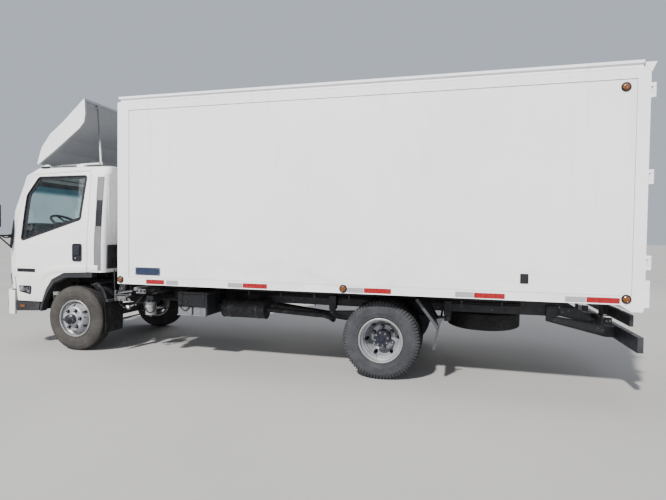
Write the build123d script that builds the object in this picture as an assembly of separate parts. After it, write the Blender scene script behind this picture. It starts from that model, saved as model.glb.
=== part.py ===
from build123d import *
import math
import os

# Insulated box truck, cab over engine, left-hand drive, at its real size in millimetres.
# Station X is counted from the front axle, front of the truck towards -X, left side towards -Y, ground at Z = 0.
# Every finished piece is moved by ROW_SHIFT along X, so that the row's origin is under the middle of the truck.

# ---------------------------------------------------------------- driving dimensions
WHEELBASE = 3845.0
TYRE_OD = 805.0
TYRE_W = 215.0
AXLE_Z = TYRE_OD / 2
FRONT_TRACK = 1680.0
REAR_TRACK = 1650.0
DUAL_SPACING = 262.0
RIM_R = 229.0            # outside of the rim flange
BEAD_R = 222.0           # where the tyre sits on the rim
KINGPIN_Y = 740.0
STEER_DEG = 36.0

CAB_HALF = 1000.0
CAB_REAR = 470.0
CAB_WALL = 60.0
DOOR_GAP = 6.0
TILT_X, TILT_Z = -950.0, 762.0   # pivot of the tilting cab

BUMPER_FRONT = -1110.0
HINGE_REAR = 6210.0      # rearmost point, the rear door hinges
ROW_SHIFT = -(BUMPER_FRONT + HINGE_REAR) / 2

BOX_FRONT, BOX_REAR = 810.0, 6165.0
BOX_HALF = 1200.0
BOX_BOTTOM, BOX_EAVE, BOX_TOP = 890.0, 2945.0, 3030.0
WALL_T = 60.0
RAIL_T = 5.0             # how far the rails and posts stand out of the side sheets
FLOOR_TOP = 1055.0
RAIL_LOW, RAIL_HIGH = 650.0, 850.0   # chassis rail, bottom and top
RAIL_OUT, RAIL_IN = 430.0, 360.0
RAIL_FRONT = -930.0
TOW_X, TOW_Y, TOW_Z, TOW_R = -1020.0, 398.0, 607.0, 12.0   # bottom of the screw-in tow sockets
REAR_AXIS_X, REAR_AXIS_Y = 6195.0, 1190.0   # rear door hinge axis

os.makedirs("parts", exist_ok=True)


# ---------------------------------------------------------------- helpers
def slab(x, y, z):
    return Pos((x[0] + x[1]) / 2, (y[0] + y[1]) / 2, (z[0] + z[1]) / 2) * Box(
        x[1] - x[0], y[1] - y[0], z[1] - z[0]
    )


def place(u, v, along, at):
    if along == "X":
        return Vector(at, u, v)
    if along == "Y":
        return Vector(u, at, v)
    return Vector(u, v, at)


def outline(points, radius, along, at):
    """Closed wire through points (u, v), each corner rounded by its radius, in the plane across an axis."""
    n = len(points)
    radii = list(radius) if hasattr(radius, "__len__") else [radius] * n
    corners = []
    for i in range(n):
        px, py = points[i]
        ax, ay = points[i - 1][0] - px, points[i - 1][1] - py
        bx, by = points[(i + 1) % n][0] - px, points[(i + 1) % n][1] - py
        la, lb = math.hypot(ax, ay), math.hypot(bx, by)
        ax, ay, bx, by = ax / la, ay / la, bx / lb, by / lb
        r = radii[i]
        half = math.acos(max(-1.0, min(1.0, ax * bx + ay * by))) / 2
        if r <= 0 or half > math.pi / 2 - 0.003:
            corners.append(((px, py), None, (px, py)))
            continue
        t = r / math.tan(half)
        mx, my = ax + bx, ay + by
        lm = math.hypot(mx, my)
        reach = r / math.sin(half) - r
        corners.append(
            (
                (px + ax * t, py + ay * t),
                (px + mx / lm * reach, py + my / lm * reach),
                (px + bx * t, py + by * t),
            )
        )
    edges = []
    for i in range(n):
        start, mid, end = corners[i]
        if mid:
            edges.append(
                Edge.make_three_point_arc(
                    place(*start, along, at), place(*mid, along, at), place(*end, along, at)
                )
            )
        nxt = corners[(i + 1) % n][0]
        if math.hypot(nxt[0] - end[0], nxt[1] - end[1]) > 1e-6:
            edges.append(Edge.make_line(place(*end, along, at), place(*nxt, along, at)))
    return Wire(edges)


def prism(points, along, lo, hi, radius=0):
    face = Face(outline(points, radius, along, lo))
    step = {"X": (hi - lo, 0, 0), "Y": (0, hi - lo, 0), "Z": (0, 0, hi - lo)}[along]
    return Solid.extrude(face, Vector(*step))


def rod(start, end, r):
    a, b = Vector(*start), Vector(*end)
    d = b - a
    return Plane(origin=a, z_dir=d) * Cylinder(
        r, d.length, align=(Align.CENTER, Align.CENTER, Align.MIN)
    )


def turned(profile, centre_y, radius=0):
    """Solid of revolution about the wheel's axle line; profile is a list of (r, y)."""
    face = Face(outline([(r, y) for r, y in profile], radius, "Z", 0))
    body = revolve(face, Axis.Y, 360)
    return Pos(0, centre_y, 0) * body


def flip(shape):
    return mirror(shape, Plane.XZ)


def both(shape):
    return [shape, flip(shape)]


def solids_of(things):
    out = []
    for t in things if isinstance(things, (list, tuple)) else [things]:
        if isinstance(t, (list, tuple)):
            out += solids_of(t)
        else:
            out += list(t.solids())
    return out


NODES = {}


def save(name, *things):
    """Writes one node; its solids are kept apart and moved to the row's origin."""
    parts = solids_of(list(things))
    moved = [Pos(ROW_SHIFT, 0, 0) * s for s in parts]
    shape = moved[0] if len(moved) == 1 else Compound(children=moved)
    NODES[name] = shape
    export_step(shape, f"parts/{name}.step")


# ---------------------------------------------------------------- wheels
# tyre section, (radius, offset from the tyre's middle); symmetric about the middle
TYRE_SIDE = [  # r, half width
    (BEAD_R, 82), (246, 97), (300, 107.5), (345, 104), (378, 92), (398, 80), (TYRE_OD / 2, 62),
]


def tyre(y):
    pts = [(r, -w) for r, w in TYRE_SIDE] + [(r, w) for r, w in reversed(TYRE_SIDE)]
    radii = [4, 20, 60, 60, 30, 12, 10]
    return turned(pts, y, radii + radii[::-1])


# wheel disc and rim, (radius, offset from the rim's middle towards the disc's bulge)
RIM_BARREL = [
    (RIM_R, 97), (RIM_R, 90), (BEAD_R - 0.3, 83), (BEAD_R - 0.3, 60), (200, 40), (200, -40),
    (BEAD_R - 0.3, -60), (BEAD_R - 0.3, -83), (RIM_R, -90), (RIM_R, -97), (213, -97), (213, -62),
    (191, -42), (191, 42), (213, 62), (213, 97),
]
DISC = [  # the dished disc: bolting face at the hub, then a cone back to the barrel
    (82, 131), (132, 131), (150, 124), (188, 52), (191.5, 40), (191.5, 12), (182, 12), (176, 44),
    (142, 113), (128, 121), (82, 121),
]
HAND_HOLES, STUDS = 6, 6
STUD_PCD = 222.25


def rim(y, bulge, phase):
    """One steel wheel; bulge is +1 when the disc bulges towards +Y, phase is the first hand hole's angle."""
    body = turned([(r, o * bulge) for r, o in RIM_BARREL], 0)
    disc = turned([(r, o * bulge) for r, o in DISC], 0)
    for i in range(HAND_HOLES):
        a = 2 * math.pi * i / HAND_HOLES + math.radians(phase)
        hole = Pos(166 * math.cos(a), 70 * bulge, 166 * math.sin(a)) * Rot(90, 0, 0) * Cylinder(21, 160)
        disc = disc - hole
    return Pos(0, y, 0) * (body + disc)


def hub(y, out, drum_r, cap_r, cap_len, bore_r, inner):
    """Hub, drum and studs that turn with the wheel; out is the outward side's sign."""
    profile = [
        (bore_r, -inner), (drum_r, -inner), (drum_r, -12), (128, 0), (81.5, 0), (81.5, 14),
        (cap_r, 20), (cap_r, cap_len - 10), (cap_r - 14, cap_len), (bore_r + 0.0, cap_len),
    ]
    body = turned([(r, o * out) for r, o in profile], y)
    plug = Pos(0, y + out * (cap_len - 14), 0) * Rot(90, 0, 0) * Cylinder(bore_r, 16)
    return body + plug


def studs(y, out, height, phase):
    made = []
    for i in range(STUDS):
        a = 2 * math.pi * i / STUDS + math.radians(phase)
        made.append(
            Pos(STUD_PCD / 2 * math.cos(a), y + out * height / 2, STUD_PCD / 2 * math.sin(a))
            * Rot(90, 0, 0) * Cylinder(13, height)
        )
    return made


SPINDLE_R = 25.0
for side, s in (("left", -1), ("right", 1)):
    front = Pos(0, 0, AXLE_Z)
    yc = s * FRONT_TRACK / 2
    face = yc + s * 121.0            # inner side of the wheel disc
    save(f"tyre_front_{side}", front * tyre(yc))
    wheel = rim(yc, s, 30) + hub(face, s, 150, 62, 74, SPINDLE_R + 0.05, 115)
    for p in studs(face + s * 10, s, 26, 5):
        wheel += p
    save(f"rim_front_{side}", front * wheel)
    rear = Pos(WHEELBASE, 0, AXLE_Z)
    plane = s * REAR_TRACK / 2       # where the two discs meet
    outer, inner = plane + s * DUAL_SPACING / 2, plane - s * DUAL_SPACING / 2
    save(f"tyres_rear_{side}", rear * tyre(outer), rear * tyre(inner))
    wheel = rim(outer, -s, 5) + rim(inner, s, 5) + hub(plane - s * 10, s, 158, 80, 150, 45.05, 150)
    for p in studs(plane + s * 10, s, 30, 35):
        wheel += p
    save(f"rims_rear_{side}", rear * wheel)

# ---------------------------------------------------------------- front axle, knuckles, steering
beam = prism(
    [(-700, 372), (-640, 372), (-560, 330), (560, 330), (640, 372), (700, 372), (700, 432),
     (600, 432), (520, 400), (-520, 400), (-600, 432), (-700, 432)],
    "X", -32, 32,
)
bosses = [rod((0, s * KINGPIN_Y, 358), (0, s * KINGPIN_Y, 446), 36) for s in (-1, 1)]
seats_f = [slab((-60, 60), (s * 440 - 40, s * 440 + 40), (400, 425)) for s in (-1, 1)]
axle = beam + bosses[0] + bosses[1] + seats_f[0] + seats_f[1]
for s in (-1, 1):
    axle = axle - rod((0, s * KINGPIN_Y, 300), (0, s * KINGPIN_Y, 520), 15.05)
save("front_axle_beam", axle)

ARM_X, ARM_Y, ARM_Z = 150.0, KINGPIN_Y, 300.0   # tie rod pins; both arms point straight back
for side, s in (("left", -1), ("right", 1)):
    ky = s * KINGPIN_Y
    knuckle = rod((0, ky, 320), (0, ky, 352), 38) + rod((0, ky, 452), (0, ky, 484), 38)
    knuckle += rod((0, ky, 318), (0, ky, 486), 15)
    web_y = sorted((ky + s * 42, ky + s * 66))
    knuckle += slab((-36, 36), web_y, (320, 484))
    knuckle += slab((-30, 30), sorted((ky, ky + s * 44)), (320, 352))
    knuckle += slab((-30, 30), sorted((ky, ky + s * 44)), (452, 484))
    spindle_end = s * (FRONT_TRACK / 2 + 121 + 44)
    knuckle += rod((0, ky + s * 60, AXLE_Z), (0, spindle_end, AXLE_Z), SPINDLE_R)
    arm = prism([(20, ky - 14), (ARM_X + 20, s * ARM_Y - 14), (ARM_X + 20, s * ARM_Y + 14), (20, ky + 14)],
                "Z", 322, 346)
    knuckle += arm
    pin_r = 9.0
    knuckle += rod((ARM_X, s * ARM_Y, ARM_Z - 18), (ARM_X, s * ARM_Y, 330), pin_r)
    save(f"knuckle_{side}", knuckle)

eyes = [
    rod((ARM_X, s * ARM_Y, ARM_Z - 12), (ARM_X, s * ARM_Y, ARM_Z + 12), 20) for s in (-1, 1)
]
tie = rod((ARM_X, -ARM_Y + 16, ARM_Z), (ARM_X, ARM_Y - 16, ARM_Z), 11) + eyes[0] + eyes[1]
tie = tie - rod((ARM_X, -ARM_Y, 250), (ARM_X, -ARM_Y, 350), 9.3)
tie = tie - rod((ARM_X, ARM_Y, 250), (ARM_X, ARM_Y, 350), 12.0)   # the opened joint has room round its pin
save("tie_rod", tie)

# ---------------------------------------------------------------- springs and rear axle
SPRINGS = [  # centre station, half length, centre Y, width, Z of the axle seat, Z of the eyes
    (0.0, 560.0, 405.0, 64.0, 425.0, 560.0),
    (WHEELBASE, 650.0, 470.0, 70.0, 462.0, 575.0),
]


def leaf_pack(cx, half, cy, width, z0, z1, s, count):
    lo, hi = s * cy - width / 2, s * cy + width / 2
    main = prism(
        [(cx - half, z1), (cx - half * 0.5, z0 + 50), (cx - 90, z0), (cx + 90, z0), (cx + half * 0.5, z0 + 50),
         (cx + half, z1), (cx + half, z1 + 16), (cx + half * 0.5, z0 + 50 + 16 * count), (cx + 90, z0 + 16 * count),
         (cx - 90, z0 + 16 * count), (cx - half * 0.5, z0 + 50 + 16 * count), (cx - half, z1 + 16)],
        "Y", lo, hi)
    eye1 = rod((cx - half, lo, z1 + 14), (cx - half, hi, z1 + 14), 26)
    eye2 = rod((cx + half, lo, z1 + 14), (cx + half, hi, z1 + 14), 26)
    return main + eye1 + eye2


save("leaf_springs", [leaf_pack(*row, s, n) for row, n in zip(SPRINGS, (4, 6)) for s in (-1, 1)])

tube = rod((WHEELBASE, -650, AXLE_Z), (WHEELBASE, 650, AXLE_Z), 58)
tube += rod((WHEELBASE, -(REAR_TRACK / 2 + 90), AXLE_Z), (WHEELBASE, REAR_TRACK / 2 + 90, AXLE_Z), 45)
tube += rod((WHEELBASE - 120, 0, AXLE_Z), (WHEELBASE + 110, 0, AXLE_Z), 182)
tube += rod((WHEELBASE - 260, 0, AXLE_Z + 8), (WHEELBASE - 110, 0, AXLE_Z), 84)
for s in (-1, 1):
    tube += slab((WHEELBASE - 70, WHEELBASE + 70), (s * 470 - 42, s * 470 + 42), (420, 462))
save("rear_axle", tube)

shaft = rod((1010, 0, 640), (2250, 0, 560), 42) + rod((2250, 0, 560), (3576, 0, 412), 42)
shaft += rod((2210, 0, 562), (2290, 0, 556), 62)
save("propeller_shaft", shaft)

# ---------------------------------------------------------------- chassis frame
CROSSMEMBERS = [  # station, Z low, Z high, thickness along X, half width
    (-890, 668, 832, 50, 385), (1085, 700, 832, 50, 422), (1640, 700, 832, 50, 422), (2260, 690, 832, 60, 422),
    (3180, 700, 832, 50, 422), (4420, 700, 832, 50, 422), (5590, 668, 832, 50, 422),
]
rails = []
for s in (-1, 1):
    web = slab((RAIL_FRONT, 5630), sorted((s * (RAIL_OUT - 8), s * RAIL_OUT)), (RAIL_LOW, RAIL_HIGH))
    top = slab((RAIL_FRONT, 5630), sorted((s * RAIL_IN, s * RAIL_OUT)), (RAIL_HIGH - 8, RAIL_HIGH))
    low = slab((RAIL_FRONT, 5630), sorted((s * RAIL_IN, s * RAIL_OUT)), (RAIL_LOW, RAIL_LOW + 8))
    rails.append(web + top + low)
cross = [slab((x - t / 2, x + t / 2), (-h, h), (z0, z1)) for x, z0, z1, t, h in CROSSMEMBERS]
for y in (-80, 80):      # bolt holes for a towing jaw in the rear crossmember
    for z in (705, 785):
        cross[-1] = cross[-1] - rod((5550, y, z), (5650, y, z), 8.5)
save("chassis_crossmembers", cross)
HANGERS = [  # station, centre Y, width, Z low
    (-560, 405, 50, 560), (560, 405, 50, 560), (WHEELBASE - 650, 470, 70, 575), (WHEELBASE + 650, 470, 70, 575),
]
for x, cy, w, z in HANGERS:
    for i, s in enumerate((-1, 1)):
        lo, hi = s * cy - w / 2 - 4, s * cy + w / 2 + 4
        ear = slab((x - 40, x + 40), (lo, hi), (z + 42, RAIL_LOW + 60 if abs(cy) > RAIL_OUT else RAIL_LOW + 4))
        if abs(cy) > RAIL_OUT:
            ear = slab((x - 40, x + 40), sorted((s * RAIL_OUT, s * (cy + w / 2))), (z + 42, RAIL_LOW + 120))
        rails[i] += ear
pivot = rod((TILT_X, -470, TILT_Z), (TILT_X, 470, TILT_Z), 17)
for s in (-1, 1):
    pivot += prism([(-974, TILT_Z + 24), (-926, TILT_Z + 24), (-890, 658), (-958, 658)], "Y",
                   s * 398 - 12, s * 398 + 12, [14, 14, 0, 0])
save("chassis_frame", rails, pivot)

# engine with its gearbox, and the radiator, stand between the rails
engine = slab((-330, 470), (-270, 270), (545, 985))
engine += prism([(460, 600), (460, 900), (760, 860), (1000, 720), (1000, 590), (760, 560)], "Y", -165, 165, 20)
save("engine_block", engine, slab((-820, -750), (-330, 330), (560, 960)))

# tanks and boxes on the rails
save("fuel_tank", prism([(1150, 470), (2150, 470), (2150, 820), (1150, 820)], "Y", 470, 930, 45))
bat = prism([(1430, 520), (1800, 520), (1800, 790), (1430, 790)], "Y", -900, -480, 12)
bat += slab((1500, 1730), (-480, -430), (690, 780))
save("battery_box", bat)
muffler = rod((1880, -600, 590), (2420, -600, 590), 112) + rod((1812, -600, 600), (1890, -600, 600), 32)
muffler += rod((2410, -600, 590), (3050, -600, 560), 32)
muffler += slab((1960, 2000), (-600, -430), (640, 720)) + slab((2300, 2340), (-600, -430), (640, 720))
save("exhaust_muffler", muffler)
tanks = rod((2350, 620, 600), (2950, 620, 600), 105)
tanks += slab((2480, 2520), (430, 560), (640, 720)) + slab((2780, 2820), (430, 560), (640, 720))
can = rod((1030, -860, 500), (1030, -860, 648), 62) + slab((985, 1075), (-880, -430), (660, 720)) + slab(
    (1000, 1060), (-890, -830), (640, 665))
save("air_tanks", tanks, can)

# the cab's rear stay: a hoop from the rails, behind the cab, on which it rests
stay = prism([(560, 700), (640, 700), (640, 985), (560, 985)], "Y", -500, -430)
stay += prism([(560, 700), (640, 700), (640, 985), (560, 985)], "Y", 430, 500)
stay += slab((560, 640), (-820, 820), (940, 985))
for s in (-1, 1):
    stay += slab((560, 640), sorted((s * 760, s * 820)), (760, 950))
    stay += slab((560, 760), sorted((s * 700, s * 860)), (700, 765))
save("cab_rear_stay", stay - slab((500, 800), (-RAIL_OUT, RAIL_OUT), (600, RAIL_HIGH)))

# ---------------------------------------------------------------- bumper
def cab_plan(front, rear, half, rf, rr):
    """Plan outline of the cab: a rectangle with large front corners and small rear ones."""
    return [(front, -half), (rear, -half), (rear, half), (front, half)], [rf, rr, rr, rf]


pts, rad = cab_plan(BUMPER_FRONT, -858, CAB_HALF, 250, 0)
shell = prism(pts, "Z", 420, 725, rad)
pts, rad = cab_plan(BUMPER_FRONT + 30, -700, CAB_HALF - 30, 220, 0)
shell = shell - prism(pts, "Z", 400, 740, rad)
shell = shell - slab((-1200, -1040), (-420, 420), (560, 655))
brackets = []
for s in (-1, 1):        # bumper brackets under the rails, each with a socket for a screw-in tow eye behind the slot
    arm = slab((-1079.9, -900), sorted((s * 372, s * 424)), (500, 640))
    arm += slab((-960, -900), sorted((s * 372, s * 424)), (620, RAIL_LOW))
    brackets.append(arm - rod((TOW_X, s * TOW_Y, TOW_Z), (-1090, s * TOW_Y, TOW_Z), TOW_R))
save("front_bumper", shell, brackets)
fogs = [rod((-1092, s * 640, 545), (-1060, s * 640, 545), 45) for s in (-1, 1)]

# ---------------------------------------------------------------- rear of the chassis
bar = slab((6150, 6200), (-1100, 1100), (456, 596))
for s in (-1, 1):
    bar += prism([(5500, 655), (5560, 655), (6155, 575), (6155, 470), (6060, 470), (5500, 600)], "Y",
                 s * 450 - 20, s * 450 + 20)
    bar += slab((5500, 5600), sorted((s * 430, s * 470)), (600, 760))
for y in (-90, 90):      # screw holes for a number plate
    bar = bar - rod((6140, y, 526), (6210, y, 526), 3.5)
lamps_bar = slab((6085, 6115), (-1100, 1100), (690, 790))
for s in (-1, 1):
    lamps_bar += slab((6020, 6085), (s * 450 - 25, s * 450 + 25), (700, 780))
    lamps_bar += slab((6020, 6066), (s * 450 - 25, s * 450 + 25), (700, 832.9))
save("rear_underrun_bar", bar, lamps_bar)
TAIL = [(560, 200), (880, 220)]     # centre Y, width
save("tail_lamps", [[slab((6115, 6150), (s * y - w / 2, s * y + w / 2), (695, 785)) for y, w in TAIL] for s in (-1, 1)])

guards = []
for s in (-1, 1):
    lo, hi = sorted((s * 600, s * 1065))
    plate = prism([(4196, 850), (4212, 850), (4424, 566), (4386, 352), (4370, 352), (4406, 566), (4190, 838)],
                  "Y", lo, hi)
    brace = slab((4180, 4230), sorted((s * 430, s * 620)), (780, 840))
    guards.append(plate + brace)
save("rear_mudguards", guards)

SPARE_X, SPARE_Z = 4890.0, 540.0
spare_tyre = Pos(SPARE_X, 0, SPARE_Z) * Rot(90, 0, 0) * tyre(0)
spare_rim = Pos(SPARE_X, 0, SPARE_Z) * Rot(90, 0, 0) * rim(0, 1, 15)
save("spare_wheel", spare_tyre, spare_rim)
hanger = slab((SPARE_X - 40, SPARE_X + 40), (-421.9, 421.9), (700, 760)) + rod((SPARE_X, 0, 420), (SPARE_X, 0, 710), 20)
hanger += slab((SPARE_X - 100, SPARE_X + 100), (-60, 60), (396, 408.5))
save("spare_wheel_carrier", hanger)

# ---------------------------------------------------------------- box body
BEARERS = [960 + i * 430 for i in range(12)]
bearers = [slab((x - 25, x + 25), (-1140, 1140), (895, 975)) for x in BEARERS]
sills = [slab((872, 5960), sorted((s * 370, s * 430)), (850.0, 895)) for s in (-1, 1)]
save("box_subframe", bearers)
save("box_sills", sills)
save("box_floor", slab((870, 6065), (-1140, 1140), (975, FLOOR_TOP)))
front_wall = prism([(BOX_FRONT, -BOX_HALF), (870, -BOX_HALF), (870, BOX_HALF), (BOX_FRONT, BOX_HALF)], "Z",
                   BOX_BOTTOM, BOX_EAVE, [45, 0, 0, 45])
save("box_front_wall", front_wall)
for side, s in (("left", -1), ("right", 1)):
    y_out, y_in = s * (BOX_HALF - RAIL_T), s * (BOX_HALF - WALL_T)
    wall = slab((870, 6065), sorted((y_in, y_out)), (BOX_BOTTOM, BOX_EAVE))
    for z0, z1 in ((BOX_BOTTOM, 972), (2850, BOX_EAVE)):
        wall += slab((870, 6065), sorted((s * BOX_HALF, s * (BOX_HALF - 20))), (z0, z1))
    wall += slab((870, 979), sorted((s * BOX_HALF, s * (BOX_HALF - 20))), (BOX_BOTTOM, BOX_EAVE))
    save(f"box_{side}_wall", wall)
core = slab((870, 6065), (-(BOX_HALF - WALL_T), BOX_HALF - WALL_T), (2880, BOX_EAVE))
core += slab((BOX_FRONT + 60, 6108), (-(BOX_HALF - 12), BOX_HALF - 12), (BOX_EAVE, 2980))
core += prism([(-BOX_HALF - 4, 2980), (BOX_HALF + 4, 2980), (BOX_HALF + 4, 3004), (BOX_HALF - 60, 3014), (0, BOX_TOP),
               (-BOX_HALF + 60, 3014), (-BOX_HALF - 4, 3004)], "X", BOX_FRONT + 44, 6113)
save("box_roof", core)

head = slab((6065, BOX_REAR), (-BOX_HALF, BOX_HALF), (2850, BOX_EAVE))
portal = head
for s in (-1, 1):
    portal += slab((6065, BOX_REAR), sorted((s * 1110, s * BOX_HALF)), (BOX_BOTTOM, BOX_EAVE))
portal += slab((6065, 6190), (-BOX_HALF, BOX_HALF), (BOX_BOTTOM, 975))
portal += prism([(5971, 889.9), (6067, 833), (6153, 833), (6160, 873), (6200, 875), (6200, 975), (6065, 975),
                 (6065, 889.9)], "Y",
                -BOX_HALF, BOX_HALF)
for s in (-1, 1):
    portal += slab((6165, 6200), sorted((s * 1150, s * BOX_HALF)), (875, 1111))
portal += prism([(6120, BOX_EAVE), (6165, 2895), (6205, 2983), (6120, 2983)], "Y", -BOX_HALF - 4, BOX_HALF + 4)

# hinges and rear doors
HINGE_Z = [1265.0, 2005.0, 2745.0]
DOOR_Z = (984.0, 2841.0)
LOCK_BAR_Y = 130.0
lugs = []
for s in (-1, 1):
    for z in HINGE_Z:
        for dz in (-1, 1):
            z0, z1 = sorted((z + dz * 32, z + dz * 62))
            lug = rod((REAR_AXIS_X, s * REAR_AXIS_Y, z0), (REAR_AXIS_X, s * REAR_AXIS_Y, z1), 15)
            lug += slab((6165, REAR_AXIS_X), sorted((s * (REAR_AXIS_Y - 14), s * (REAR_AXIS_Y + 9.9))), (z0, z1))
            lugs.append(lug)
hinge_node = []
for i in range(0, len(lugs), 2):
    s = -1 if i < len(HINGE_Z) * 2 else 1
    z = HINGE_Z[(i // 2) % len(HINGE_Z)]
    pin = rod((REAR_AXIS_X, s * REAR_AXIS_Y, z - 40), (REAR_AXIS_X, s * REAR_AXIS_Y, z + 40), 7)
    hinge_node.append(lugs[i] + lugs[i + 1] + pin)
for h in hinge_node:
    portal += h
save("box_rear_frame", portal)

for side, s in (("left", -1), ("right", 1)):
    leaf = slab((6100, 6160), sorted((s * 4, s * 1104)), DOOR_Z)
    for z in HINGE_Z:
        leaf += slab((6160, 6180), sorted((s * 820, s * 1104)), (z - 28, z + 28))
        leaf += slab((6172, 6180), sorted((s * 820, s * (REAR_AXIS_Y - 3))), (z - 28, z + 28))
        leaf += rod((REAR_AXIS_X, s * REAR_AXIS_Y, z - 29.5), (REAR_AXIS_X, s * REAR_AXIS_Y, z + 29.5), 15)
        leaf += slab((6172, REAR_AXIS_X), sorted((s * (REAR_AXIS_Y - 14), s * (REAR_AXIS_Y - 3))), (z - 28, z + 28))
        leaf = leaf - rod((REAR_AXIS_X, s * REAR_AXIS_Y, z - 45), (REAR_AXIS_X, s * REAR_AXIS_Y, z + 45), 7.4)
    y = s * LOCK_BAR_Y                      # the lock bar with its keepers and handle
    leaf += rod((6180, y, 1000), (6180, y, 2825), 13)
    for z in (1060, 1500, 2300, 2760):
        leaf += slab((6160, 6180), (y - 20, y + 20), (z - 25, z + 25))
    leaf += slab((6176, 6192), sorted((y, y + s * 330)), (1380, 1410))
    save(f"rear_door_{side}", leaf)

MARKERS = [(874, 941), (3485, 936), (6022, 943), (5976, 2783)]   # station, Z
lamps = []
for s in (-1, 1):
    for x, z in MARKERS:
        base = BOX_HALF if z < 1000 or x > 6065 else BOX_HALF - RAIL_T
        lamps.append(rod((x, s * base, z), (x, s * (base + 8), z), 40) + rod((x, s * base, z), (x, s * (base + 18), z), 29))
save("side_marker_lamps", lamps)

# ---------------------------------------------------------------- cab shell
# sections of the cab's outside: Z, front, half width, front corner radius
CAB_SECTIONS = [
    (590, -1040, 985, 240),
    (985, -1066, 1000, 250),
    (1330, -1070, 1000, 250),
    (1740, -1026, 972, 240),
    (2190, -868, 926, 220),
    (2280, -740, 868, 190),
    (2306, -600, 760, 160),
]


def cab_solid(inset, z_low, z_high, top_inset=None):
    """The cab's outside, drawn in by inset; the top two sections are lowered by top_inset."""
    drop = inset if top_inset is None else top_inset
    wires = []
    for i, (z, front, half, rf) in enumerate(CAB_SECTIONS):
        zz = z
        if i >= 5:
            zz = z - drop
        if i == 0:
            zz = z_low
        pts, rad = cab_plan(front + inset, CAB_REAR - inset - (90 if i == 6 else 25 if i == 5 else 0), half - inset,
                            max(rf - inset, 40), max(70 - inset, 12))
        wires.append(outline(pts, rad, "Z", zz))
    return Solid.make_loft(wires, True)


outer = cab_solid(0, 590, 0)
inner = cab_solid(CAB_WALL, 560, 0, 45)
cab = outer - inner

DOOR_AXIS_X, DOOR_AXIS_Y = -872.0, 1002.0
DOOR_BARRELS = [  # small hinge barrels at the front edge: Z low, Z high, end of the leaf, inner side of the leaf
    (900.0, 950.0, -815.0, 996.5), (1185.0, 1235.0, -838.0, 997.0),
]
# the door's outline on the cab's side, (X, Z)
DOOR = [(-870, 1250), (-828, 598), (-453, 598), (-389, 752), (-295, 883), (-110, 971), (235, 988), (237, 2190),
        (194, 2226), (-612, 2192), (-720, 2010), (-838, 1640)]
DOOR_R = [0, 12, 8, 0, 60, 60, 8, 36, 60, 60, 0, 0]
WINDOW = [(-757, 1358), (126, 1631), (179, 2166), (-540, 2160), (-704, 1937)]
WINDOW_R = [30, 40, 30, 60, 120]
ARCH = [(-453, 560), (-453, 598), (-389, 752), (-295, 883), (-110, 971), (235, 988), (560, 990), (560, 560)]
WINDSCREEN = [(-900, 1395), (900, 1395), (845, 2140), (-845, 2140)]
REAR_WINDOW = [(-620, 1560), (620, 1560), (600, 2050), (-600, 2050)]


def grown(points, d):
    """The outline moved outwards by d, for clearance round a door."""
    n, out = len(points), []
    area = sum(points[i - 1][0] * points[i][1] - points[i][0] * points[i - 1][1] for i in range(n))
    sign = 1 if area > 0 else -1
    for i in range(n):
        (ax, ay), (bx, by), (cx, cy) = points[i - 1], points[i], points[(i + 1) % n]
        n1 = ((by - ay), -(bx - ax))
        n2 = ((cy - by), -(cx - bx))
        l1, l2 = math.hypot(*n1), math.hypot(*n2)
        n1 = (n1[0] / l1 * sign, n1[1] / l1 * sign)
        n2 = (n2[0] / l2 * sign, n2[1] / l2 * sign)
        k = 1 + n1[0] * n2[0] + n1[1] * n2[1]
        out.append((bx + (n1[0] + n2[0]) / k * d, by + (n1[1] + n2[1]) / k * d))
    return out


def side_cut(points, s, radius=0, depth=600):
    lo, hi = sorted((s * (CAB_HALF + 60), s * (CAB_HALF - depth)))
    return prism(points, "Y", lo, hi, radius)


shell = cab
for s in (-1, 1):
    shell = shell - side_cut(grown(DOOR, DOOR_GAP), s, DOOR_R, 180)
    shell = shell - side_cut(ARCH, s, 0, 700)
shell = shell - slab((-1200, -860), (-1100, 1100), (500, 745))
shell = shell - slab((-1200, -900), (-520, 520), (700, 800))
shell = shell - slab((-860, CAB_REAR + 50), (-1100, 1100), (500, 990))
shell = shell - prism(WINDSCREEN, "X", -1200, -700, 40)
shell = shell - prism(REAR_WINDOW, "X", CAB_REAR - 120, CAB_REAR + 60, 50)

ROOF_Z, BACK_X, FRONT_X, BELT_Z = 2232.0, 375.0, -790.0, 1375.0
roof_region = slab((-1300, 700), (-1100, 1100), (ROOF_Z, 2400))
back_region = slab((BACK_X, 700), (-1100, 1100), (500, ROOF_Z))
front_region = slab((-1300, FRONT_X), (-1100, 1100), (500, BELT_Z))
save("cab_roof", shell & roof_region)
save("cab_back_panel", shell & back_region)
front_panel = shell & front_region
save("cab_pillars", ((shell - roof_region) - back_region) - front_region)

glass_out, glass_in = cab_solid(10, 570, 0), cab_solid(16, 570, 0)
glass_skin = glass_out - glass_in
save("cab_glass", glass_skin & prism(WINDSCREEN, "X", -1200, -700, 40),
     glass_skin & prism(REAR_WINDOW, "X", CAB_REAR - 60, CAB_REAR + 60, 50))

for side, s in (("left", -1), ("right", 1)):
    door = cab & side_cut(DOOR, s, DOOR_R, 180)
    door = door - side_cut(WINDOW, s, WINDOW_R, 300)
    for z0, z1, x_leaf, y_leaf in DOOR_BARRELS:
        door += rod((DOOR_AXIS_X, s * DOOR_AXIS_Y, z0), (DOOR_AXIS_X, s * DOOR_AXIS_Y, z1), 6)
        door += slab((DOOR_AXIS_X + 2, x_leaf), sorted((s * y_leaf, s * 1003)), (z0, z1))
    save(f"cab_door_{side}", door)
    save(f"door_glass_{side}", glass_skin & side_cut(WINDOW, s, WINDOW_R, 180))

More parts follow.
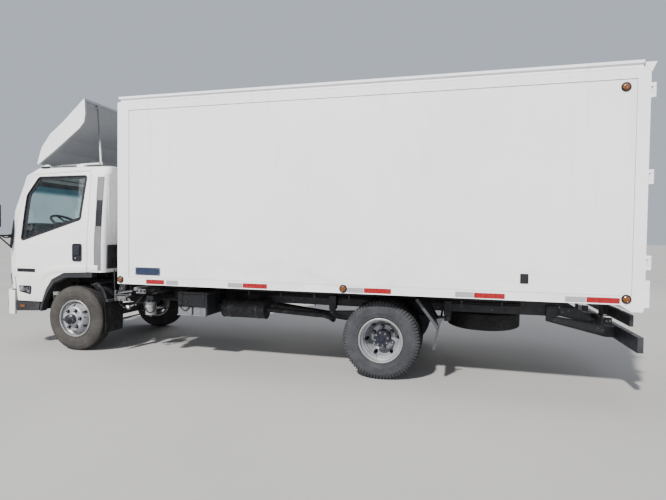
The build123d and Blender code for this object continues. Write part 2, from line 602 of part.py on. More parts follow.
# floor: two foot wells in front, a raised floor over the wheels and the engine
FLOOR = [(-985, 765), (-500, 765), (-330, 1010), (405, 1010), (405, 1050), (-350, 1050), (-520, 800), (-985, 800)]
well = [prism(FLOOR, "Y", *sorted((s * 470, s * 925))) for s in (-1, 1)]
middle = slab((-985, 405), (-470, 470), (1010, 1050))
riser = [slab((-985, -340), sorted((s * 470, s * 490)), (800, 1030)) for s in (-1, 1)]
floor = middle
for w in well + riser:
    floor += w
for y0, y1 in ((-830, -360), (-200, 830)):      # bases under the seats
    floor += slab((-90, 320), (y0, y1), (1045, 1100))
cavity = cab_solid(CAB_WALL + 0.3, 560, 0, 45)
floor = floor & cavity
for s in (-1, 1):
    arm = prism([(-982, 742), (-925, 730), (-870, 768), (-870, 800), (-960, 800), (-982, 788)], "Y",
                *sorted((s * 436, s * 476)), 8)
    arm = arm + slab((-940, -880), sorted((s * 436, s * 482)), (766, 800))
    arm = arm - rod((TILT_X, s * 400, TILT_Z), (TILT_X, s * 500, TILT_Z), 17.4)
    floor += arm
save("cab_floor", floor)

# arch trims, steps
TRIM_OUT = [(-446, 590), (-382, 746), (-290, 876), (-108, 963), (300, 980)]
TRIM_IN = [(300, 925), (-97, 911), (-262, 838), (-352, 728), (-425, 590), (-458, 478), (-472, 478), (-470, 560)]
save("wheel_arch_trims", [prism(TRIM_OUT + TRIM_IN, "Y", *sorted((s * 992, s * 905))) for s in (-1, 1)])
steps = []
for s in (-1, 1):
    body = prism([(-852, 466), (-500, 482), (-482, 590), (-852, 590)], "Y", *sorted((s * 985, s * 760)), 14)
    body = body - slab((-830, -510), sorted((s * 1000, s * 790)), (492, 572))
    body += slab((-840, -500), sorted((s * 760, s * 800)), (585, 640))
    body += slab((-840, -500), sorted((s * 760, s * 780)), (600, 764.9))
    steps.append(body)
save("cab_steps", steps)

# ---------------------------------------------------------------- inside of the cab
dash = prism([(-990, 1060), (-800, 1060), (-700, 1180), (-690, 1330), (-740, 1425), (-985, 1400)], "Y",
             -900, 900, 25)
# the raised hood over the driver's instruments
dash += prism([(-930, 1370), (-705, 1370), (-684, 1500), (-712, 1568), (-800, 1592), (-905, 1540)], "Y",
              -830, -270, 25)
# the steering wheel's centre and axis, and the column along that axis
WHEEL_C, WHEEL_N = (-480.0, -540.0, 1590.0), (0.5, 0.0, 0.8660254)
COLUMN_TOP, COLUMN_FOOT = 42.0, 560.0
column = rod(*[tuple(c - n * t for c, n in zip(WHEEL_C, WHEEL_N)) for t in (COLUMN_FOOT, COLUMN_TOP)], 32)
save("dashboard", (dash & cavity) + column)
wheel_plane = Plane(origin=WHEEL_C, x_dir=(0.8660254, 0, -0.5), z_dir=WHEEL_N)
ring = wheel_plane * Torus(205, 15)
hub_w = wheel_plane * Cylinder(55, 30)
spokes = wheel_plane * Box(390, 30, 12)
spokes += wheel_plane * (Pos(0, -95, 0) * Box(30, 200, 12))
save("steering_wheel", ring + hub_w + spokes)


def seat(y0, y1):
    cushion = prism([(-130, 1100), (330, 1100), (330, 1190), (-90, 1235), (-140, 1190)], "Y", y0, y1, 25)
    back = prism([(255, 1190.2), (335, 1190.2), (402, 1760), (330, 1775), (290, 1700)], "Y", y0, y1, 25)
    return [cushion, back]


save("driver_seat", seat(-860, -330))
save("passenger_seat", seat(-230, 860))

# ---------------------------------------------------------------- outside fittings of the cab
grille = prism([(-520, 1000), (520, 1000), (500, 1130), (-500, 1130)], "X", -1085, -1072, 20)
save("cab_front_panel", front_panel + grille)
lamps_f = []
for s in (-1, 1):
    block = outer_lamp = prism([(s * 560, 780), (s * 955, 790), (s * 960, 940), (s * 640, 960)], "X", -1110, -800, 0)
    skin = cab_solid(-8, 590, 0) - cab_solid(-0.4, 590, 0)
    lamps_f.append(skin & block)
save("headlamps", lamps_f)

mirrors = []
for s in (-1, 1):
    arm = rod((-955, s * 955, 1420), (-1000, s * 1230, 1420), 11) + rod((-1000, s * 1230, 1412), (-1000, s * 1230, 1520), 11)
    arm += rod((-985, s * 1120, 1420), (-945, s * 965, 1270), 9)
    cover = prism([(-962, 1260), (-925, 1260), (-884, 1334), (-882, 1500), (-905, 1650), (-930, 1500), (-962, 1334)],
                  "Y", *sorted((s * 700, s * 1040)), 6) & cab_solid(-14, 570, 0)
    head_m = prism([(s * 1090, 1515), (s * 1340, 1515), (s * 1340, 1820), (s * 1090, 1820)], "X", -1035, -965, 35)
    mirrors.append((arm + head_m + cover) - cab_solid(-0.4, 560, 0))
save("mirrors", mirrors)

# roof wind deflector: a shell with side wings, open behind
DEF_OUT = [(-567, 2326), (-497, 2530), (-364, 2696), (-169, 2837), (95, 3065), (147, 3108)]
DEF_EDGE = [(152, 3060), (158, 2922), (141, 2822), (71, 2747), (-287, 2495), (-540, 2330)]
HALF_D = 935.0
full = prism(DEF_OUT + DEF_EDGE, "Y", -HALF_D, HALF_D)
inner_pts = [(x + 26, z - 18) for x, z in DEF_OUT[:-1]] + [(130, 3078), (400, 3078), (400, 2100), (-541, 2100)]
full = full - prism(inner_pts, "Y", -HALF_D + 22, HALF_D - 22)
save("roof_deflector", full)
stays_d = []
for s in (-1, 1):
    y = s * 700
    stays_d.append(rod((-480, y, 2334), (200, y, 2350), 11) + rod((187, y, 2350), (140, y, 3070), 10)
                   + slab((131.5, 156), (y - 18, y + 18), (3066, 3077.8))
                   + slab((-160, -50), (y - 22, y + 22), (2290, 2342)) + slab((-500, -420), (y - 22, y + 22), (2290, 2336)))
save("deflector_stays", [d - cab_solid(-0.2, 560, 0) for d in stays_d])

# ---------------------------------------------------------------- report
lo = [1e9] * 3
hi = [-1e9] * 3
for shape in NODES.values():
    b = shape.bounding_box()
    for i, (a, c) in enumerate(((b.min.X, b.max.X), (b.min.Y, b.max.Y), (b.min.Z, b.max.Z))):
        lo[i], hi[i] = min(lo[i], a), max(hi[i], c)
print("nodes", len(NODES), "row shift", ROW_SHIFT)
print("box", [round(v, 2) for v in lo], [round(v, 2) for v in hi])
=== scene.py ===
import bpy
import math
import random
from mathutils import Matrix, Vector


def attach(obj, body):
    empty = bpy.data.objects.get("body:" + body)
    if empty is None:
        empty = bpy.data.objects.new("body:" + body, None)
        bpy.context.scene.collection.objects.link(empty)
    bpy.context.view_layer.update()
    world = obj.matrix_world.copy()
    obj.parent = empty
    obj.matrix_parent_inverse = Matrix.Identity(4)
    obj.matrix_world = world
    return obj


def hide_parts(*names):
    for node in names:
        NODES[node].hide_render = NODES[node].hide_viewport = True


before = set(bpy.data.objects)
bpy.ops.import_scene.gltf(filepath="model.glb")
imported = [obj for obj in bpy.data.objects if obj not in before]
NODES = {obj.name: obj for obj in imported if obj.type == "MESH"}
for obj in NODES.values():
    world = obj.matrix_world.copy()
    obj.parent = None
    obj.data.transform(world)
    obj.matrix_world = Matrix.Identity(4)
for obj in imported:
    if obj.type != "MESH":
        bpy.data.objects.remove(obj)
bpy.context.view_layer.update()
SHIFT = -2.55            # station from the front axle to the row frame, metres
rnd = random.Random(11)

# ------------------------------------------------------------------ camera
CAM_AT = Vector((4.6028 + SHIFT, -5.9014, 1.4592))
yaw, pitch, roll = math.radians(14.636), math.radians(-1.608), math.radians(0.705)
look = Vector((-math.sin(yaw) * math.cos(pitch), math.cos(yaw) * math.cos(pitch), math.sin(pitch)))
right = Vector((math.cos(yaw), math.sin(yaw), 0))
up = right.cross(look)
right2 = right * math.cos(roll) + up * math.sin(roll)
up2 = up * math.cos(roll) - right * math.sin(roll)
cam_data = bpy.data.cameras.new("camera")
cam = bpy.data.objects.new("camera", cam_data)
bpy.context.scene.collection.objects.link(cam)
cam_data.sensor_fit = "HORIZONTAL"
cam_data.sensor_width = 36.0
cam_data.lens = 36.0 * 482.19 / 666.0
cam_data.clip_start, cam_data.clip_end = 0.05, 400.0
turn = Matrix((right2, up2, -look)).transposed().to_4x4()
cam.matrix_world = Matrix.Translation(CAM_AT) @ turn
bpy.context.scene.camera = cam


# ------------------------------------------------------------------ materials
class Mat:
    """A node material: each call adds nodes and gives back an output socket."""

    def __init__(s, name, rough=0.5, metal=0.0, coat=0.0, coat_rough=0.1, sheen=0.0, spec=0.5, ior=1.5):
        s.m = bpy.data.materials.new(name)
        s.m.use_nodes = True
        s.t = s.m.node_tree
        s.t.nodes.clear()
        out = s.t.nodes.new("ShaderNodeOutputMaterial")
        s.b = s.t.nodes.new("ShaderNodeBsdfPrincipled")
        s.t.links.new(s.b.outputs[0], out.inputs[0])
        s.out = out
        s.b.inputs["Roughness"].default_value = rough
        s.b.inputs["Metallic"].default_value = metal
        s.b.inputs["Coat Weight"].default_value = coat
        s.b.inputs["Coat Roughness"].default_value = coat_rough
        s.b.inputs["Sheen Weight"].default_value = sheen
        s.b.inputs["Specular IOR Level"].default_value = spec
        s.b.inputs["IOR"].default_value = ior
        tc = s.t.nodes.new("ShaderNodeTexCoord")
        s.obj = tc.outputs["Object"]
        s.nor = tc.outputs["Normal"]
        sep = s.t.nodes.new("ShaderNodeSeparateXYZ")
        s.link(s.obj, sep.inputs[0])
        s.x, s.y, s.z = sep.outputs

    def link(s, a, b):
        s.t.links.new(a, b)

    def put(s, socket, v):
        if isinstance(v, bpy.types.NodeSocket):
            s.link(v, socket)
        elif isinstance(v, (tuple, list)):
            socket.default_value = tuple(v) + ((1.0,) if len(v) == 3 and len(socket.default_value) == 4 else ())
        else:
            socket.default_value = v

    def scaled(s, k):
        n = s.t.nodes.new("ShaderNodeMapping")
        n.inputs["Scale"].default_value = k if hasattr(k, "__len__") else (k, k, k)
        s.link(s.obj, n.inputs[0])
        return n.outputs[0]

    def noise(s, scale=5.0, detail=3.0, rough=0.5, stretch=None, warp=0.0):
        n = s.t.nodes.new("ShaderNodeTexNoise")
        n.inputs["Scale"].default_value = scale
        n.inputs["Detail"].default_value = detail
        n.inputs["Roughness"].default_value = rough
        n.inputs["Distortion"].default_value = warp
        s.link(s.scaled(stretch) if stretch else s.obj, n.inputs["Vector"])
        return n.outputs[0]

    def cells(s, scale=20.0, feature="F1", stretch=None, randomness=1.0):
        n = s.t.nodes.new("ShaderNodeTexVoronoi")
        n.feature = feature
        n.inputs["Scale"].default_value = scale
        n.inputs["Randomness"].default_value = randomness
        s.link(s.scaled(stretch) if stretch else s.obj, n.inputs["Vector"])
        return n.outputs[0]

    def wave(s, scale=20.0, axis="X", kind="BANDS", warp=0.0, detail=0.0, stretch=None):
        n = s.t.nodes.new("ShaderNodeTexWave")
        n.wave_type = kind
        if kind == "BANDS":
            n.bands_direction = axis
        else:
            n.rings_direction = axis
        n.inputs["Scale"].default_value = scale
        n.inputs["Distortion"].default_value = warp
        n.inputs["Detail"].default_value = detail
        s.link(s.scaled(stretch) if stretch else s.obj, n.inputs["Vector"])
        return n.outputs[1]

    def math(s, op, a, b=0.0, c=0.0, clamp=False):
        n = s.t.nodes.new("ShaderNodeMath")
        n.operation = op
        n.use_clamp = clamp
        for i, v in enumerate((a, b, c)):
            if i < len(n.inputs):
                s.put(n.inputs[i], v)
        return n.outputs[0]

    def between(s, v, lo, hi, a=0.0, b=1.0):
        n = s.t.nodes.new("ShaderNodeMapRange")
        n.interpolation_type = "SMOOTHSTEP"
        n.clamp = True
        s.put(n.inputs["Value"], v)
        s.put(n.inputs["From Min"], lo)
        s.put(n.inputs["From Max"], hi)
        s.put(n.inputs["To Min"], a)
        s.put(n.inputs["To Max"], b)
        return n.outputs["Result"]

    def mix(s, fac, a, b):
        n = s.t.nodes.new("ShaderNodeMix")
        n.data_type = "RGBA"
        s.put(n.inputs["Factor"], fac)
        s.put(n.inputs["A"] if False else n.inputs[6], a)
        s.put(n.inputs[7], b)
        return n.outputs[2]

    def dot(s, v, axis):
        n = s.t.nodes.new("ShaderNodeVectorMath")
        n.operation = "DOT_PRODUCT"
        s.link(v, n.inputs[0])
        n.inputs[1].default_value = axis
        return n.outputs["Value"]

    def bump(s, height, strength=0.2, distance=0.01):
        n = s.t.nodes.new("ShaderNodeBump")
        n.inputs["Strength"].default_value = strength
        n.inputs["Distance"].default_value = distance
        s.put(n.inputs["Height"], height)
        prev = getattr(s, "last_bump", None)
        if prev is not None:
            s.link(prev, n.inputs["Normal"])
        s.last_bump = n.outputs[0]
        s.link(n.outputs[0], s.b.inputs["Normal"])
        return n.outputs[0]

    def color(s, c):
        s.put(s.b.inputs["Base Color"], c)
        return s

    def roughness(s, c):
        s.put(s.b.inputs["Roughness"], c)
        return s


def paint(name, base, low, rough=0.35, coat=0.3, dust=(0.42, 0.38, 0.33), dust_z=(0.3, 1.3), dust_amount=0.5,
          grime=0.08, peel=0.03):
    """Painted sheet: slow tint changes, dust that gathers low down, streaks that run down, fine orange peel."""
    m = Mat(name, rough=rough, coat=coat, coat_rough=0.12)
    tint = m.noise(1.3, 2.0)
    col = m.mix(m.between(tint, 0.35, 0.65), base, low)
    streak = m.noise(9.0, 4.0, 0.6, stretch=(1.0, 1.0, 0.06))
    col = m.mix(m.math("MULTIPLY", m.between(streak, 0.55, 0.8), grime * 2.0), col, tuple(c * 0.72 for c in dust))
    speck = m.noise(60.0, 5.0, 0.7)
    col = m.mix(m.math("MULTIPLY", m.between(speck, 0.62, 0.75), grime), col, tuple(c * 0.5 for c in dust))
    height = m.between(m.z, dust_z[0], dust_z[1], 1.0, 0.0)
    patch = m.between(m.noise(4.0, 6.0, 0.65), 0.3, 0.7)
    d = m.math("MULTIPLY", m.math("MULTIPLY", height, dust_amount), m.math("ADD", m.math("MULTIPLY", patch, 0.7), 0.3))
    m.color(m.mix(d, col, dust))
    m.roughness(m.math("ADD", m.math("MULTIPLY", d, 0.4), m.between(m.noise(18.0, 4.0), 0.3, 0.7, rough - 0.04, rough + 0.08)))
    m.bump(m.noise(170.0, 2.0), peel, 0.002)
    return m


def box_paint():
    """The box's white sheets: slightly wavy, with faint vertical streaks and dust along the lower rail."""
    m = Mat("box_white", rough=0.42, coat=0.08, coat_rough=0.3)
    tint = m.noise(0.9, 3.0, 0.55, stretch=(1.0, 1.0, 0.7))
    col = m.mix(m.between(tint, 0.3, 0.7), (0.845, 0.845, 0.865), (0.80, 0.80, 0.825))
    run = m.noise(14.0, 5.0, 0.62, stretch=(1.0, 1.0, 0.045))
    top = m.between(m.z, 1.1, 2.9, 0.12, 0.32)
    col = m.mix(m.math("MULTIPLY", m.between(run, 0.54, 0.78), top), col, (0.50, 0.49, 0.47))
    smear = m.noise(3.2, 6.0, 0.7, stretch=(0.45, 1.0, 1.0), warp=0.6)
    low = m.between(m.z, 0.9, 1.75, 1.0, 0.0)
    col = m.mix(m.math("MULTIPLY", m.math("MULTIPLY", m.between(smear, 0.42, 0.75), low), 0.34), col, (0.47, 0.43, 0.39))
    fine = m.between(m.noise(220.0, 3.0, 0.7), 0.66, 0.76)
    col = m.mix(m.math("MULTIPLY", fine, 0.16), col, (0.35, 0.33, 0.31))
    m.color(col)
    m.roughness(m.between(m.noise(5.0, 5.0), 0.3, 0.7, 0.34, 0.52))
    m.bump(m.noise(1.6, 1.5, 0.4, stretch=(1.0, 1.0, 0.55)), 0.35, 0.012)
    m.bump(m.noise(240.0, 2.0), 0.04, 0.001)
    return m


def tyre_mat(name, base, dusty):
    m = Mat(name, rough=0.85, spec=0.25)
    # ring-wise shades: object coordinates round the axle are not needed, the noise is isotropic
    big = m.between(m.noise(6.0, 5.0, 0.6), 0.3, 0.7)
    col = m.mix(big, base, dusty)
    fine = m.between(m.noise(70.0, 6.0, 0.75), 0.45, 0.75)
    col = m.mix(m.math("MULTIPLY", fine, 0.45), col, tuple(c * 1.7 for c in dusty))
    scuff = m.between(m.noise(26.0, 4.0, 0.6, stretch=(1, 1, 1), warp=1.5), 0.62, 0.72)
    col = m.mix(m.math("MULTIPLY", scuff, 0.5), col, tuple(c * 0.45 for c in base))
    m.color(col)
    m.roughness(m.between(m.noise(30.0, 4.0), 0.3, 0.7, 0.74, 0.95))
    m.bump(m.noise(160.0, 4.0, 0.7), 0.25, 0.0015)
    m.bump(m.cells(320.0), 0.1, 0.0006)
    return m


def rolled_black(name="chassis_black", base=(0.018, 0.020, 0.027), dust=(0.11, 0.10, 0.09), amount=0.45):
    m = Mat(name, rough=0.5, coat=0.05, coat_rough=0.4)
    d = m.between(m.noise(3.5, 6.0, 0.7), 0.38, 0.72)
    up_face = m.between(m.dot(m.nor, (0, 0, 1)), 0.2, 0.9)
    d = m.math("ADD", m.math("MULTIPLY", d, amount * 0.7), m.math("MULTIPLY", up_face, amount * 0.5), clamp=True)
    col = m.mix(d, base, dust)
    rust = m.math("MULTIPLY", m.between(m.noise(11.0, 6.0, 0.75, warp=0.6), 0.62, 0.72), 0.4)
    col = m.mix(rust, col, (0.085, 0.034, 0.016))
    m.color(col)
    m.roughness(m.math("ADD", m.math("MULTIPLY", d, 0.35), m.between(m.noise(22.0, 4.0), 0.3, 0.7, 0.4, 0.58), clamp=True))
    m.bump(m.noise(90.0, 4.0, 0.6), 0.12, 0.002)
    return m


def silver_wheel(name, centre_x, centre_z, hub_r, rear=False, centre_y=0.0):
    """Silver painted steel wheel with a dark hub, brake dust in the hollows and a chipped flange."""
    m = Mat(name, rough=0.34, metal=0.55, coat=0.2, coat_rough=0.25)
    dx = m.math("SUBTRACT", m.x, centre_x)
    dz = m.math("SUBTRACT", m.z if not centre_y else m.y, centre_z)
    r = m.math("SQRT", m.math("ADD", m.math("MULTIPLY", dx, dx), m.math("MULTIPLY", dz, dz)))
    col = m.mix(m.between(m.noise(12.0, 5.0, 0.6), 0.3, 0.7), (0.44, 0.45, 0.48), (0.33, 0.34, 0.37))
    spots = m.between(m.noise(45.0, 6.0, 0.75), 0.56, 0.72)
    col = m.mix(m.math("MULTIPLY", spots, 0.55), col, (0.17, 0.15, 0.13))
    hollow = m.between(r, 0.186, 0.206, 0.0, 1.0)
    hollow = m.math("MULTIPLY", hollow, m.between(r, 0.214, 0.222, 1.0, 0.0))
    col = m.mix(m.math("MULTIPLY", hollow, 0.45), col, (0.19, 0.17, 0.15))
    chips = m.math("MULTIPLY", m.between(m.noise(30.0, 4.0, 0.7, warp=1.0), 0.60, 0.66), m.between(r, 0.2, 0.225))
    col = m.mix(m.math("MULTIPLY", chips, 0.6), col, (0.12, 0.08, 0.06))
    black = m.between(r, hub_r, hub_r + 0.002, 1.0, 0.0)
    grease = m.mix(m.between(m.noise(24.0, 5.0, 0.7), 0.35, 0.7), (0.022, 0.022, 0.026), (0.075, 0.068, 0.062))
    m.color(m.mix(black, col, grease))
    m.put(m.b.inputs["Metallic"], m.math("SUBTRACT", 0.5, m.math("MULTIPLY", black, 0.4)))
    m.roughness(m.math("ADD", m.between(m.noise(28.0, 5.0), 0.3, 0.7, 0.26, 0.42), m.math("MULTIPLY", black, 0.22)))
    m.bump(m.noise(130.0, 3.0, 0.6), 0.1, 0.0015)
    return m


def plastic(name, base, rough=0.55, grain=260.0, strength=0.18, dust=(0.2, 0.185, 0.17), amount=0.22):
    m = Mat(name, rough=rough, spec=0.4)
    d = m.math("MULTIPLY", m.between(m.noise(7.0, 6.0, 0.7), 0.42, 0.75), amount)
    col = m.mix(m.between(m.noise(2.2, 3.0), 0.3, 0.7), base, tuple(min(1, c * 1.35 + 0.004) for c in base))
    m.color(m.mix(d, col, dust))
    m.roughness(m.math("ADD", d, m.between(m.noise(35.0, 3.0), 0.3, 0.7, rough - 0.07, rough + 0.08)))
    m.bump(m.cells(grain), strength, 0.0006)
    return m


def metal(name, base, rough=0.35, dirt=(0.12, 0.1, 0.085), amount=0.4, brushed=None):
    m = Mat(name, rough=rough, metal=0.9)
    d = m.math("MULTIPLY", m.between(m.noise(14.0, 6.0, 0.72), 0.4, 0.7), amount)
    col = m.mix(m.between(m.noise(30.0, 3.0), 0.3, 0.7), base, tuple(c * 0.78 for c in base))
    m.color(m.mix(d, col, dirt))
    m.put(m.b.inputs["Metallic"], m.math("SUBTRACT", 0.9, m.math("MULTIPLY", d, 0.8)))
    m.roughness(m.math("ADD", d, m.between(m.noise(40.0, 4.0), 0.3, 0.7, rough - 0.06, rough + 0.1)))
    if brushed:
        m.bump(m.noise(60.0, 3.0, 0.6, stretch=brushed), 0.12, 0.001)
    else:
        m.bump(m.noise(120.0, 4.0, 0.6), 0.1, 0.001)
    return m


def rubber(name, base=(0.022, 0.022, 0.024), amount=0.35):
    m = Mat(name, rough=0.78, spec=0.3)
    d = m.math("MULTIPLY", m.between(m.noise(16.0, 6.0, 0.7), 0.42, 0.72), amount)
    m.color(m.mix(d, base, (0.13, 0.12, 0.11)))
    m.roughness(m.between(m.noise(30.0, 4.0), 0.3, 0.7, 0.68, 0.9))
    m.bump(m.noise(210.0, 4.0, 0.6), 0.18, 0.0008)
    return m


def fabric(name, base, second, scale=420.0):
    m = Mat(name, rough=0.9, sheen=0.35, spec=0.2)
    warp = m.math("MULTIPLY", m.wave(scale * 0.4, "X"), m.wave(scale * 0.4, "Y"))
    warp2 = m.math("MULTIPLY", m.wave(scale * 0.4, "Z"), m.wave(scale * 0.4, "DIAGONAL"))
    weave = m.math("MAXIMUM", warp, warp2)
    col = m.mix(m.between(weave, 0.1, 0.8), base, second)
    worn = m.math("MULTIPLY", m.between(m.noise(5.0, 5.0, 0.65), 0.45, 0.72), 0.35)
    m.color(m.mix(worn, col, tuple(c * 1.6 for c in second)))
    m.roughness(m.between(m.noise(25.0, 3.0), 0.3, 0.7, 0.82, 0.96))
    m.bump(weave, 0.35, 0.0012)
    m.bump(m.noise(8.0, 3.0), 0.15, 0.01)
    return m


def clear_glass(name, tint=(0.90, 0.95, 0.945), band=None, gloss=0.9):
    """Window glass: clear and thin, with a faint green tint, light dust, and a darker sun band where the pane has one."""
    m = Mat(name, rough=0.02)
    t = m.t
    glossy = t.nodes.new("ShaderNodeBsdfGlossy")
    glossy.inputs["Roughness"].default_value = 0.02
    clear = t.nodes.new("ShaderNodeBsdfTransparent")
    dirt = t.nodes.new("ShaderNodeBsdfDiffuse")
    dirt.inputs["Color"].default_value = (0.55, 0.53, 0.5, 1)
    weight = t.nodes.new("ShaderNodeLayerWeight")
    weight.inputs["Blend"].default_value = 0.5
    edge = m.math("POWER", weight.outputs["Facing"], 5.0)
    mirror = m.math("ADD", m.math("MULTIPLY", edge, gloss), 0.035, clamp=True)
    col = m.mix(m.between(m.noise(3.0, 2.0), 0.3, 0.7), tint, tuple(c * 0.97 for c in tint))
    if band:
        col = m.mix(m.between(m.z, band[0], band[1]), col, (0.16, 0.36, 0.40))
    m.link(col, clear.inputs["Color"])
    mix1 = t.nodes.new("ShaderNodeMixShader")
    m.link(mirror, mix1.inputs[0])
    m.link(clear.outputs[0], mix1.inputs[1])
    m.link(glossy.outputs[0], mix1.inputs[2])
    mix2 = t.nodes.new("ShaderNodeMixShader")
    dust = m.math("MULTIPLY", m.between(m.noise(9.0, 6.0, 0.7), 0.4, 0.8), 0.012)
    m.link(dust, mix2.inputs[0])
    m.link(mix1.outputs[0], mix2.inputs[1])
    m.link(dirt.outputs[0], mix2.inputs[2])
    m.link(mix2.outputs[0], m.out.inputs[0])
    t.nodes.remove(m.b)
    return m


# ------------------------------------------------------------------ mesh building
class Piece:
    """Collects joined faces in the axle frame (metres), then makes one mesh piece that rides on a body."""

    def __init__(s, name, body, *mats):
        s.name, s.body, s.mats = name, body, list(mats)
        s.v, s.f, s.k, s.smooth = [], [], [], []

    def add(s, verts, faces, mat=0, smooth=False):
        base = len(s.v)
        s.v += [tuple(v) for v in verts]
        for f in faces:
            s.f.append([base + i for i in f])
            s.k.append(mat)
            s.smooth.append(smooth)
        return s

    def box(s, x, y, z, bevel=0.002, mat=0, turn=None, at=None):
        """Box with chamfered edges; turn is a rotation matrix about its middle, or about at."""
        c = Vector(((x[0] + x[1]) / 2, (y[0] + y[1]) / 2, (z[0] + z[1]) / 2))
        h = Vector(((x[1] - x[0]) / 2, (y[1] - y[0]) / 2, (z[1] - z[0]) / 2))
        b = min(bevel, min(h) * 0.45)
        verts, index = [], {}
        for sx in (-1, 1):
            for sy in (-1, 1):
                for sz in (-1, 1):
                    for a in range(3):
                        p = Vector((sx * (h.x - (0 if a == 0 else b)), sy * (h.y - (0 if a == 1 else b)),
                                    sz * (h.z - (0 if a == 2 else b))))
                        index[(sx, sy, sz, a)] = len(verts)
                        verts.append(p)
        faces = []
        for a in range(3):
            o, q = [i for i in range(3) if i != a]
            for sgn in (-1, 1):
                ring = []
                for u, w in ((-1, -1), (1, -1), (1, 1), (-1, 1)):
                    k = [0, 0, 0]
                    k[a], k[o], k[q] = sgn, u, w
                    ring.append(index[(*k, a)])
                if (sgn < 0) ^ (a == 1):
                    ring.reverse()
                faces.append(ring)
        for a in range(3):           # chamfers along axis a, between the faces of the two other axes
            o, q = [i for i in range(3) if i != a]
            for u in (-1, 1):
                for w in (-1, 1):
                    lo, hi = [0, 0, 0], [0, 0, 0]
                    lo[a], hi[a] = -1, 1
                    lo[o] = hi[o] = u
                    lo[q] = hi[q] = w
                    ring = [index[(*lo, o)], index[(*hi, o)], index[(*hi, q)], index[(*lo, q)]]
                    faces.append(ring)
        for sx in (-1, 1):
            for sy in (-1, 1):
                for sz in (-1, 1):
                    faces.append([index[(sx, sy, sz, a)] for a in range(3)])
        # orient every face outwards
        fixed = []
        for f in faces:
            pts = [verts[i] for i in f]
            mid = sum(pts, Vector()) / len(pts)
            n = (pts[1] - pts[0]).cross(pts[2] - pts[0])
            fixed.append(f if n.dot(mid) > 0 else f[::-1])
        pivot = Vector(at) if at is not None else c
        out = []
        for p in verts:
            q = c + p
            if turn is not None:
                q = pivot + turn @ (q - pivot)
            out.append(q)
        return s.add(out, fixed, mat)

    def lathe(s, profile, at, axis=(0, 1, 0), seg=32, mat=0, smooth=True, phase=0.0):
        """Turned solid: profile is a list of (radius, distance along the axis); it closes itself on the axis."""
        ax = Vector(axis).normalized()
        u = ax.orthogonal().normalized()
        w = ax.cross(u)
        at = Vector(at)
        verts = []
        for r, h in profile:
            for i in range(seg):
                a = 2 * math.pi * i / seg + phase
                verts.append(at + ax * h + (u * math.cos(a) + w * math.sin(a)) * r)
        faces = []
        for j in range(len(profile) - 1):
            for i in range(seg):
                k = (i + 1) % seg
                faces.append([j * seg + i, j * seg + k, (j + 1) * seg + k, (j + 1) * seg + i])
        if profile[0][0] > 1e-6:
            faces.append(list(range(seg))[::-1])
        if profile[-1][0] > 1e-6:
            faces.append([(len(profile) - 1) * seg + i for i in range(seg)])
        return s.add(verts, faces, mat, smooth)

    def rod(s, a, b, r, seg=16, mat=0, chamfer=0.0):
        a, b = Vector(a), Vector(b)
        length = (b - a).length
        c = min(chamfer or r * 0.15, length * 0.3)
        return s.lathe([(r - c, 0), (r, c), (r, length - c), (r - c, length)], a, b - a, seg, mat)

    def hexhead(s, at, axis, across, height, mat=0, washer=0.0, turn=0.0):
        if washer:
            s.lathe([(washer, 0), (washer, 0.0025), (washer - 0.001, 0.0035)], at, axis, 20, mat)
        r = across / 2 / math.cos(math.pi / 6)
        s.lathe([(r, 0), (r, height * 0.85), (r * 0.88, height)], at, axis, 6, mat, smooth=False, phase=turn)
        return s

    def dome(s, at, axis, r, height, seg=8, mat=0):
        return s.lathe([(r, 0), (r * 0.82, height * 0.55), (r * 0.4, height * 0.93)], at, axis, seg, mat)

    def tube(s, path, r, seg=10, mat=0, closed=False, caps=True, squash=1.0):
        """Round tube along points, with its section carried along without twist."""
        pts = [Vector(p) for p in path]
        n = len(pts)
        tangents = []
        for i in range(n):
            a = pts[(i - 1) % n] if closed or i else pts[0]
            b = pts[(i + 1) % n] if closed or i < n - 1 else pts[-1]
            tangents.append((b - a).normalized())
        u = tangents[0].orthogonal().normalized()
        verts = []
        for i in range(n):
            u = (u - tangents[i] * u.dot(tangents[i])).normalized()
            w = tangents[i].cross(u)
            for j in range(seg):
                a = 2 * math.pi * j / seg
                verts.append(pts[i] + (u * math.cos(a) + w * math.sin(a) * squash) * r)
        faces = []
        for i in range(n if closed else n - 1):
            i2 = (i + 1) % n
            for j in range(seg):
                k = (j + 1) % seg
                faces.append([i * seg + j, i * seg + k, i2 * seg + k, i2 * seg + j])
        if caps and not closed:
            faces.append(list(range(seg))[::-1])
            faces.append([(n - 1) * seg + j for j in range(seg)])
        return s.add(verts, faces, mat, True)

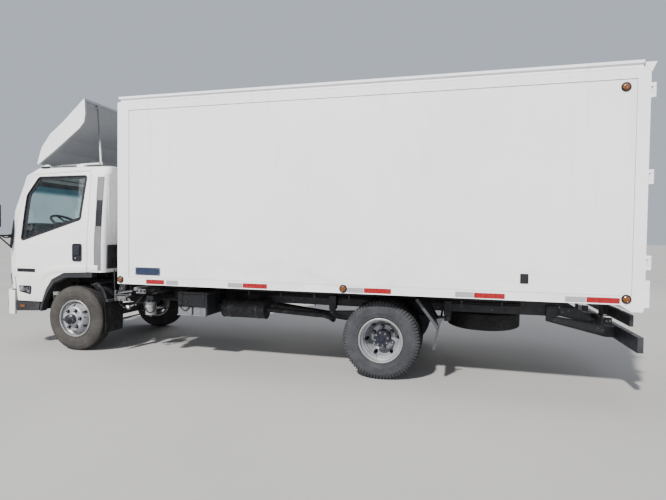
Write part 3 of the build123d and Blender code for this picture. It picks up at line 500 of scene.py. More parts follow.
    def band(s, loop, sections, surf, closed=True, mat=0, smooth=True, cap=False):
        """Strip along a flat outline: sections are (offset outwards, height above the surface); surf gives the 3-D point."""
        n = len(loop)
        area = sum(loop[i - 1][0] * loop[i][1] - loop[i][0] * loop[i - 1][1] for i in range(n))
        sign = 1.0 if area > 0 else -1.0
        normals = []
        for i in range(n):
            a = loop[i - 1] if closed or i else loop[0]
            b = loop[i]
            c = loop[(i + 1) % n] if closed or i < n - 1 else loop[-1]
            n1 = Vector((b[1] - a[1], -(b[0] - a[0])))
            n2 = Vector((c[1] - b[1], -(c[0] - b[0])))
            if n1.length < 1e-9:
                n1 = n2
            if n2.length < 1e-9:
                n2 = n1
            n1.normalize()
            n2.normalize()
            k = max(0.35, 1 + n1.dot(n2))
            normals.append((n1 + n2) / k * sign)
        m = len(sections)
        verts = []
        for i in range(n):
            for o, h in sections:
                verts.append(surf(loop[i][0] + normals[i].x * o, loop[i][1] + normals[i].y * o, h))
        faces = []
        for i in range(n if closed else n - 1):
            i2 = (i + 1) % n
            for j in range(m - 1):
                faces.append([i * m + j, i2 * m + j, i2 * m + j + 1, i * m + j + 1])
        if cap and not closed:
            faces.append(list(range(m)))
            faces.append([(n - 1) * m + j for j in range(m)][::-1])
        return s.add(verts, faces, mat, smooth)

    def plate(s, loop, surf, height, mat=0, edge=0.002, rings=1, depth=0.0):
        """Filled outline standing height above the surface, with a chamfered edge."""
        cx = sum(p[0] for p in loop) / len(loop)
        cz = sum(p[1] for p in loop) / len(loop)
        n = len(loop)
        rows = [(1.0, -depth, 0.0), (1.0, max(height - edge, 0.0), 0.0), (1.0, height, -edge)]
        verts = []
        for scale, h, o in rows:
            for i, (u, v) in enumerate(loop):
                du, dv = u - cx, v - cz
                length = math.hypot(du, dv)
                k = (length + o) / length if length > 1e-9 else 1.0
                verts.append(surf(cx + du * k, cz + dv * k, h))
        for q in range(1, rings):
            t = 1 - q / rings
            for u, v in loop:
                verts.append(surf(cx + (u - cx) * t, cz + (v - cz) * t, height))
        levels = 2 + rings
        faces = []
        for r in range(levels - 1):
            for i in range(n):
                k = (i + 1) % n
                faces.append([r * n + i, r * n + k, (r + 1) * n + k, (r + 1) * n + i])
        verts.append(surf(cx, cz, height))
        mid = len(verts) - 1
        for i in range(n):
            faces.append([(levels - 1) * n + i, (levels - 1) * n + (i + 1) % n, mid])
        return s.add(verts, faces, mat, False)

    def make(s, angle=35.0, weld=False):
        me = bpy.data.meshes.new(s.name)
        me.from_pydata([(x + SHIFT, y, z) for x, y, z in s.v], [], s.f)
        for m in s.mats:
            me.materials.append(m.m if isinstance(m, Mat) else m)
        me.polygons.foreach_set("material_index", s.k)
        me.polygons.foreach_set("use_smooth", s.smooth)
        me.validate()
        me.update()
        bm = bmesh.new()
        bm.from_mesh(me)
        if weld:
            bmesh.ops.remove_doubles(bm, verts=bm.verts, dist=1e-5)
        bmesh.ops.recalc_face_normals(bm, faces=bm.faces)
        bm.to_mesh(me)
        bm.free()
        me.set_sharp_from_angle(angle=math.radians(angle))
        o = bpy.data.objects.new(s.name, me)
        bpy.context.scene.collection.objects.link(o)
        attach(o, s.body)
        return o


import bmesh


def rounded(points, radii, step=8):
    """Flat outline with each corner rounded, as a list of points."""
    n = len(points)
    if not hasattr(radii, "__len__"):
        radii = [radii] * n
    out = []
    for i in range(n):
        p = Vector(points[i])
        a = Vector(points[i - 1]) - p
        b = Vector(points[(i + 1) % n]) - p
        la, lb = a.length, b.length
        a.normalize()
        b.normalize()
        half = math.acos(max(-1, min(1, a.dot(b)))) / 2
        r = radii[i]
        if r <= 0 or half > math.pi / 2 - 0.01:
            out.append(tuple(p))
            continue
        t = min(r / math.tan(half), la * 0.49, lb * 0.49)
        r = t * math.tan(half)
        c = p + (a + b).normalized() * (r / math.sin(half))
        s0, s1 = p + a * t - c, p + b * t - c
        a0, a1 = math.atan2(s0.y, s0.x), math.atan2(s1.y, s1.x)
        d = (a1 - a0 + math.pi) % (2 * math.pi) - math.pi
        k = max(2, int(step * abs(d) / (math.pi / 2)) + 1)
        for j in range(k + 1):
            ang = a0 + d * j / k
            out.append((c.x + r * math.cos(ang), c.y + r * math.sin(ang)))
    return out


def rect(x0, x1, z0, z1, r=0.01, step=6):
    return rounded([(x0, z0), (x1, z0), (x1, z1), (x0, z1)], r, step)


def dense(loop, gap=0.03):
    """The same outline with more points on its long runs, so that it follows a curved surface."""
    out = []
    for i in range(len(loop)):
        a, b = Vector(loop[i]), Vector(loop[(i + 1) % len(loop)])
        k = max(1, int((b - a).length / gap))
        for j in range(k):
            out.append(tuple(a.lerp(b, j / k)))
    return out


# the cab's outside: height, front, half width, front corner radius (metres, axle frame)
CAB = [(0.590, -1.040, 0.985, 0.240), (0.985, -1.066, 1.000, 0.250), (1.330, -1.070, 1.000, 0.250),
       (1.740, -1.026, 0.972, 0.240), (2.190, -0.868, 0.926, 0.220), (2.280, -0.740, 0.868, 0.190),
       (2.306, -0.600, 0.760, 0.160)]
CAB_REAR, REAR_R = 0.470, 0.070


def cab_row(z):
    if z <= CAB[0][0]:
        return CAB[0][1:]
    for a, b in zip(CAB, CAB[1:]):
        if z <= b[0]:
            t = (z - a[0]) / (b[0] - a[0])
            return tuple(p + (q - p) * t for p, q in zip(a[1:], b[1:]))
    return CAB[-1][1:]


def cab_side(sgn):
    """Surface function of the cab's side: (x, z, height above it) to a point."""

    def surf(x, z, h):
        front, half, rf = cab_row(z)
        y, nx, ny = half, 0.0, 1.0
        if x < front + rf:
            d = min(front + rf - x, rf * 0.999)
            ny = math.sqrt(max(1 - (d / rf) ** 2, 0.0))
            nx = -d / rf
            y = half - rf + rf * ny
        elif x > CAB_REAR - REAR_R:
            d = min(x - (CAB_REAR - REAR_R), REAR_R * 0.999)
            ny = math.sqrt(max(1 - (d / REAR_R) ** 2, 0.0))
            nx = d / REAR_R
            y = half - REAR_R + REAR_R * ny
        return (x + nx * h, sgn * (y + ny * h), z)

    return surf


def cab_front(y, z, h):
    """Surface function of the cab's front: (y, z, height) to a point; it wraps round the corners."""
    front, half, rf = cab_row(z)
    slope = (cab_row(z + 0.02)[0] - front) / 0.02
    k = 1 / math.sqrt(1 + slope * slope)
    edge = half - rf
    if abs(y) <= edge:
        return (front - h * k, y, z + h * slope * k)
    d = min(abs(y) - edge, rf * 0.999)
    c = math.sqrt(max(1 - (d / rf) ** 2, 0.0))
    x = front + rf - rf * c
    return (x - h * c * k, math.copysign(abs(y) + h * d / rf, y), z + h * slope * k * c)


def flat_side(sgn, y0=1.2):
    return lambda x, z, h: (x, sgn * (y0 + h), z)


def flat_rear(x0):
    return lambda y, z, h: (x0 + h, y, z)


def flat_front(x0):
    return lambda y, z, h: (x0 - h, y, z)


def grown(points, d):
    n, out = len(points), []
    area = sum(points[i - 1][0] * points[i][1] - points[i][0] * points[i - 1][1] for i in range(n))
    sign = 1 if area > 0 else -1
    for i in range(n):
        (ax, ay), (bx, by), (cx, cy) = points[i - 1], points[i], points[(i + 1) % n]
        n1, n2 = Vector((by - ay, ax - bx)).normalized(), Vector((cy - by, bx - cx)).normalized()
        k = 1 + n1.dot(n2)
        out.append((bx + sign * (n1.x + n2.x) / k * d, by + sign * (n1.y + n2.y) / k * d))
    return out


# ------------------------------------------------------------------ the materials in use
BOX = box_paint()
CABP = paint("cab_white", (0.82, 0.82, 0.81), (0.775, 0.775, 0.77), rough=0.26, coat=0.45, dust_z=(0.4, 1.25),
             dust_amount=0.42, grime=0.05)
BUMP = paint("bumper_white", (0.80, 0.80, 0.79), (0.73, 0.73, 0.72), rough=0.4, coat=0.2, dust_z=(0.35, 0.8),
             dust_amount=0.45, grime=0.12)
BLACK = rolled_black("chassis_black", (0.010, 0.0115, 0.017), (0.060, 0.056, 0.052), 0.42)
# painted light: a lighter copy of the chassis black for the underrun bar's caps and arm plates, whose faces are lit
BRIGHTBLACK = rolled_black("lit_black_copy", (0.020, 0.022, 0.027), (0.075, 0.072, 0.070), 0.5)
IRON = rolled_black("cast_iron", (0.030, 0.030, 0.033), (0.085, 0.075, 0.066), 0.6)
TRIM = plastic("black_plastic", (0.011, 0.0115, 0.014), dust=(0.11, 0.105, 0.10), amount=0.16)
TRIM_DARK = plastic("window_black", (0.005, 0.0055, 0.009), rough=0.3, strength=0.03, dust=(0.08, 0.08, 0.085), amount=0.06)
NAVY = plastic("handle_dark", (0.007, 0.008, 0.016), rough=0.32, strength=0.05, dust=(0.09, 0.09, 0.1), amount=0.08)
RUB = rubber("rubber_black", (0.010, 0.010, 0.012), 0.16)
MUD = rubber("mudflap_rubber", (0.008, 0.0085, 0.011), 0.22)
ZINC = metal("zinc_bolt", (0.46, 0.46, 0.44), 0.38)
STEEL = metal("bare_steel", (0.50, 0.50, 0.50), 0.32, amount=0.3)
DULL = metal("dull_alloy", (0.30, 0.30, 0.31), 0.45, amount=0.55)
EXH = metal("exhaust_steel", (0.060, 0.062, 0.070), 0.55, dirt=(0.030, 0.024, 0.021), amount=0.6)
CHROME = metal("chrome", (0.78, 0.79, 0.80), 0.09, amount=0.12)
MIRROR = metal("mirror_glass", (0.82, 0.84, 0.85), 0.03, amount=0.06)
TYRE_F = tyre_mat("tyre_front", (0.034, 0.032, 0.030), (0.057, 0.052, 0.048))
TYRE_R = tyre_mat("tyre_rear", (0.029, 0.031, 0.035), (0.050, 0.052, 0.056))
TREAD = tyre_mat("tyre_tread", (0.017, 0.017, 0.018), (0.040, 0.038, 0.036))
GLASS = clear_glass("window_glass")
SCREEN = clear_glass("windscreen_glass", (0.86, 0.94, 0.92), band=(1.97, 2.04))
SEAT = fabric("seat_fabric", (0.045, 0.048, 0.055), (0.13, 0.135, 0.15))
SEAT_SIDE = fabric("seat_side_vinyl", (0.03, 0.031, 0.034), (0.055, 0.056, 0.06), 700.0)
DASH = plastic("dashboard_grey", (0.085, 0.088, 0.095), rough=0.6, grain=420.0, amount=0.18)
LINING = plastic("cab_lining", (0.32, 0.32, 0.31), rough=0.8, grain=520.0, amount=0.1)
MAT = rubber("floor_mat", (0.04, 0.04, 0.04), 0.6)


def floor_wood():
    m = Mat("floor_board", rough=0.6)
    grain = m.noise(7.0, 6.0, 0.65, stretch=(0.08, 1.6, 1.6), warp=0.8)
    col = m.mix(m.between(grain, 0.3, 0.7), (0.30, 0.20, 0.11), (0.18, 0.115, 0.065))
    plank = m.wave(1.15, "Y", stretch=(1, 1, 1))
    col = m.mix(m.math("MULTIPLY", m.between(plank, 0.0, 0.04, 1.0, 0.0), 0.8), col, (0.03, 0.02, 0.015))
    scuff = m.between(m.noise(9.0, 6.0, 0.75), 0.55, 0.72)
    m.color(m.mix(m.math("MULTIPLY", scuff, 0.4), col, (0.36, 0.31, 0.25)))
    m.roughness(m.between(m.noise(20.0, 4.0), 0.3, 0.7, 0.45, 0.75))
    m.bump(grain, 0.2, 0.002)
    return m


def tape(name, base, second):
    """Retroreflective tape: fine hexagonal cells under a clear film, slightly lifted and dusty."""
    m = Mat(name, rough=0.32, coat=0.14, coat_rough=0.2)
    cell = m.cells(230.0, "DISTANCE_TO_EDGE", randomness=0.15)
    col = m.mix(m.between(cell, 0.0, 0.12), second, base)
    dust = m.math("MULTIPLY", m.between(m.noise(20.0, 6.0, 0.7), 0.45, 0.75), 0.05)
    m.color(m.mix(dust, col, (0.36, 0.33, 0.30)))
    m.roughness(m.between(m.noise(30.0, 3.0), 0.3, 0.7, 0.18, 0.4))
    m.bump(cell, 0.1, 0.0006)
    return m


def lens(name, base, deep, ribs=None, rough=0.12):
    """Moulded lamp lens: deep colour with brighter ribs, under a clear gloss."""
    m = Mat(name, rough=rough, coat=0.35, coat_rough=0.06)
    pat = m.wave(ribs[0], ribs[1]) if ribs else m.noise(40.0, 2.0)
    col = m.mix(m.between(pat, 0.2, 0.9), deep, base)
    d = m.math("MULTIPLY", m.between(m.noise(25.0, 6.0, 0.7), 0.5, 0.75), 0.18)
    m.color(m.mix(d, col, (0.34, 0.3, 0.27)))
    m.roughness(m.between(m.noise(18.0, 3.0), 0.3, 0.7, rough, rough + 0.12))
    m.bump(pat, 0.25, 0.0015)
    return m


WOOD = floor_wood()
TAPE_RED = tape("tape_red", (0.27, 0.0006, 0.003), (0.205, 0.0004, 0.002))
TAPE_WHITE = tape("tape_white", (0.33, 0.33, 0.35), (0.22, 0.225, 0.24))
AMBER = lens("lens_amber", (0.20, 0.060, 0.003), (0.085, 0.022, 0.001), (60.0, "DIAGONAL"))
RED = lens("lens_red", (0.36, 0.005, 0.007), (0.14, 0.002, 0.004), (55.0, "Y"))
CLEAR = lens("lens_clear", (0.34, 0.355, 0.38), (0.15, 0.16, 0.18), (45.0, "Z"), 0.08)
SMOKE = lens("lens_smoke", (0.17, 0.178, 0.19), (0.045, 0.048, 0.055), (45.0, "Z"), 0.1)
PLATE_BLUE = paint("plate_blue", (0.006, 0.020, 0.058), (0.004, 0.015, 0.045), rough=0.4, coat=0.08, dust=(0.10, 0.11, 0.13), dust_amount=0.12, grime=0.3)
PLATE_WHITE = paint("plate_blank", (0.7, 0.7, 0.68), (0.62, 0.62, 0.6), rough=0.4, coat=0.1, dust_amount=0.4, grime=0.3)


def deflector_paint():
    """White outside, grey inside: the inside is picked by the way the surface faces."""
    m = Mat("deflector_paint", rough=0.34, coat=0.25, coat_rough=0.2)
    n = m.t.nodes.new("ShaderNodeSeparateXYZ")
    m.link(m.nor, n.inputs[0])
    side = m.math("MULTIPLY", n.outputs[1], m.math("SIGN", m.y))
    shell = m.dot(m.nor, (-0.72, 0.0, 0.69))
    outside = m.between(m.math("MAXIMUM", side, shell), 0.25, 0.35)
    white = m.mix(m.between(m.noise(2.0, 3.0), 0.3, 0.7), (0.81, 0.81, 0.80), (0.74, 0.74, 0.735))
    fibre = m.noise(50.0, 6.0, 0.75, warp=1.0)
    grey = m.mix(m.between(fibre, 0.3, 0.7), (0.235, 0.242, 0.256), (0.275, 0.282, 0.296))
    stain = m.between(m.noise(4.0, 6.0, 0.7), 0.5, 0.75)
    grey = m.mix(m.math("MULTIPLY", stain, 0.22), grey, (0.17, 0.168, 0.165))
    m.color(m.mix(outside, grey, white))
    m.roughness(m.mix(outside, (0.62, 0.62, 0.62), (0.34, 0.34, 0.34)))
    m.bump(m.math("MULTIPLY", fibre, m.math("SUBTRACT", 1.0, outside)), 0.3, 0.004)
    return m


DEFLECT = deflector_paint()


def stay_white_with_painted_shade():
    """White tube, with painted shade: dark grey on the upper part of the upright, for the deflector's shadow."""
    m = Mat("stay_white_with_painted_shade", rough=0.4, coat=0.15, coat_rough=0.2)
    # painted shade: above about 2.6 m the tube turns dark grey, standing in for the shadow the deflector casts on it
    high = m.between(m.z, 2.58, 2.66)
    col = m.mix(m.between(m.noise(6.0, 4.0), 0.3, 0.7), (0.80, 0.80, 0.79), (0.72, 0.72, 0.71))
    painted_shade = m.mix(m.between(m.noise(9.0, 4.0), 0.3, 0.7), (0.115, 0.12, 0.13), (0.15, 0.155, 0.165))
    m.color(m.mix(high, col, painted_shade))
    m.roughness(m.between(m.noise(30.0, 3.0), 0.3, 0.7, 0.34, 0.5))
    m.bump(m.noise(120.0, 3.0), 0.08, 0.001)
    return m


STAY_M = stay_white_with_painted_shade()
GREY = plastic("deflector_grey", (0.235, 0.242, 0.256), rough=0.6, grain=180.0)
RIM_FL = silver_wheel("wheel_front", SHIFT, 0.4025, 0.0635)
RIM_R = silver_wheel("wheel_rear", SHIFT + 3.845, 0.4025, 0.0812, rear=True)


def spare_mat():
    m = Mat("spare_wheel", rough=0.8, spec=0.3)
    dx = m.math("SUBTRACT", m.x, SHIFT + 4.89)
    r = m.math("SQRT", m.math("ADD", m.math("MULTIPLY", dx, dx), m.math("MULTIPLY", m.y, m.y)))
    steel = m.between(r, 0.2295, 0.2305, 1.0, 0.0)
    tyre = m.mix(m.between(m.noise(6.0, 5.0), 0.3, 0.7), (0.013, 0.013, 0.015), (0.028, 0.027, 0.026))
    silver = m.mix(m.between(m.noise(12.0, 5.0), 0.3, 0.7), (0.30, 0.30, 0.31), (0.19, 0.18, 0.17))
    m.color(m.mix(steel, tyre, silver))
    m.roughness(m.between(m.noise(30.0, 4.0), 0.3, 0.7, 0.6, 0.9))
    m.bump(m.noise(120.0, 4.0, 0.7), 0.25, 0.002)
    return m


SPARE = spare_mat()

# ------------------------------------------------------------------ finishes of the CAD nodes
FINISH = {
    "box_front_wall": BOX, "box_left_wall": BOX, "box_right_wall": BOX, "box_roof": BOX, "box_rear_frame": BOX,
    "rear_door_left": BOX, "rear_door_right": BOX, "cab_roof": CABP, "cab_back_panel": CABP,
    "cab_front_panel": CABP, "cab_pillars": CABP, "cab_door_left": CABP, "cab_door_right": CABP,
    "front_bumper": BUMP, "roof_deflector": DEFLECT, "deflector_stays": STAY_M, "chassis_frame": BLACK,
    "chassis_crossmembers": BLACK, "cab_rear_stay": BLACK, "front_axle_beam": IRON, "leaf_springs": BLACK,
    "rear_axle": IRON, "propeller_shaft": BLACK, "battery_box": BLACK, "air_tanks": BLACK,
    "rear_underrun_bar": BLACK, "spare_wheel_carrier": BLACK, "box_subframe": BLACK, "box_sills": BLACK,
    "knuckle_left": IRON, "knuckle_right": IRON, "tie_rod": BLACK, "fuel_tank": BLACK, "engine_block": IRON,
    "exhaust_muffler": EXH, "wheel_arch_trims": TRIM, "cab_steps": TRIM, "mirrors": TRIM,
    "rear_mudguards": MUD, "dashboard": DASH, "steering_wheel": TRIM, "cab_floor": MAT, "box_floor": WOOD,
    "cab_glass": SCREEN, "door_glass_left": GLASS, "door_glass_right": GLASS, "headlamps": CLEAR,
    "tail_lamps": RED, "side_marker_lamps": AMBER, "spare_wheel": SPARE, "rim_front_left": RIM_FL,
    "rim_front_right": RIM_FL, "rims_rear_left": RIM_R, "rims_rear_right": RIM_R, "tyre_front_left": TYRE_F,
    "tyre_front_right": TYRE_F, "tyres_rear_left": TYRE_R, "tyres_rear_right": TYRE_R, "driver_seat": SEAT,
    "passenger_seat": SEAT,
}
for name, node in NODES.items():
    mat = FINISH[name].m if name in FINISH else BLACK.m
    if not node.data.materials:
        node.data.materials.append(mat)
    for i in range(len(node.data.materials)):
        node.data.materials[i] = mat

# ------------------------------------------------------------------ studio
def stage_mat(name, base, second):
    m = Mat(name, rough=0.9, spec=0.2)
    m.color(m.mix(m.between(m.noise(0.35, 3.0), 0.3, 0.7), base, second))
    m.bump(m.noise(60.0, 3.0), 0.05, 0.002)
    return m


floor_mesh = bpy.data.meshes.new("studio_floor")
F = 160.0
floor_mesh.from_pydata([(-F, -F, 0), (F, -F, 0), (F, F, 0), (-F, F, 0)], [], [[0, 1, 2, 3]])
floor_mesh.materials.append(stage_mat("studio_floor", (0.37, 0.362, 0.349), (0.345, 0.338, 0.327)).m)
floor_obj = bpy.data.objects.new("studio_floor", floor_mesh)
bpy.context.scene.collection.objects.link(floor_obj)

world = bpy.data.worlds.new("studio")
bpy.context.scene.world = world
world.use_nodes = True
bg = world.node_tree.nodes["Background"]
bg.inputs[0].default_value = (0.60, 0.66, 0.76, 1)
bg.inputs[1].default_value = 0.84


def area(name, at, aim, size, power, color=(1, 1, 1)):
    d = bpy.data.lights.new(name, "AREA")
    d.shape = "RECTANGLE"
    d.size, d.size_y = size
    d.energy = power
    d.color = color
    o = bpy.data.objects.new(name, d)
    bpy.context.scene.collection.objects.link(o)
    o.location = at
    o.rotation_mode = "QUATERNION"
    o.rotation_quaternion = (Vector(aim) - Vector(at)).to_track_quat("-Z", "Y")
    return o


sun = bpy.data.lights.new("key", "SUN")
sun.energy = 7.0
sun.angle = math.radians(3)
sun.color = (1.0, 0.975, 0.94)
sun_o = bpy.data.objects.new("key", sun)
bpy.context.scene.collection.objects.link(sun_o)
sun_o.rotation_mode = "QUATERNION"
sun_o.rotation_quaternion = Vector((0.30, 1.02, -1.0)).to_track_quat("-Z", "Y")
area("fill_left", (-5.5, -9.0, 4.5), (0, 0, 1.2), (7, 4), 260, (0.95, 0.97, 1.0))
area("fill_right", (7.5, -9.0, 3.5), (1, 0, 1.0), (6, 4), 150, (0.95, 0.97, 1.0))
area("rim_back", (2.0, 9.0, 6.0), (0, 0, 1.5), (10, 4), 320, (1.0, 0.98, 0.95))


# ------------------------------------------------------------------ tyres
def make_tyre(name, body, cx, cy, out, kind, node=None, cz=0.4025, mat=None):
    """Tyre with tread and side rings. kind: rib for the steered wheels, block for the driven ones."""
    lugs = 72
    steps = [(0.0, 1.0), (0.56, 1.0), (0.62, 0.0), (0.94, 0.0)] if kind == "block" else [
        (0.0, 1.0), (0.74, 1.0), (0.78, 0.0), (0.96, 0.0)]
    half = [  # radius, offset from the middle, role: s side, b shoulder block, t tread, g groove
        (0.222, 0.080, "s"), (0.224, 0.086, "s"), (0.2315, 0.0905, "s"), (0.238, 0.0935, "s"), (0.241, 0.0985, "s"),
        (0.247, 0.0995, "s"), (0.250, 0.0975, "s"), (0.262, 0.1005, "s"), (0.280, 0.1040, "s"), (0.284, 0.1054, "s"),
        (0.287, 0.1046, "s"), (0.302, 0.1062, "s"), (0.322, 0.1062, "s"), (0.336, 0.1046, "s"), (0.340, 0.1052, "s"),
        (0.344, 0.1034, "s"), (0.352, 0.1018, "s"), (0.360, 0.0990, "b"), (0.372, 0.0945, "b"), (0.384, 0.0890, "b"),
        (0.393, 0.0835, "b"), (0.3985, 0.0765, "b"), (0.4008, 0.0690, "b"), (0.4013, 0.0560, "b"),
        (0.4016, 0.0505, "t"), (0.3925, 0.0485, "g"), (0.3925, 0.0415, "g"), (0.4018, 0.0395, "t"),
        (0.4023, 0.0215, "t"), (0.3925, 0.0195, "g"), (0.3925, 0.0125, "g"), (0.4024, 0.0105, "t"), (0.4025, 0.0, "t"),
    ]
    row = [(r, w, k) for r, w, k in half] + [(r, -w, k) for r, w, k in half[-2::-1]]
    m = len(row)
    verts, faces = [], []
    stations = [(i, t, up) for i in range(lugs) for t, up in steps]
    for i, t, up in stations:
        a = 2 * math.pi * (i + t) / lugs
        for j, (r, w, k) in enumerate(row):
            rr, ww, aa = r, w, a
            if k == "b":
                depth = (0.0105 if kind == "block" else 0.0035) * min(1.0, (r - 0.352) / 0.03)
                rr = r - depth * (1 - up)
                ww = w - math.copysign(depth * 0.35 * (1 - up), w) if abs(w) > 0.06 else w
                aa = a + (0.006 if w > 0 else -0.006) * (0 if kind == "block" else 1)
            elif k == "t" and kind == "block" and abs(w) > 0.03:
                rr = r - 0.006 * (1 - up)
            if k in "tg" and 0.005 < abs(w) < 0.06:
                ww = w + 0.0028 * (1 if i % 2 else -1) * (1 if t < 0.6 else -1 if kind == "block" else 1)
            verts.append((cx + rr * math.cos(aa), cy + ww, cz + rr * math.sin(aa)))
    n = len(stations)
    for i in range(n):
        i2 = (i + 1) % n
        for j in range(m - 1):
            faces.append([i * m + j, i * m + j + 1, i2 * m + j + 1, i2 * m + j])
    p = Piece(name, body, mat or (TYRE_F if kind == "rib" else TYRE_R), TREAD)
    p.add(verts, faces, 0, True)
    p.k = [1 if row[f % (m - 1)][2] in "tg" or row[f % (m - 1) + 1][2] in "tg" else 0 for f in range(len(faces))]
    # small raised dashes on the side, where a real tyre has its markings; they say nothing
    for sgn in (-1, 1):
        for i in range(10):
            a = 2 * math.pi * i / 10 + 0.2
            for q in range(3):
                b = a + q * 0.045
                c = Vector((cx + 0.312 * math.cos(b), cy + sgn * 0.1066, cz + 0.312 * math.sin(b)))
                rot = Matrix.Rotation(-b, 3, "Y")
                p.box((c.x - 0.005, c.x + 0.005), (c.y - 0.0008, c.y + 0.0008), (c.z - 0.0035, c.z + 0.0035), 0.0004,
                      0, rot)
    o = p.make(28.0)
    return o


make_tyre("tyre_tread_front_left", "wheel_front_left", 0.0, -0.84, -1, "rib")
make_tyre("tyre_tread_front_right", "wheel_front_right", 0.0, 0.84, 1, "rib")
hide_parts("tyre_front_left")
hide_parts("tyre_front_right")
for side, s in (("left", -1), ("right", 1)):
    for where, y in (("outer", 0.825 + 0.131), ("inner", 0.825 - 0.131)):
        o = make_tyre(f"tyre_tread_rear_{side}_{where}", f"wheels_rear_{side}", 3.845, s * y, s, "block")
        if where == "outer":
            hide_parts(f"tyres_rear_{side}")

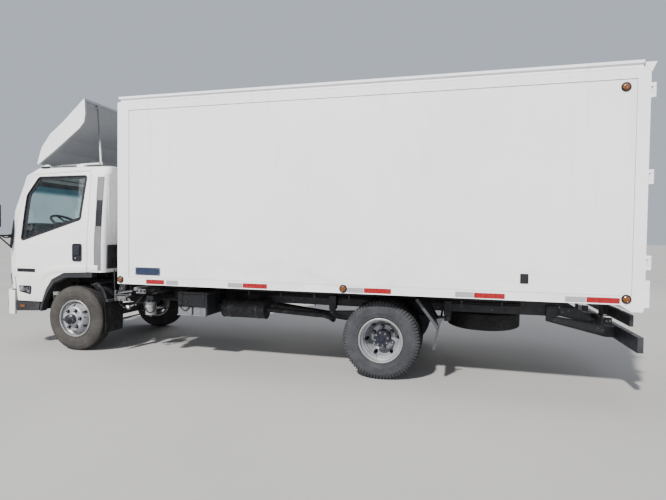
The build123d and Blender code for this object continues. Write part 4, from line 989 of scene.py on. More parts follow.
# ------------------------------------------------------------------ wheel fittings
for side, s in (("left", -1), ("right", 1)):
    body = f"wheel_front_{side}"
    face = s * (0.84 + 0.121 + 0.010)
    p = Piece(f"wheel_nuts_front_{side}", body, DULL, NAVY)
    for i in range(6):
        a = 2 * math.pi * i / 6 + math.radians(5)
        c = (0.11113 * math.cos(a), face, 0.4025 + 0.11113 * math.sin(a))
        p.lathe([(0.0235, 0), (0.0235, 0.003), (0.021, 0.006)], c, (0, s, 0), 20, 1)
        p.hexhead((c[0], c[1] + s * 0.005, c[2]), (0, s, 0), 0.033, 0.019, 1, turn=i)
        p.lathe([(0.0105, 0), (0.0105, 0.008), (0.008, 0.010)], (c[0], c[1] + s * 0.023, c[2]), (0, s, 0), 12, 1)
    p.make()
    # hub cap: a dished black cover with six small bolts and a raised centre
    p = Piece(f"hub_cap_front_{side}", body, NAVY, ZINC)
    cap = s * (0.84 + 0.121 + 0.074)
    p.lathe([(0.0, 0.0), (0.048, 0.0), (0.048, 0.002), (0.038, 0.006), (0.030, 0.012), (0.024, 0.022), (0.021, 0.026),
             (0.006, 0.027)][1:], (0, cap, 0.4025), (0, s, 0), 36, 0)
    for i in range(6):
        a = 2 * math.pi * (i + 0.5) / 6
        p.hexhead((0.0545 * math.cos(a), cap - s * 0.004, 0.4025 + 0.0545 * math.sin(a)), (0, s, 0), 0.010, 0.007, 0)
    for i in range(6):
        a = 2 * math.pi * i / 6
        r0, r1 = 0.024, 0.05
        c = Vector((0.037 * math.cos(a), cap + s * 0.006, 0.4025 + 0.037 * math.sin(a)))
        p.box((c.x - 0.013, c.x + 0.013), (c.y - 0.007, c.y + 0.007), (c.z - 0.004, c.z + 0.004), 0.002, 0,
              Matrix.Rotation(-a, 3, "Y"))
    p.make()
    # valve, balance weight, bright edges of the disc
    p = Piece(f"wheel_trim_front_{side}", body, STEEL, RUB, DULL)
    yv = s * (0.84 + 0.052)
    p.tube([(0.19, yv, 0.43), (0.192, yv + s * 0.018, 0.431), (0.186, yv + s * 0.036, 0.430), (0.17, yv + s * 0.056, 0.428)],
           0.0042, 8, 0)
    p.rod((0.173, yv + s * 0.052, 0.4285), (0.160, yv + s * 0.066, 0.427), 0.0055, 10, 1)
    p.band([(0.2255 * math.cos(t * 2 * math.pi / 96), 0.2255 * math.sin(t * 2 * math.pi / 96)) for t in range(96)],
           [(-0.0075, 0.0), (-0.0065, 0.0022), (-0.003, 0.0035), (0.001, 0.0035), (0.0032, 0.002), (0.0034, -0.001)],
           lambda u, v, h: (u, s * (0.84 + 0.097 + h), 0.4025 + v), mat=0)
    p.band([(0.1405 * math.cos(t * 2 * math.pi / 96), 0.1405 * math.sin(t * 2 * math.pi / 96)) for t in range(96)],
           [(-0.009, 0.0), (-0.006, 0.0016), (0.0, 0.001), (0.004, -0.0015)],
           lambda u, v, h: (u, s * (0.84 + 0.1295 + h), 0.4025 + v), mat=0)
    w = 2.1
    c = Vector((0.2215 * math.cos(w), s * (0.84 + 0.095), 0.4025 + 0.2215 * math.sin(w)))
    p.box((c.x - 0.018, c.x + 0.018), (c.y - 0.005, c.y + 0.006), (c.z - 0.005, c.z + 0.005), 0.002, 2,
          Matrix.Rotation(-(w + math.pi / 2), 3, "Y"))
    p.make()

    body = f"wheels_rear_{side}"
    plane = s * 0.825
    p = Piece(f"wheel_nuts_rear_{side}", body, DULL, NAVY)
    for i in range(6):
        a = 2 * math.pi * i / 6 + math.radians(35)
        c = (3.845 + 0.11113 * math.cos(a), plane + s * 0.0105, 0.4025 + 0.11113 * math.sin(a))
        p.lathe([(0.0225, 0), (0.0225, 0.003), (0.020, 0.005)], c, (0, s, 0), 20, 1)
        p.hexhead((c[0], c[1] + s * 0.004, c[2]), (0, s, 0), 0.036, 0.026, 1, turn=i * 0.7)
        p.lathe([(0.0125, 0), (0.0125, 0.012), (0.010, 0.015)], (c[0], c[1] + s * 0.028, c[2]), (0, s, 0), 12, 0)
    p.make()
    p = Piece(f"hub_cap_rear_{side}", body, NAVY, DULL)
    end = plane + s * 0.140
    p.lathe([(0.079, -0.012), (0.0815, -0.008), (0.0815, 0.004), (0.078, 0.008), (0.060, 0.009), (0.045, 0.006),
             (0.034, 0.007), (0.028, 0.016), (0.010, 0.018)], (3.845, end, 0.4025), (0, s, 0), 40, 0)
    for i in range(8):
        a = 2 * math.pi * (i + 0.25) / 8
        p.hexhead((3.845 + 0.067 * math.cos(a), end + s * 0.0075, 0.4025 + 0.067 * math.sin(a)), (0, s, 0), 0.014, 0.009,
                  1, washer=0.0095)
    for z in (0.03, 0.055, 0.08):      # cast rings round the hub
        p.lathe([(0.0795, 0), (0.0835, 0.003), (0.0835, 0.007), (0.0795, 0.010)], (3.845, plane + s * z, 0.4025), (0, s, 0),
                40, 0)
    p.make()
    outer = 0.825 + 0.131
    p = Piece(f"wheel_trim_rear_{side}", body, STEEL, RUB, DULL)
    for cx_, r_, w0 in ((3.845, 0.2255, outer + 0.097),):
        p.band([(r_ * math.cos(t * 2 * math.pi / 96), r_ * math.sin(t * 2 * math.pi / 96)) for t in range(96)],
               [(-0.0085, -0.002), (-0.0075, 0.002), (-0.003, 0.0035), (0.001, 0.0035), (0.0032, 0.002), (0.0034, -0.001)],
               lambda u, v, h: (cx_ + u, s * (w0 + h), 0.4025 + v), mat=0)
    p.band([(0.1935 * math.cos(t * 2 * math.pi / 96), 0.1935 * math.sin(t * 2 * math.pi / 96)) for t in range(96)],
           [(-0.006, -0.004), (-0.005, 0.0), (0.0, 0.002), (0.004, 0.0), (0.0045, -0.004)],
           lambda u, v, h: (3.845 + u, s * (outer - 0.030 + h), 0.4025 + v), mat=0)
    av = -1.95
    vx, vz = math.cos(av), math.sin(av)
    p.tube([(3.845 + 0.186 * vx, s * (outer - 0.05), 0.4025 + 0.186 * vz),
            (3.845 + 0.178 * vx, s * (outer - 0.03), 0.4025 + 0.178 * vz),
            (3.845 + 0.166 * vx, s * (outer + 0.0), 0.4025 + 0.166 * vz),
            (3.845 + 0.162 * vx, s * (outer + 0.045), 0.4025 + 0.162 * vz)], 0.0048, 8, 0)
    p.rod((3.845 + 0.162 * vx, s * (outer + 0.04), 0.4025 + 0.162 * vz),
          (3.845 + 0.1615 * vx, s * (outer + 0.058), 0.4025 + 0.1615 * vz), 0.006, 10, 1)
    w = 0.6
    c = Vector((3.845 + 0.2215 * math.cos(w), s * (outer + 0.095), 0.4025 + 0.2215 * math.sin(w)))
    p.box((c.x - 0.018, c.x + 0.018), (c.y - 0.005, c.y + 0.006), (c.z - 0.005, c.z + 0.005), 0.002, 2,
          Matrix.Rotation(-(w + math.pi / 2), 3, "Y"))
    p.make()

# ------------------------------------------------------------------ box sides: seams, rivets, tape, plate, vent, marker lamps
COLUMNS = [1.935, 2.418, 2.892, 3.356, 3.813, 4.294, 4.763, 5.225, 5.680]
TAPES = [(1.207, 1.440, 0), (1.465, 1.616, 1), (2.213, 2.383, 1), (2.386, 2.667, 0), (3.527, 3.694, 1), (3.696, 3.969, 0),
         (4.575, 4.744, 1), (4.746, 5.023, 0), (5.532, 5.705, 1), (5.706, 5.974, 0)]
LAMPS = [(0.874, 0.941), (3.485, 0.936), (6.022, 0.943), (5.976, 2.783)]
for side, s in (("left", -1), ("right", 1)):
    sheet, rail = flat_side(s, 1.195), flat_side(s, 1.2)
    p = Piece(f"box_seams_{side}", "chassis", BOX)
    for x in COLUMNS:
        p.box((x - 0.018, x + 0.018), (s * 1.1948 - 0.0009, s * 1.1948 + 0.0009), (0.974, 2.848), 0.0006)
        for j in range(18):
            z = 1.035 + j * 0.1035 + rnd.uniform(-0.002, 0.002)
            p.dome(sheet(x + rnd.uniform(-0.0015, 0.0015), z, 0.0007), (0, s, 0), 0.0058, 0.0028)
    for j in range(20):
        z = 0.99 + j * 0.098
        p.dome(rail(0.955, z, 0.0), (0, s, 0), 0.0058, 0.0028)
        p.dome(sheet(6.045, z, 0.0), (0, s, 0), 0.0058, 0.0028)
        p.dome(flat_side(s, 1.2)(6.095, z, 0.0), (0, s, 0), 0.0058, 0.0028)
    for i in range(42):
        x = 1.02 + i * 0.1225
        p.dome(rail(x + rnd.uniform(-0.002, 0.002), 0.962, 0), (0, s, 0), 0.0052, 0.0025)
        p.dome(rail(x + rnd.uniform(-0.002, 0.002), 2.861, 0), (0, s, 0), 0.0052, 0.0025)
        p.dome(rail(x + 0.06, 2.934, 0), (0, s, 0), 0.0052, 0.0025)
    p.make()
    # rails: a rolled lip under the lower rail, sealant along the edges, a drip edge under the roof strip
    p = Piece(f"box_rail_lips_{side}", "chassis", BOX, GREY)
    y0 = s * 1.2
    for z, r in ((0.8935, 0.0035), (0.9695, 0.0026), (2.8525, 0.0026), (2.942, 0.003)):
        p.tube([(0.872 + 0.0 * i, y0 - s * 0.0008, z) for i in (0,)] + [(x, y0 - s * 0.0008, z) for x in (2.2, 3.5, 4.8, 6.063)], r, 8, 0)
    p.tube([(0.9805, s * 1.1955, z) for z in (0.975, 1.6, 2.3, 2.848)], 0.0022, 8, 1)
    p.tube([(6.0635, s * 1.1955, z) for z in (0.975, 1.6, 2.3, 2.848)], 0.0022, 8, 1)
    p.tube([(x, s * 1.1955, 0.9735) for x in (0.982, 2.4, 4.1, 6.06)], 0.0018, 6, 1)
    p.tube([(x, s * 1.1955, 2.8485) for x in (0.982, 2.4, 4.1, 6.06)], 0.0018, 6, 1)
    p.box((0.86, 6.106), (s * 1.1875 - 0.0012, s * 1.1875 + 0.0012), (2.9475, 2.9535), 0.0008, 0)
    p.make()
    p = Piece(f"reflective_tape_{side}", "chassis", TAPE_RED, TAPE_WHITE)
    for x0, x1, k in TAPES:
        dz = rnd.uniform(-0.0015, 0.0015)
        p.plate(rect(x0 + 0.0008, x1 - 0.0008, 0.900 + dz, 0.950 + dz, 0.004, 3), rail, 0.0006, k, 0.0003)
    p.make()
    # marker lamps: rubber ring, stepped lens with a raised middle
    p = Piece(f"marker_lamp_bodies_{side}", "chassis", RUB, AMBER, TRIM)
    for x, z in LAMPS:
        y = 1.2 if z < 1.0 else 1.195
        at = (x, s * y, z)
        p.lathe([(0.0405, -0.001), (0.0405, 0.006), (0.0385, 0.0095), (0.034, 0.0115), (0.0305, 0.0105), (0.0295, 0.006)], at,
                (0, s, 0), 36, 0)
        p.lathe([(0.0292, 0.004), (0.0292, 0.0095), (0.0280, 0.0125), (0.0245, 0.0145), (0.0235, 0.0138), (0.0225, 0.0148),
                 (0.0165, 0.0165), (0.0155, 0.0158), (0.0145, 0.0168), (0.006, 0.0178), (0.002, 0.0179)], at, (0, s, 0), 36, 1)
        for k in (0, math.pi):
            p.hexhead((at[0] + 0.0345 * math.cos(k + 0.6), at[1] + s * 0.0105, at[2] + 0.0345 * math.sin(k + 0.6)), (0, s, 0),
                      0.004, 0.0014, 2)
    o = p.make()
    if side == "left":
        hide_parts("side_marker_lamps")
s = -1
p = Piece("box_name_plate", "chassis", PLATE_BLUE, ZINC)
sheet = flat_side(-1, 1.195)
p.plate(rect(1.064, 1.387, 0.995, 1.087, 0.008), sheet, 0.0022, 1, 0.0008)
p.plate(rect(1.070, 1.381, 1.001, 1.081, 0.006), sheet, 0.0032, 0, 0.0006)
for x in (1.082, 1.369):
    for z in (1.012, 1.070):
        p.dome(sheet(x, z, 0.003), (0, -1, 0), 0.0038, 0.0017, 10, 1)
p.make()
p = Piece("box_side_vent", "chassis", TRIM, TRIM_DARK, ZINC)
p.plate(rect(5.150, 5.223, 1.048, 1.139, 0.005), sheet, 0.004, 0, 0.0015)
p.plate(rect(5.157, 5.216, 1.055, 1.132, 0.003), sheet, 0.0046, 1, 0.0004)
for i in range(7):
    z = 1.060 + i * 0.0102
    p.box((5.159, 5.214), (-1.2025, -1.1985), (z, z + 0.0055), 0.001, 0, Matrix.Rotation(math.radians(24), 3, "X"))
for x in (5.154, 5.219):
    for z in (1.052, 1.135):
        p.hexhead(sheet(x, z, 0.0038), (0, -1, 0), 0.0045, 0.0018, 2)
p.make()

# roof: cross sheets with lap seams and rivets
def roof_z(y):
    a = abs(y)
    return 3.014 + (3.030 - 3.014) * (1 - a / 1.14) if a < 1.14 else 3.014 - 0.010 * (a - 1.14) / 0.064


p = Piece("box_roof_seams", "chassis", BOX, GREY)
for i, x in enumerate([0.86] + [v + 0.05 for v in COLUMNS] + [6.08]):
    pts = [(y, roof_z(y) - 0.0012) for y in (-1.19, -1.14, -0.6, 0.0, 0.6, 1.14, 1.19)]
    verts, faces = [], []
    for y, z in pts:
        for dx, dz in ((-0.022, 0.0), (-0.0212, 0.0024), (0.0212, 0.0024), (0.022, 0.0)):
            verts.append((x + dx, y, z + dz))
    for k in range(len(pts) - 1):
        for j in range(3):
            faces.append([k * 4 + j, (k + 1) * 4 + j, (k + 1) * 4 + j + 1, k * 4 + j + 1])
    faces += [[0, 1, 2, 3], [(len(pts) - 1) * 4 + j for j in (3, 2, 1, 0)]]
    p.add(verts, faces, 0)
    for j in range(23):
        y = -1.1 + j * 0.1
        p.dome((x, y, roof_z(y) + 0.0009), (0, 0, 1), 0.0045, 0.0018)
for s in (-1, 1):
    for i in range(43):
        p.dome((0.90 + i * 0.1225, s * 1.168, roof_z(1.168) - 0.0005), (0, 0, 1), 0.0045, 0.0018)
p.make()

# box front wall: seams, rivets, sealed cable gland, two lashing plates
p = Piece("box_front_details", "chassis", BOX, GREY, RUB)
front = flat_front(0.81)
for y in (-0.72, -0.24, 0.24, 0.72):
    p.box((0.8086, 0.8104), (y - 0.018, y + 0.018), (0.93, 2.90), 0.0006)
    for j in range(19):
        p.dome(front(y, 0.97 + j * 0.103, 0.0010), (-1, 0, 0), 0.0045, 0.0018)
for z in (0.915, 2.915):
    for j in range(20):
        p.dome(front(-1.1 + j * 0.116, z, 0), (-1, 0, 0), 0.0045, 0.0018)
for s in (-1, 1):
    for j in range(19):
        p.dome(front(s * 1.13, 0.97 + j * 0.103, 0), (-1, 0, 0), 0.0045, 0.0018)
p.lathe([(0.032, 0), (0.032, 0.006), (0.024, 0.010), (0.018, 0.022), (0.012, 0.026)], front(-0.5, 1.35, 0), (-1, 0, 0), 24, 2)
p.tube([front(-0.5, 1.35, 0.02), front(-0.5, 1.34, 0.05), front(-0.5, 1.28, 0.062), front(-0.48, 1.1, 0.05), front(-0.47, 0.93, 0.03)],
       0.008, 10, 2)
for z in (1.18, 1.02):
    p.box((0.775, 0.81), (-0.49, -0.465), (z - 0.012, z + 0.012), 0.003, 1)
p.make()

# ------------------------------------------------------------------ cab outside
def patch(p, us, vs, surf, h, mat=0, edge=0.0015, depth=0.0, smooth=True):
    """Curved plate over a grid of the surface, with a chamfered rim that goes down to the surface."""
    nu, nv = len(us), len(vs)
    verts, faces = [], []
    for i, u in enumerate(us):
        for j, v in enumerate(vs):
            verts.append(surf(u, v, h))
    for i in range(nu - 1):
        for j in range(nv - 1):
            faces.append([i * nv + j, (i + 1) * nv + j, (i + 1) * nv + j + 1, i * nv + j + 1])
    ring = [(i, 0) for i in range(nu)] + [(nu - 1, j) for j in range(1, nv)] + [(i, nv - 1) for i in range(nu - 2, -1, -1)] + [
        (0, j) for j in range(nv - 2, 0, -1)]
    u0, u1, v0, v1 = min(us), max(us), min(vs), max(vs)
    base = len(verts)
    for i, j in ring:
        u, v = us[i], vs[j]
        ou = edge if u == u1 else -edge if u == u0 else 0
        ov = edge if v == v1 else -edge if v == v0 else 0
        verts.append(surf(u + ou, v + ov, h - edge))
    for i, j in ring:
        u, v = us[i], vs[j]
        ou = edge if u == u1 else -edge if u == u0 else 0
        ov = edge if v == v1 else -edge if v == v0 else 0
        verts.append(surf(u + ou, v + ov, -depth))
    n = len(ring)
    for k in range(n):
        k2 = (k + 1) % n
        a, b = ring[k], ring[k2]
        faces.append([a[0] * nv + a[1], b[0] * nv + b[1], base + k2, base + k])
        faces.append([base + k, base + k2, base + n + k2, base + n + k])
    return p.add(verts, faces, mat, smooth)


def steps(a, b, n):
    return [a + (b - a) * i / n for i in range(n + 1)]


WINDOW = dense(rounded([(-0.757, 1.358), (0.126, 1.631), (0.179, 2.166), (-0.540, 2.160), (-0.704, 1.937)],
                       [0.03, 0.04, 0.03, 0.06, 0.12], 8), 0.035)
DOOR_LINE = [(-0.870, 1.250), (-0.828, 0.598), (-0.453, 0.598), (-0.389, 0.752), (-0.295, 0.883), (-0.110, 0.971),
             (0.235, 0.988), (0.237, 2.190), (0.194, 2.226), (-0.612, 2.192), (-0.720, 2.010), (-0.838, 1.640)]
DOOR_RADII = [0, .012, .008, 0, .06, .06, .008, .036, .06, .06, 0, 0]
DOOR_EDGE = dense(rounded(DOOR_LINE, DOOR_RADII, 6), 0.05)
FLARE = [(-0.520, 0.835), (-0.478, 0.919), (-0.430, 0.972), (-0.371, 1.010), (-0.290, 1.035), (-0.204, 1.052), (-0.060, 1.065),
         (0.080, 1.071), (0.2285, 1.075)]
for side, s in (("left", -1), ("right", 1)):
    surf = cab_side(s)
    door = f"cab_door_{side}"
    # window: rubber seal, black band on the glass, run channels
    p = Piece(f"door_window_seal_{side}", door, RUB, TRIM_DARK)
    p.band(WINDOW, [(0.010, -0.002), (0.0095, 0.0022), (0.005, 0.0044), (-0.001, 0.0046), (-0.006, 0.002), (-0.0085, -0.004),
                    (-0.009, -0.0092)], surf, True, 0)
    p.band(WINDOW, [(-0.008, -0.0092), (-0.010, -0.0088), (-0.031, -0.0088), (-0.033, -0.0092), (-0.0332, -0.0105)], surf, True, 1)
    p.band(WINDOW, [(-0.010, -0.0185), (-0.026, -0.0185), (-0.028, -0.021), (-0.028, -0.030), (-0.004, -0.034), (0.006, -0.030),
                    (0.006, -0.0205)], surf, True, 0)
    p.make()
    p = Piece(f"door_window_lining_{side}", door, TRIM)
    p.band(WINDOW, [(-0.0015, -0.0165), (-0.0022, -0.030), (-0.0022, -0.058), (-0.001, -0.0635), (0.006, -0.066), (0.045, -0.0665),
                    (0.055, -0.0625), (0.055, -0.0595)], surf, True, 0)
    p.make()
    # the front part of the band is wider, where the glass has its fixed corner
    p = Piece(f"door_quarter_band_{side}", door, TRIM_DARK, RUB)
    zs = steps(1.385, 1.93, 14)
    verts, faces = [], []
    for z in zs:
        t = (z - 1.358) / (1.937 - 1.358)
        x0 = -0.757 + 0.053 * t
        for dx, h in ((0.012, -0.0088), (0.030, -0.0084), (0.058 - 0.012 * t, -0.0084), (0.061 - 0.012 * t, -0.0092), (0.0612 - 0.012 * t, -0.0102)):
            verts.append(surf(x0 + dx, z, h))
    for i in range(len(zs) - 1):
        for j in range(4):
            faces.append([i * 5 + j, (i + 1) * 5 + j, (i + 1) * 5 + j + 1, i * 5 + j + 1])
    p.add(verts, faces, 0, True)
    p.make()
    # door edge: rubber seal in the gap on the cab's side
    p = Piece(f"door_gap_seal_{side}", "cab", RUB)
    p.band(grown(DOOR_EDGE, 0.0052), [(0.0006, -0.020), (-0.0012, -0.0215), (-0.0022, -0.0245), (-0.0012, -0.0275), (0.0006, -0.029)],
           surf, True, 0)
    p.make()
    # flare over the wheel arch, on the door and on the pillar behind it
    for body, line in ((door, FLARE), ("cab", [(0.2455, 1.0755), (0.32, 1.077), (0.392, 1.077)])):
        p = Piece(f"arch_flare_{side}_{'door' if body == door else 'pillar'}", body, CABP)
        sec = [(0.000, 0.0), (0.004, 0.0016), (0.009, 0.0048), (0.016, 0.0068), (0.028, 0.0074), (0.045, 0.0070), (0.062, 0.0058),
               (0.076, 0.0035), (0.084, 0.0)]
        pts = []
        for a, b in zip(line, line[1:]):
            k = max(1, int(math.hypot(b[0] - a[0], b[1] - a[1]) / 0.03))
            pts += [(a[0] + (b[0] - a[0]) * i / k, a[1] + (b[1] - a[1]) * i / k) for i in range(k)]
        pts.append(line[-1])
        verts, faces = [], []
        for i, (x, z) in enumerate(pts):
            a, b = pts[max(0, i - 1)], pts[min(len(pts) - 1, i + 1)]
            t = Vector((b[0] - a[0], b[1] - a[1])).normalized()
            nrm = Vector((t.y, -t.x))
            fade = min(1.0, i / 5.0) if body == door else 1.0
            for o, h in sec:
                verts.append(surf(x + nrm.x * o, z + nrm.y * o, h * fade + 0.0004 * (fade > 0)))
        m = len(sec)
        for i in range(len(pts) - 1):
            for j in range(m - 1):
                faces.append([i * m + j, (i + 1) * m + j, (i + 1) * m + j + 1, i * m + j + 1])
        for i in (0, len(pts) - 1):
            faces.append([i * m + j for j in range(m)])
        p.add(verts, faces, 0, True)
        p.make(40.0)
    # handle: a dark recessed cup with its lever and a key barrel
    p = Piece(f"door_handle_{side}", door, NAVY, TRIM_DARK, ZINC)
    loop = rect(0.021, 0.166, 1.113, 1.335, 0.030, 8)
    p.band(loop, [(0.0, -0.001), (-0.001, 0.004), (-0.004, 0.0065), (-0.010, 0.007), (-0.014, 0.005), (-0.016, 0.0012)], surf, True, 0)
    p.plate(rect(0.035, 0.152, 1.127, 1.321, 0.02, 8), surf, 0.0016, 1, 0.0004)
    lever = rounded([(0.050, 1.190), (0.137, 1.190), (0.140, 1.308), (0.054, 1.312)], 0.018, 6)
    p.band(lever, [(0.0, 0.0014), (-0.0005, 0.010), (-0.004, 0.0145), (-0.012, 0.0162)], surf, True, 0)
    p.plate(grown(lever, -0.011)[::1], surf, 0.0165, 0, 0.0003)
    p.lathe([(0.0135, 0.0), (0.0135, 0.003), (0.011, 0.0045), (0.0085, 0.004), (0.0085, 0.0025), (0.001, 0.0025)],
            surf(0.070, 1.153, 0.0012), (0, s, 0), 24, 0)
    p.lathe([(0.0078, 0.0), (0.0078, 0.0036), (0.0066, 0.0044)], surf(0.070, 1.153, 0.0012), (0, s, 0), 20, 2)
    c = surf(0.070, 1.153, 0.0052)
    p.box((c[0] - 0.0012, c[0] + 0.0012), (c[1] - 0.0012, c[1] + 0.0012), (c[2] - 0.005, c[2] + 0.005), 0.0004, 1)
    p.make()
    # dark strip behind the front corner, low on the door
    p = Piece(f"door_side_strip_{side}", door, TRIM_DARK, CABP)
    patch(p, steps(-0.815, -0.539, 10), steps(0.966, 1.008, 2), surf, 0.0036, 0, 0.0012)
    patch(p, steps(-0.806, -0.60, 8), steps(1.052, 1.055, 1), surf, 0.0012, 1, 0.0006)
    p.make()
    # side lamp
    p = Piece(f"door_side_lamp_{side}", door, TRIM_DARK, SMOKE, CHROME, AMBER)
    lamp = rounded([(-0.801, 0.790), (-0.615, 0.794), (-0.602, 0.770), (-0.617, 0.679), (-0.790, 0.715)], [.014, .016, .02, .022, .014], 6)
    lamp = dense(lamp, 0.02)
    p.band(lamp, [(0.001, -0.001), (0.0, 0.004), (-0.004, 0.0062), (-0.015, 0.0064), (-0.019, 0.0045), (-0.0195, 0.001)], surf, True, 0)
    cx, cz = -0.706, 0.747
    rows = []
    verts, faces = [], []
    loop = grown(lamp, -0.0186)
    for t, h in ((1.0, 0.0015), (0.97, 0.0055), (0.85, 0.0078), (0.6, 0.0090), (0.3, 0.0095)):
        for x, z in loop:
            verts.append(surf(cx + (x - cx) * t, cz + (z - cz) * t, h))
    n = len(loop)
    for r in range(4):
        for i in range(n):
            k = (i + 1) % n
            faces.append([r * n + i, r * n + k, (r + 1) * n + k, (r + 1) * n + i])
    verts.append(surf(cx, cz, 0.0096))
    for i in range(n):
        faces.append([4 * n + i, 4 * n + (i + 1) % n, len(verts) - 1])
    p.add(verts, faces, 1, True)
    patch(p, steps(-0.716, -0.709, 2), steps(0.708, 0.781, 4), surf, 0.0102, 0, 0.0008)
    for x0, x1, z0, z1 in ((-0.700, -0.672, 0.715, 0.742), (-0.660, -0.634, 0.742, 0.772), (-0.700, -0.674, 0.752, 0.776)):
        patch(p, steps(x0, x1, 2), steps(z0, z1, 2), surf, 0.0103, 0, 0.0009)
    for x0 in (-0.785, -0.762, -0.740):
        patch(p, steps(x0, x0 + 0.012, 1), steps(0.728, 0.780, 3), surf, 0.0088, 2, 0.0008)
    p.make()
    # drip rail over the door
    p = Piece(f"drip_rail_{side}", "cab", CABP, TRIM)
    line = [(-0.760, 2.045), (-0.700, 2.135), (-0.640, 2.197), (-0.600, 2.215), (-0.45, 2.222), (-0.2, 2.232), (0.05, 2.242), (0.18, 2.247),
            (0.225, 2.240), (0.252, 2.215), (0.260, 2.16)]
    pts = [surf(x, z, 0.0015) for x, z in line]
    p.tube(pts, 0.0052, 8, 0)
    p.make()
    # air outlet strip on the rear corner: a black frame with slats
    p = Piece(f"corner_vent_{side}", "cab", TRIM_DARK, TRIM)
    us = steps(0.350, 0.425, 8)
    patch(p, us, steps(1.549, 1.863, 12), surf, 0.0042, 0, 0.002)
    for i in range(13):
        z = 1.566 + i * 0.0222
        patch(p, steps(0.357, 0.419, 7), steps(z, z + 0.010, 1), surf, 0.0085, 0, 0.0022)
    p.make()
    # sill plate under the door, with rubber strips
    p = Piece(f"door_sill_{side}", "cab", TRIM, RUB, AMBER, ZINC)
    p.box((-0.846, -0.500), sorted((s * 0.9855, s * 0.9805)), (0.486, 0.586), 0.002, 0)
    for i in range(5):
        x = -0.80 + i * 0.062
        p.box((x, x + 0.048), sorted((s * 0.989, s * 0.984)), (0.584, 0.5895), 0.001, 1)
    for i in range(9):
        p.box((-0.83 + i * 0.035, -0.813 + i * 0.035), sorted((s * 0.975, s * 0.80)), (0.4915, 0.4975), 0.0015, 1)
    p.make()
    p = Piece(f"step_lamp_{side}", "cab", TRIM, AMBER)
    at = (-0.745, s * 0.9855, 0.532)
    p.box((-0.785, -0.700), sorted((s * 0.9895, s * 0.984)), (0.511, 0.553), 0.002, 0)
    p.box((-0.778, -0.707), sorted((s * 0.9955, s * 0.988)), (0.517, 0.547), 0.0045, 1)
    p.box((-0.690, -0.560), sorted((s * 0.9885, s * 0.984)), (0.540, 0.556), 0.0015, 0)
    p.make()

# mirrors: glasses, brackets with bolts, rims
for side, s in (("left", -1), ("right", 1)):
    p = Piece(f"mirror_glass_{side}", "cab", MIRROR, TRIM_DARK, TRIM, ZINC)
    y0, y1 = sorted((s * 1.107, s * 1.323))
    rear = flat_rear(-0.965)
    p.band(rect(y0 - 0.006, y1 + 0.006, 1.520, 1.805, 0.028, 8), [(0.0, -0.001), (-0.001, 0.0035), (-0.006, 0.0048), (-0.012, 0.003)], rear,
           True, 1)
    p.plate(rect(y0 + 0.006, y1 - 0.006, 1.612, 1.795, 0.02, 8), rear, 0.0022, 0, 0.0006)
    p.plate(rect(y0 + 0.006, y1 - 0.006, 1.530, 1.600, 0.018, 8), rear, 0.0022, 0, 0.0006)
    p.box((-0.9655, -0.961), (y0 + 0.004, y1 - 0.004), (1.602, 1.610), 0.001, 1)
    # clamp on the arm and cap screws
    p.rod((-1.0, s * 1.2305, 1.492), (-1.0, s * 1.2305, 1.518), 0.019, 20, 2)
    for a in (0, 1, 2):
        p.hexhead((-0.9655, s * 1.2305 + 0.0 * a, 1.5085 - 0.0 * a), (1, 0, 0), 0.010, 0.004, 3) if a == 0 else None
    p.rod((-0.968, s * 0.985, 1.415), (-0.950, s * 0.925, 1.4145), 0.0225, 18, 2)
    p.make()
    # screws on the cover at the front pillar
    p = Piece(f"mirror_cover_trim_{side}", "cab", NAVY, ZINC)
    surf = cab_side(s)
    for x, z in ((-0.944, 1.285), (-0.900, 1.52)):
        c = surf(x, z, 0.0145)
        p.hexhead(c, (0.0, s, 0), 0.009, 0.0035, 0)
    p.make()

# windscreen: rubber, dark band, wipers; rear window rubber
p = Piece("windscreen_seal", "cab", RUB, TRIM_DARK)
ws = dense(rounded([(-0.900, 1.395), (0.900, 1.395), (0.845, 2.140), (-0.845, 2.140)], 0.04, 8), 0.04)
p.band(ws, [(0.012, -0.001), (0.011, 0.003), (0.006, 0.0062), (0.0, 0.0066), (-0.006, 0.004), (-0.010, -0.006), (-0.010, -0.0092)], cab_front,
       True, 0)
p.band(ws, [(-0.009, -0.0092), (-0.011, -0.0086), (-0.047, -0.0086), (-0.050, -0.0092), (-0.0502, -0.0102)], cab_front, True, 1)
p.make()
p = Piece("windscreen_lining", "cab", TRIM)
p.band(ws, [(-0.0015, -0.0165), (-0.002, -0.040), (-0.002, -0.0585), (0.004, -0.0625), (0.035, -0.0625), (0.035, -0.058)], cab_front, True, 0)
p.make()
p = Piece("rear_window_seal", "cab", RUB)


def cab_back(y, z, h):
    return (0.470 + h, y, z)


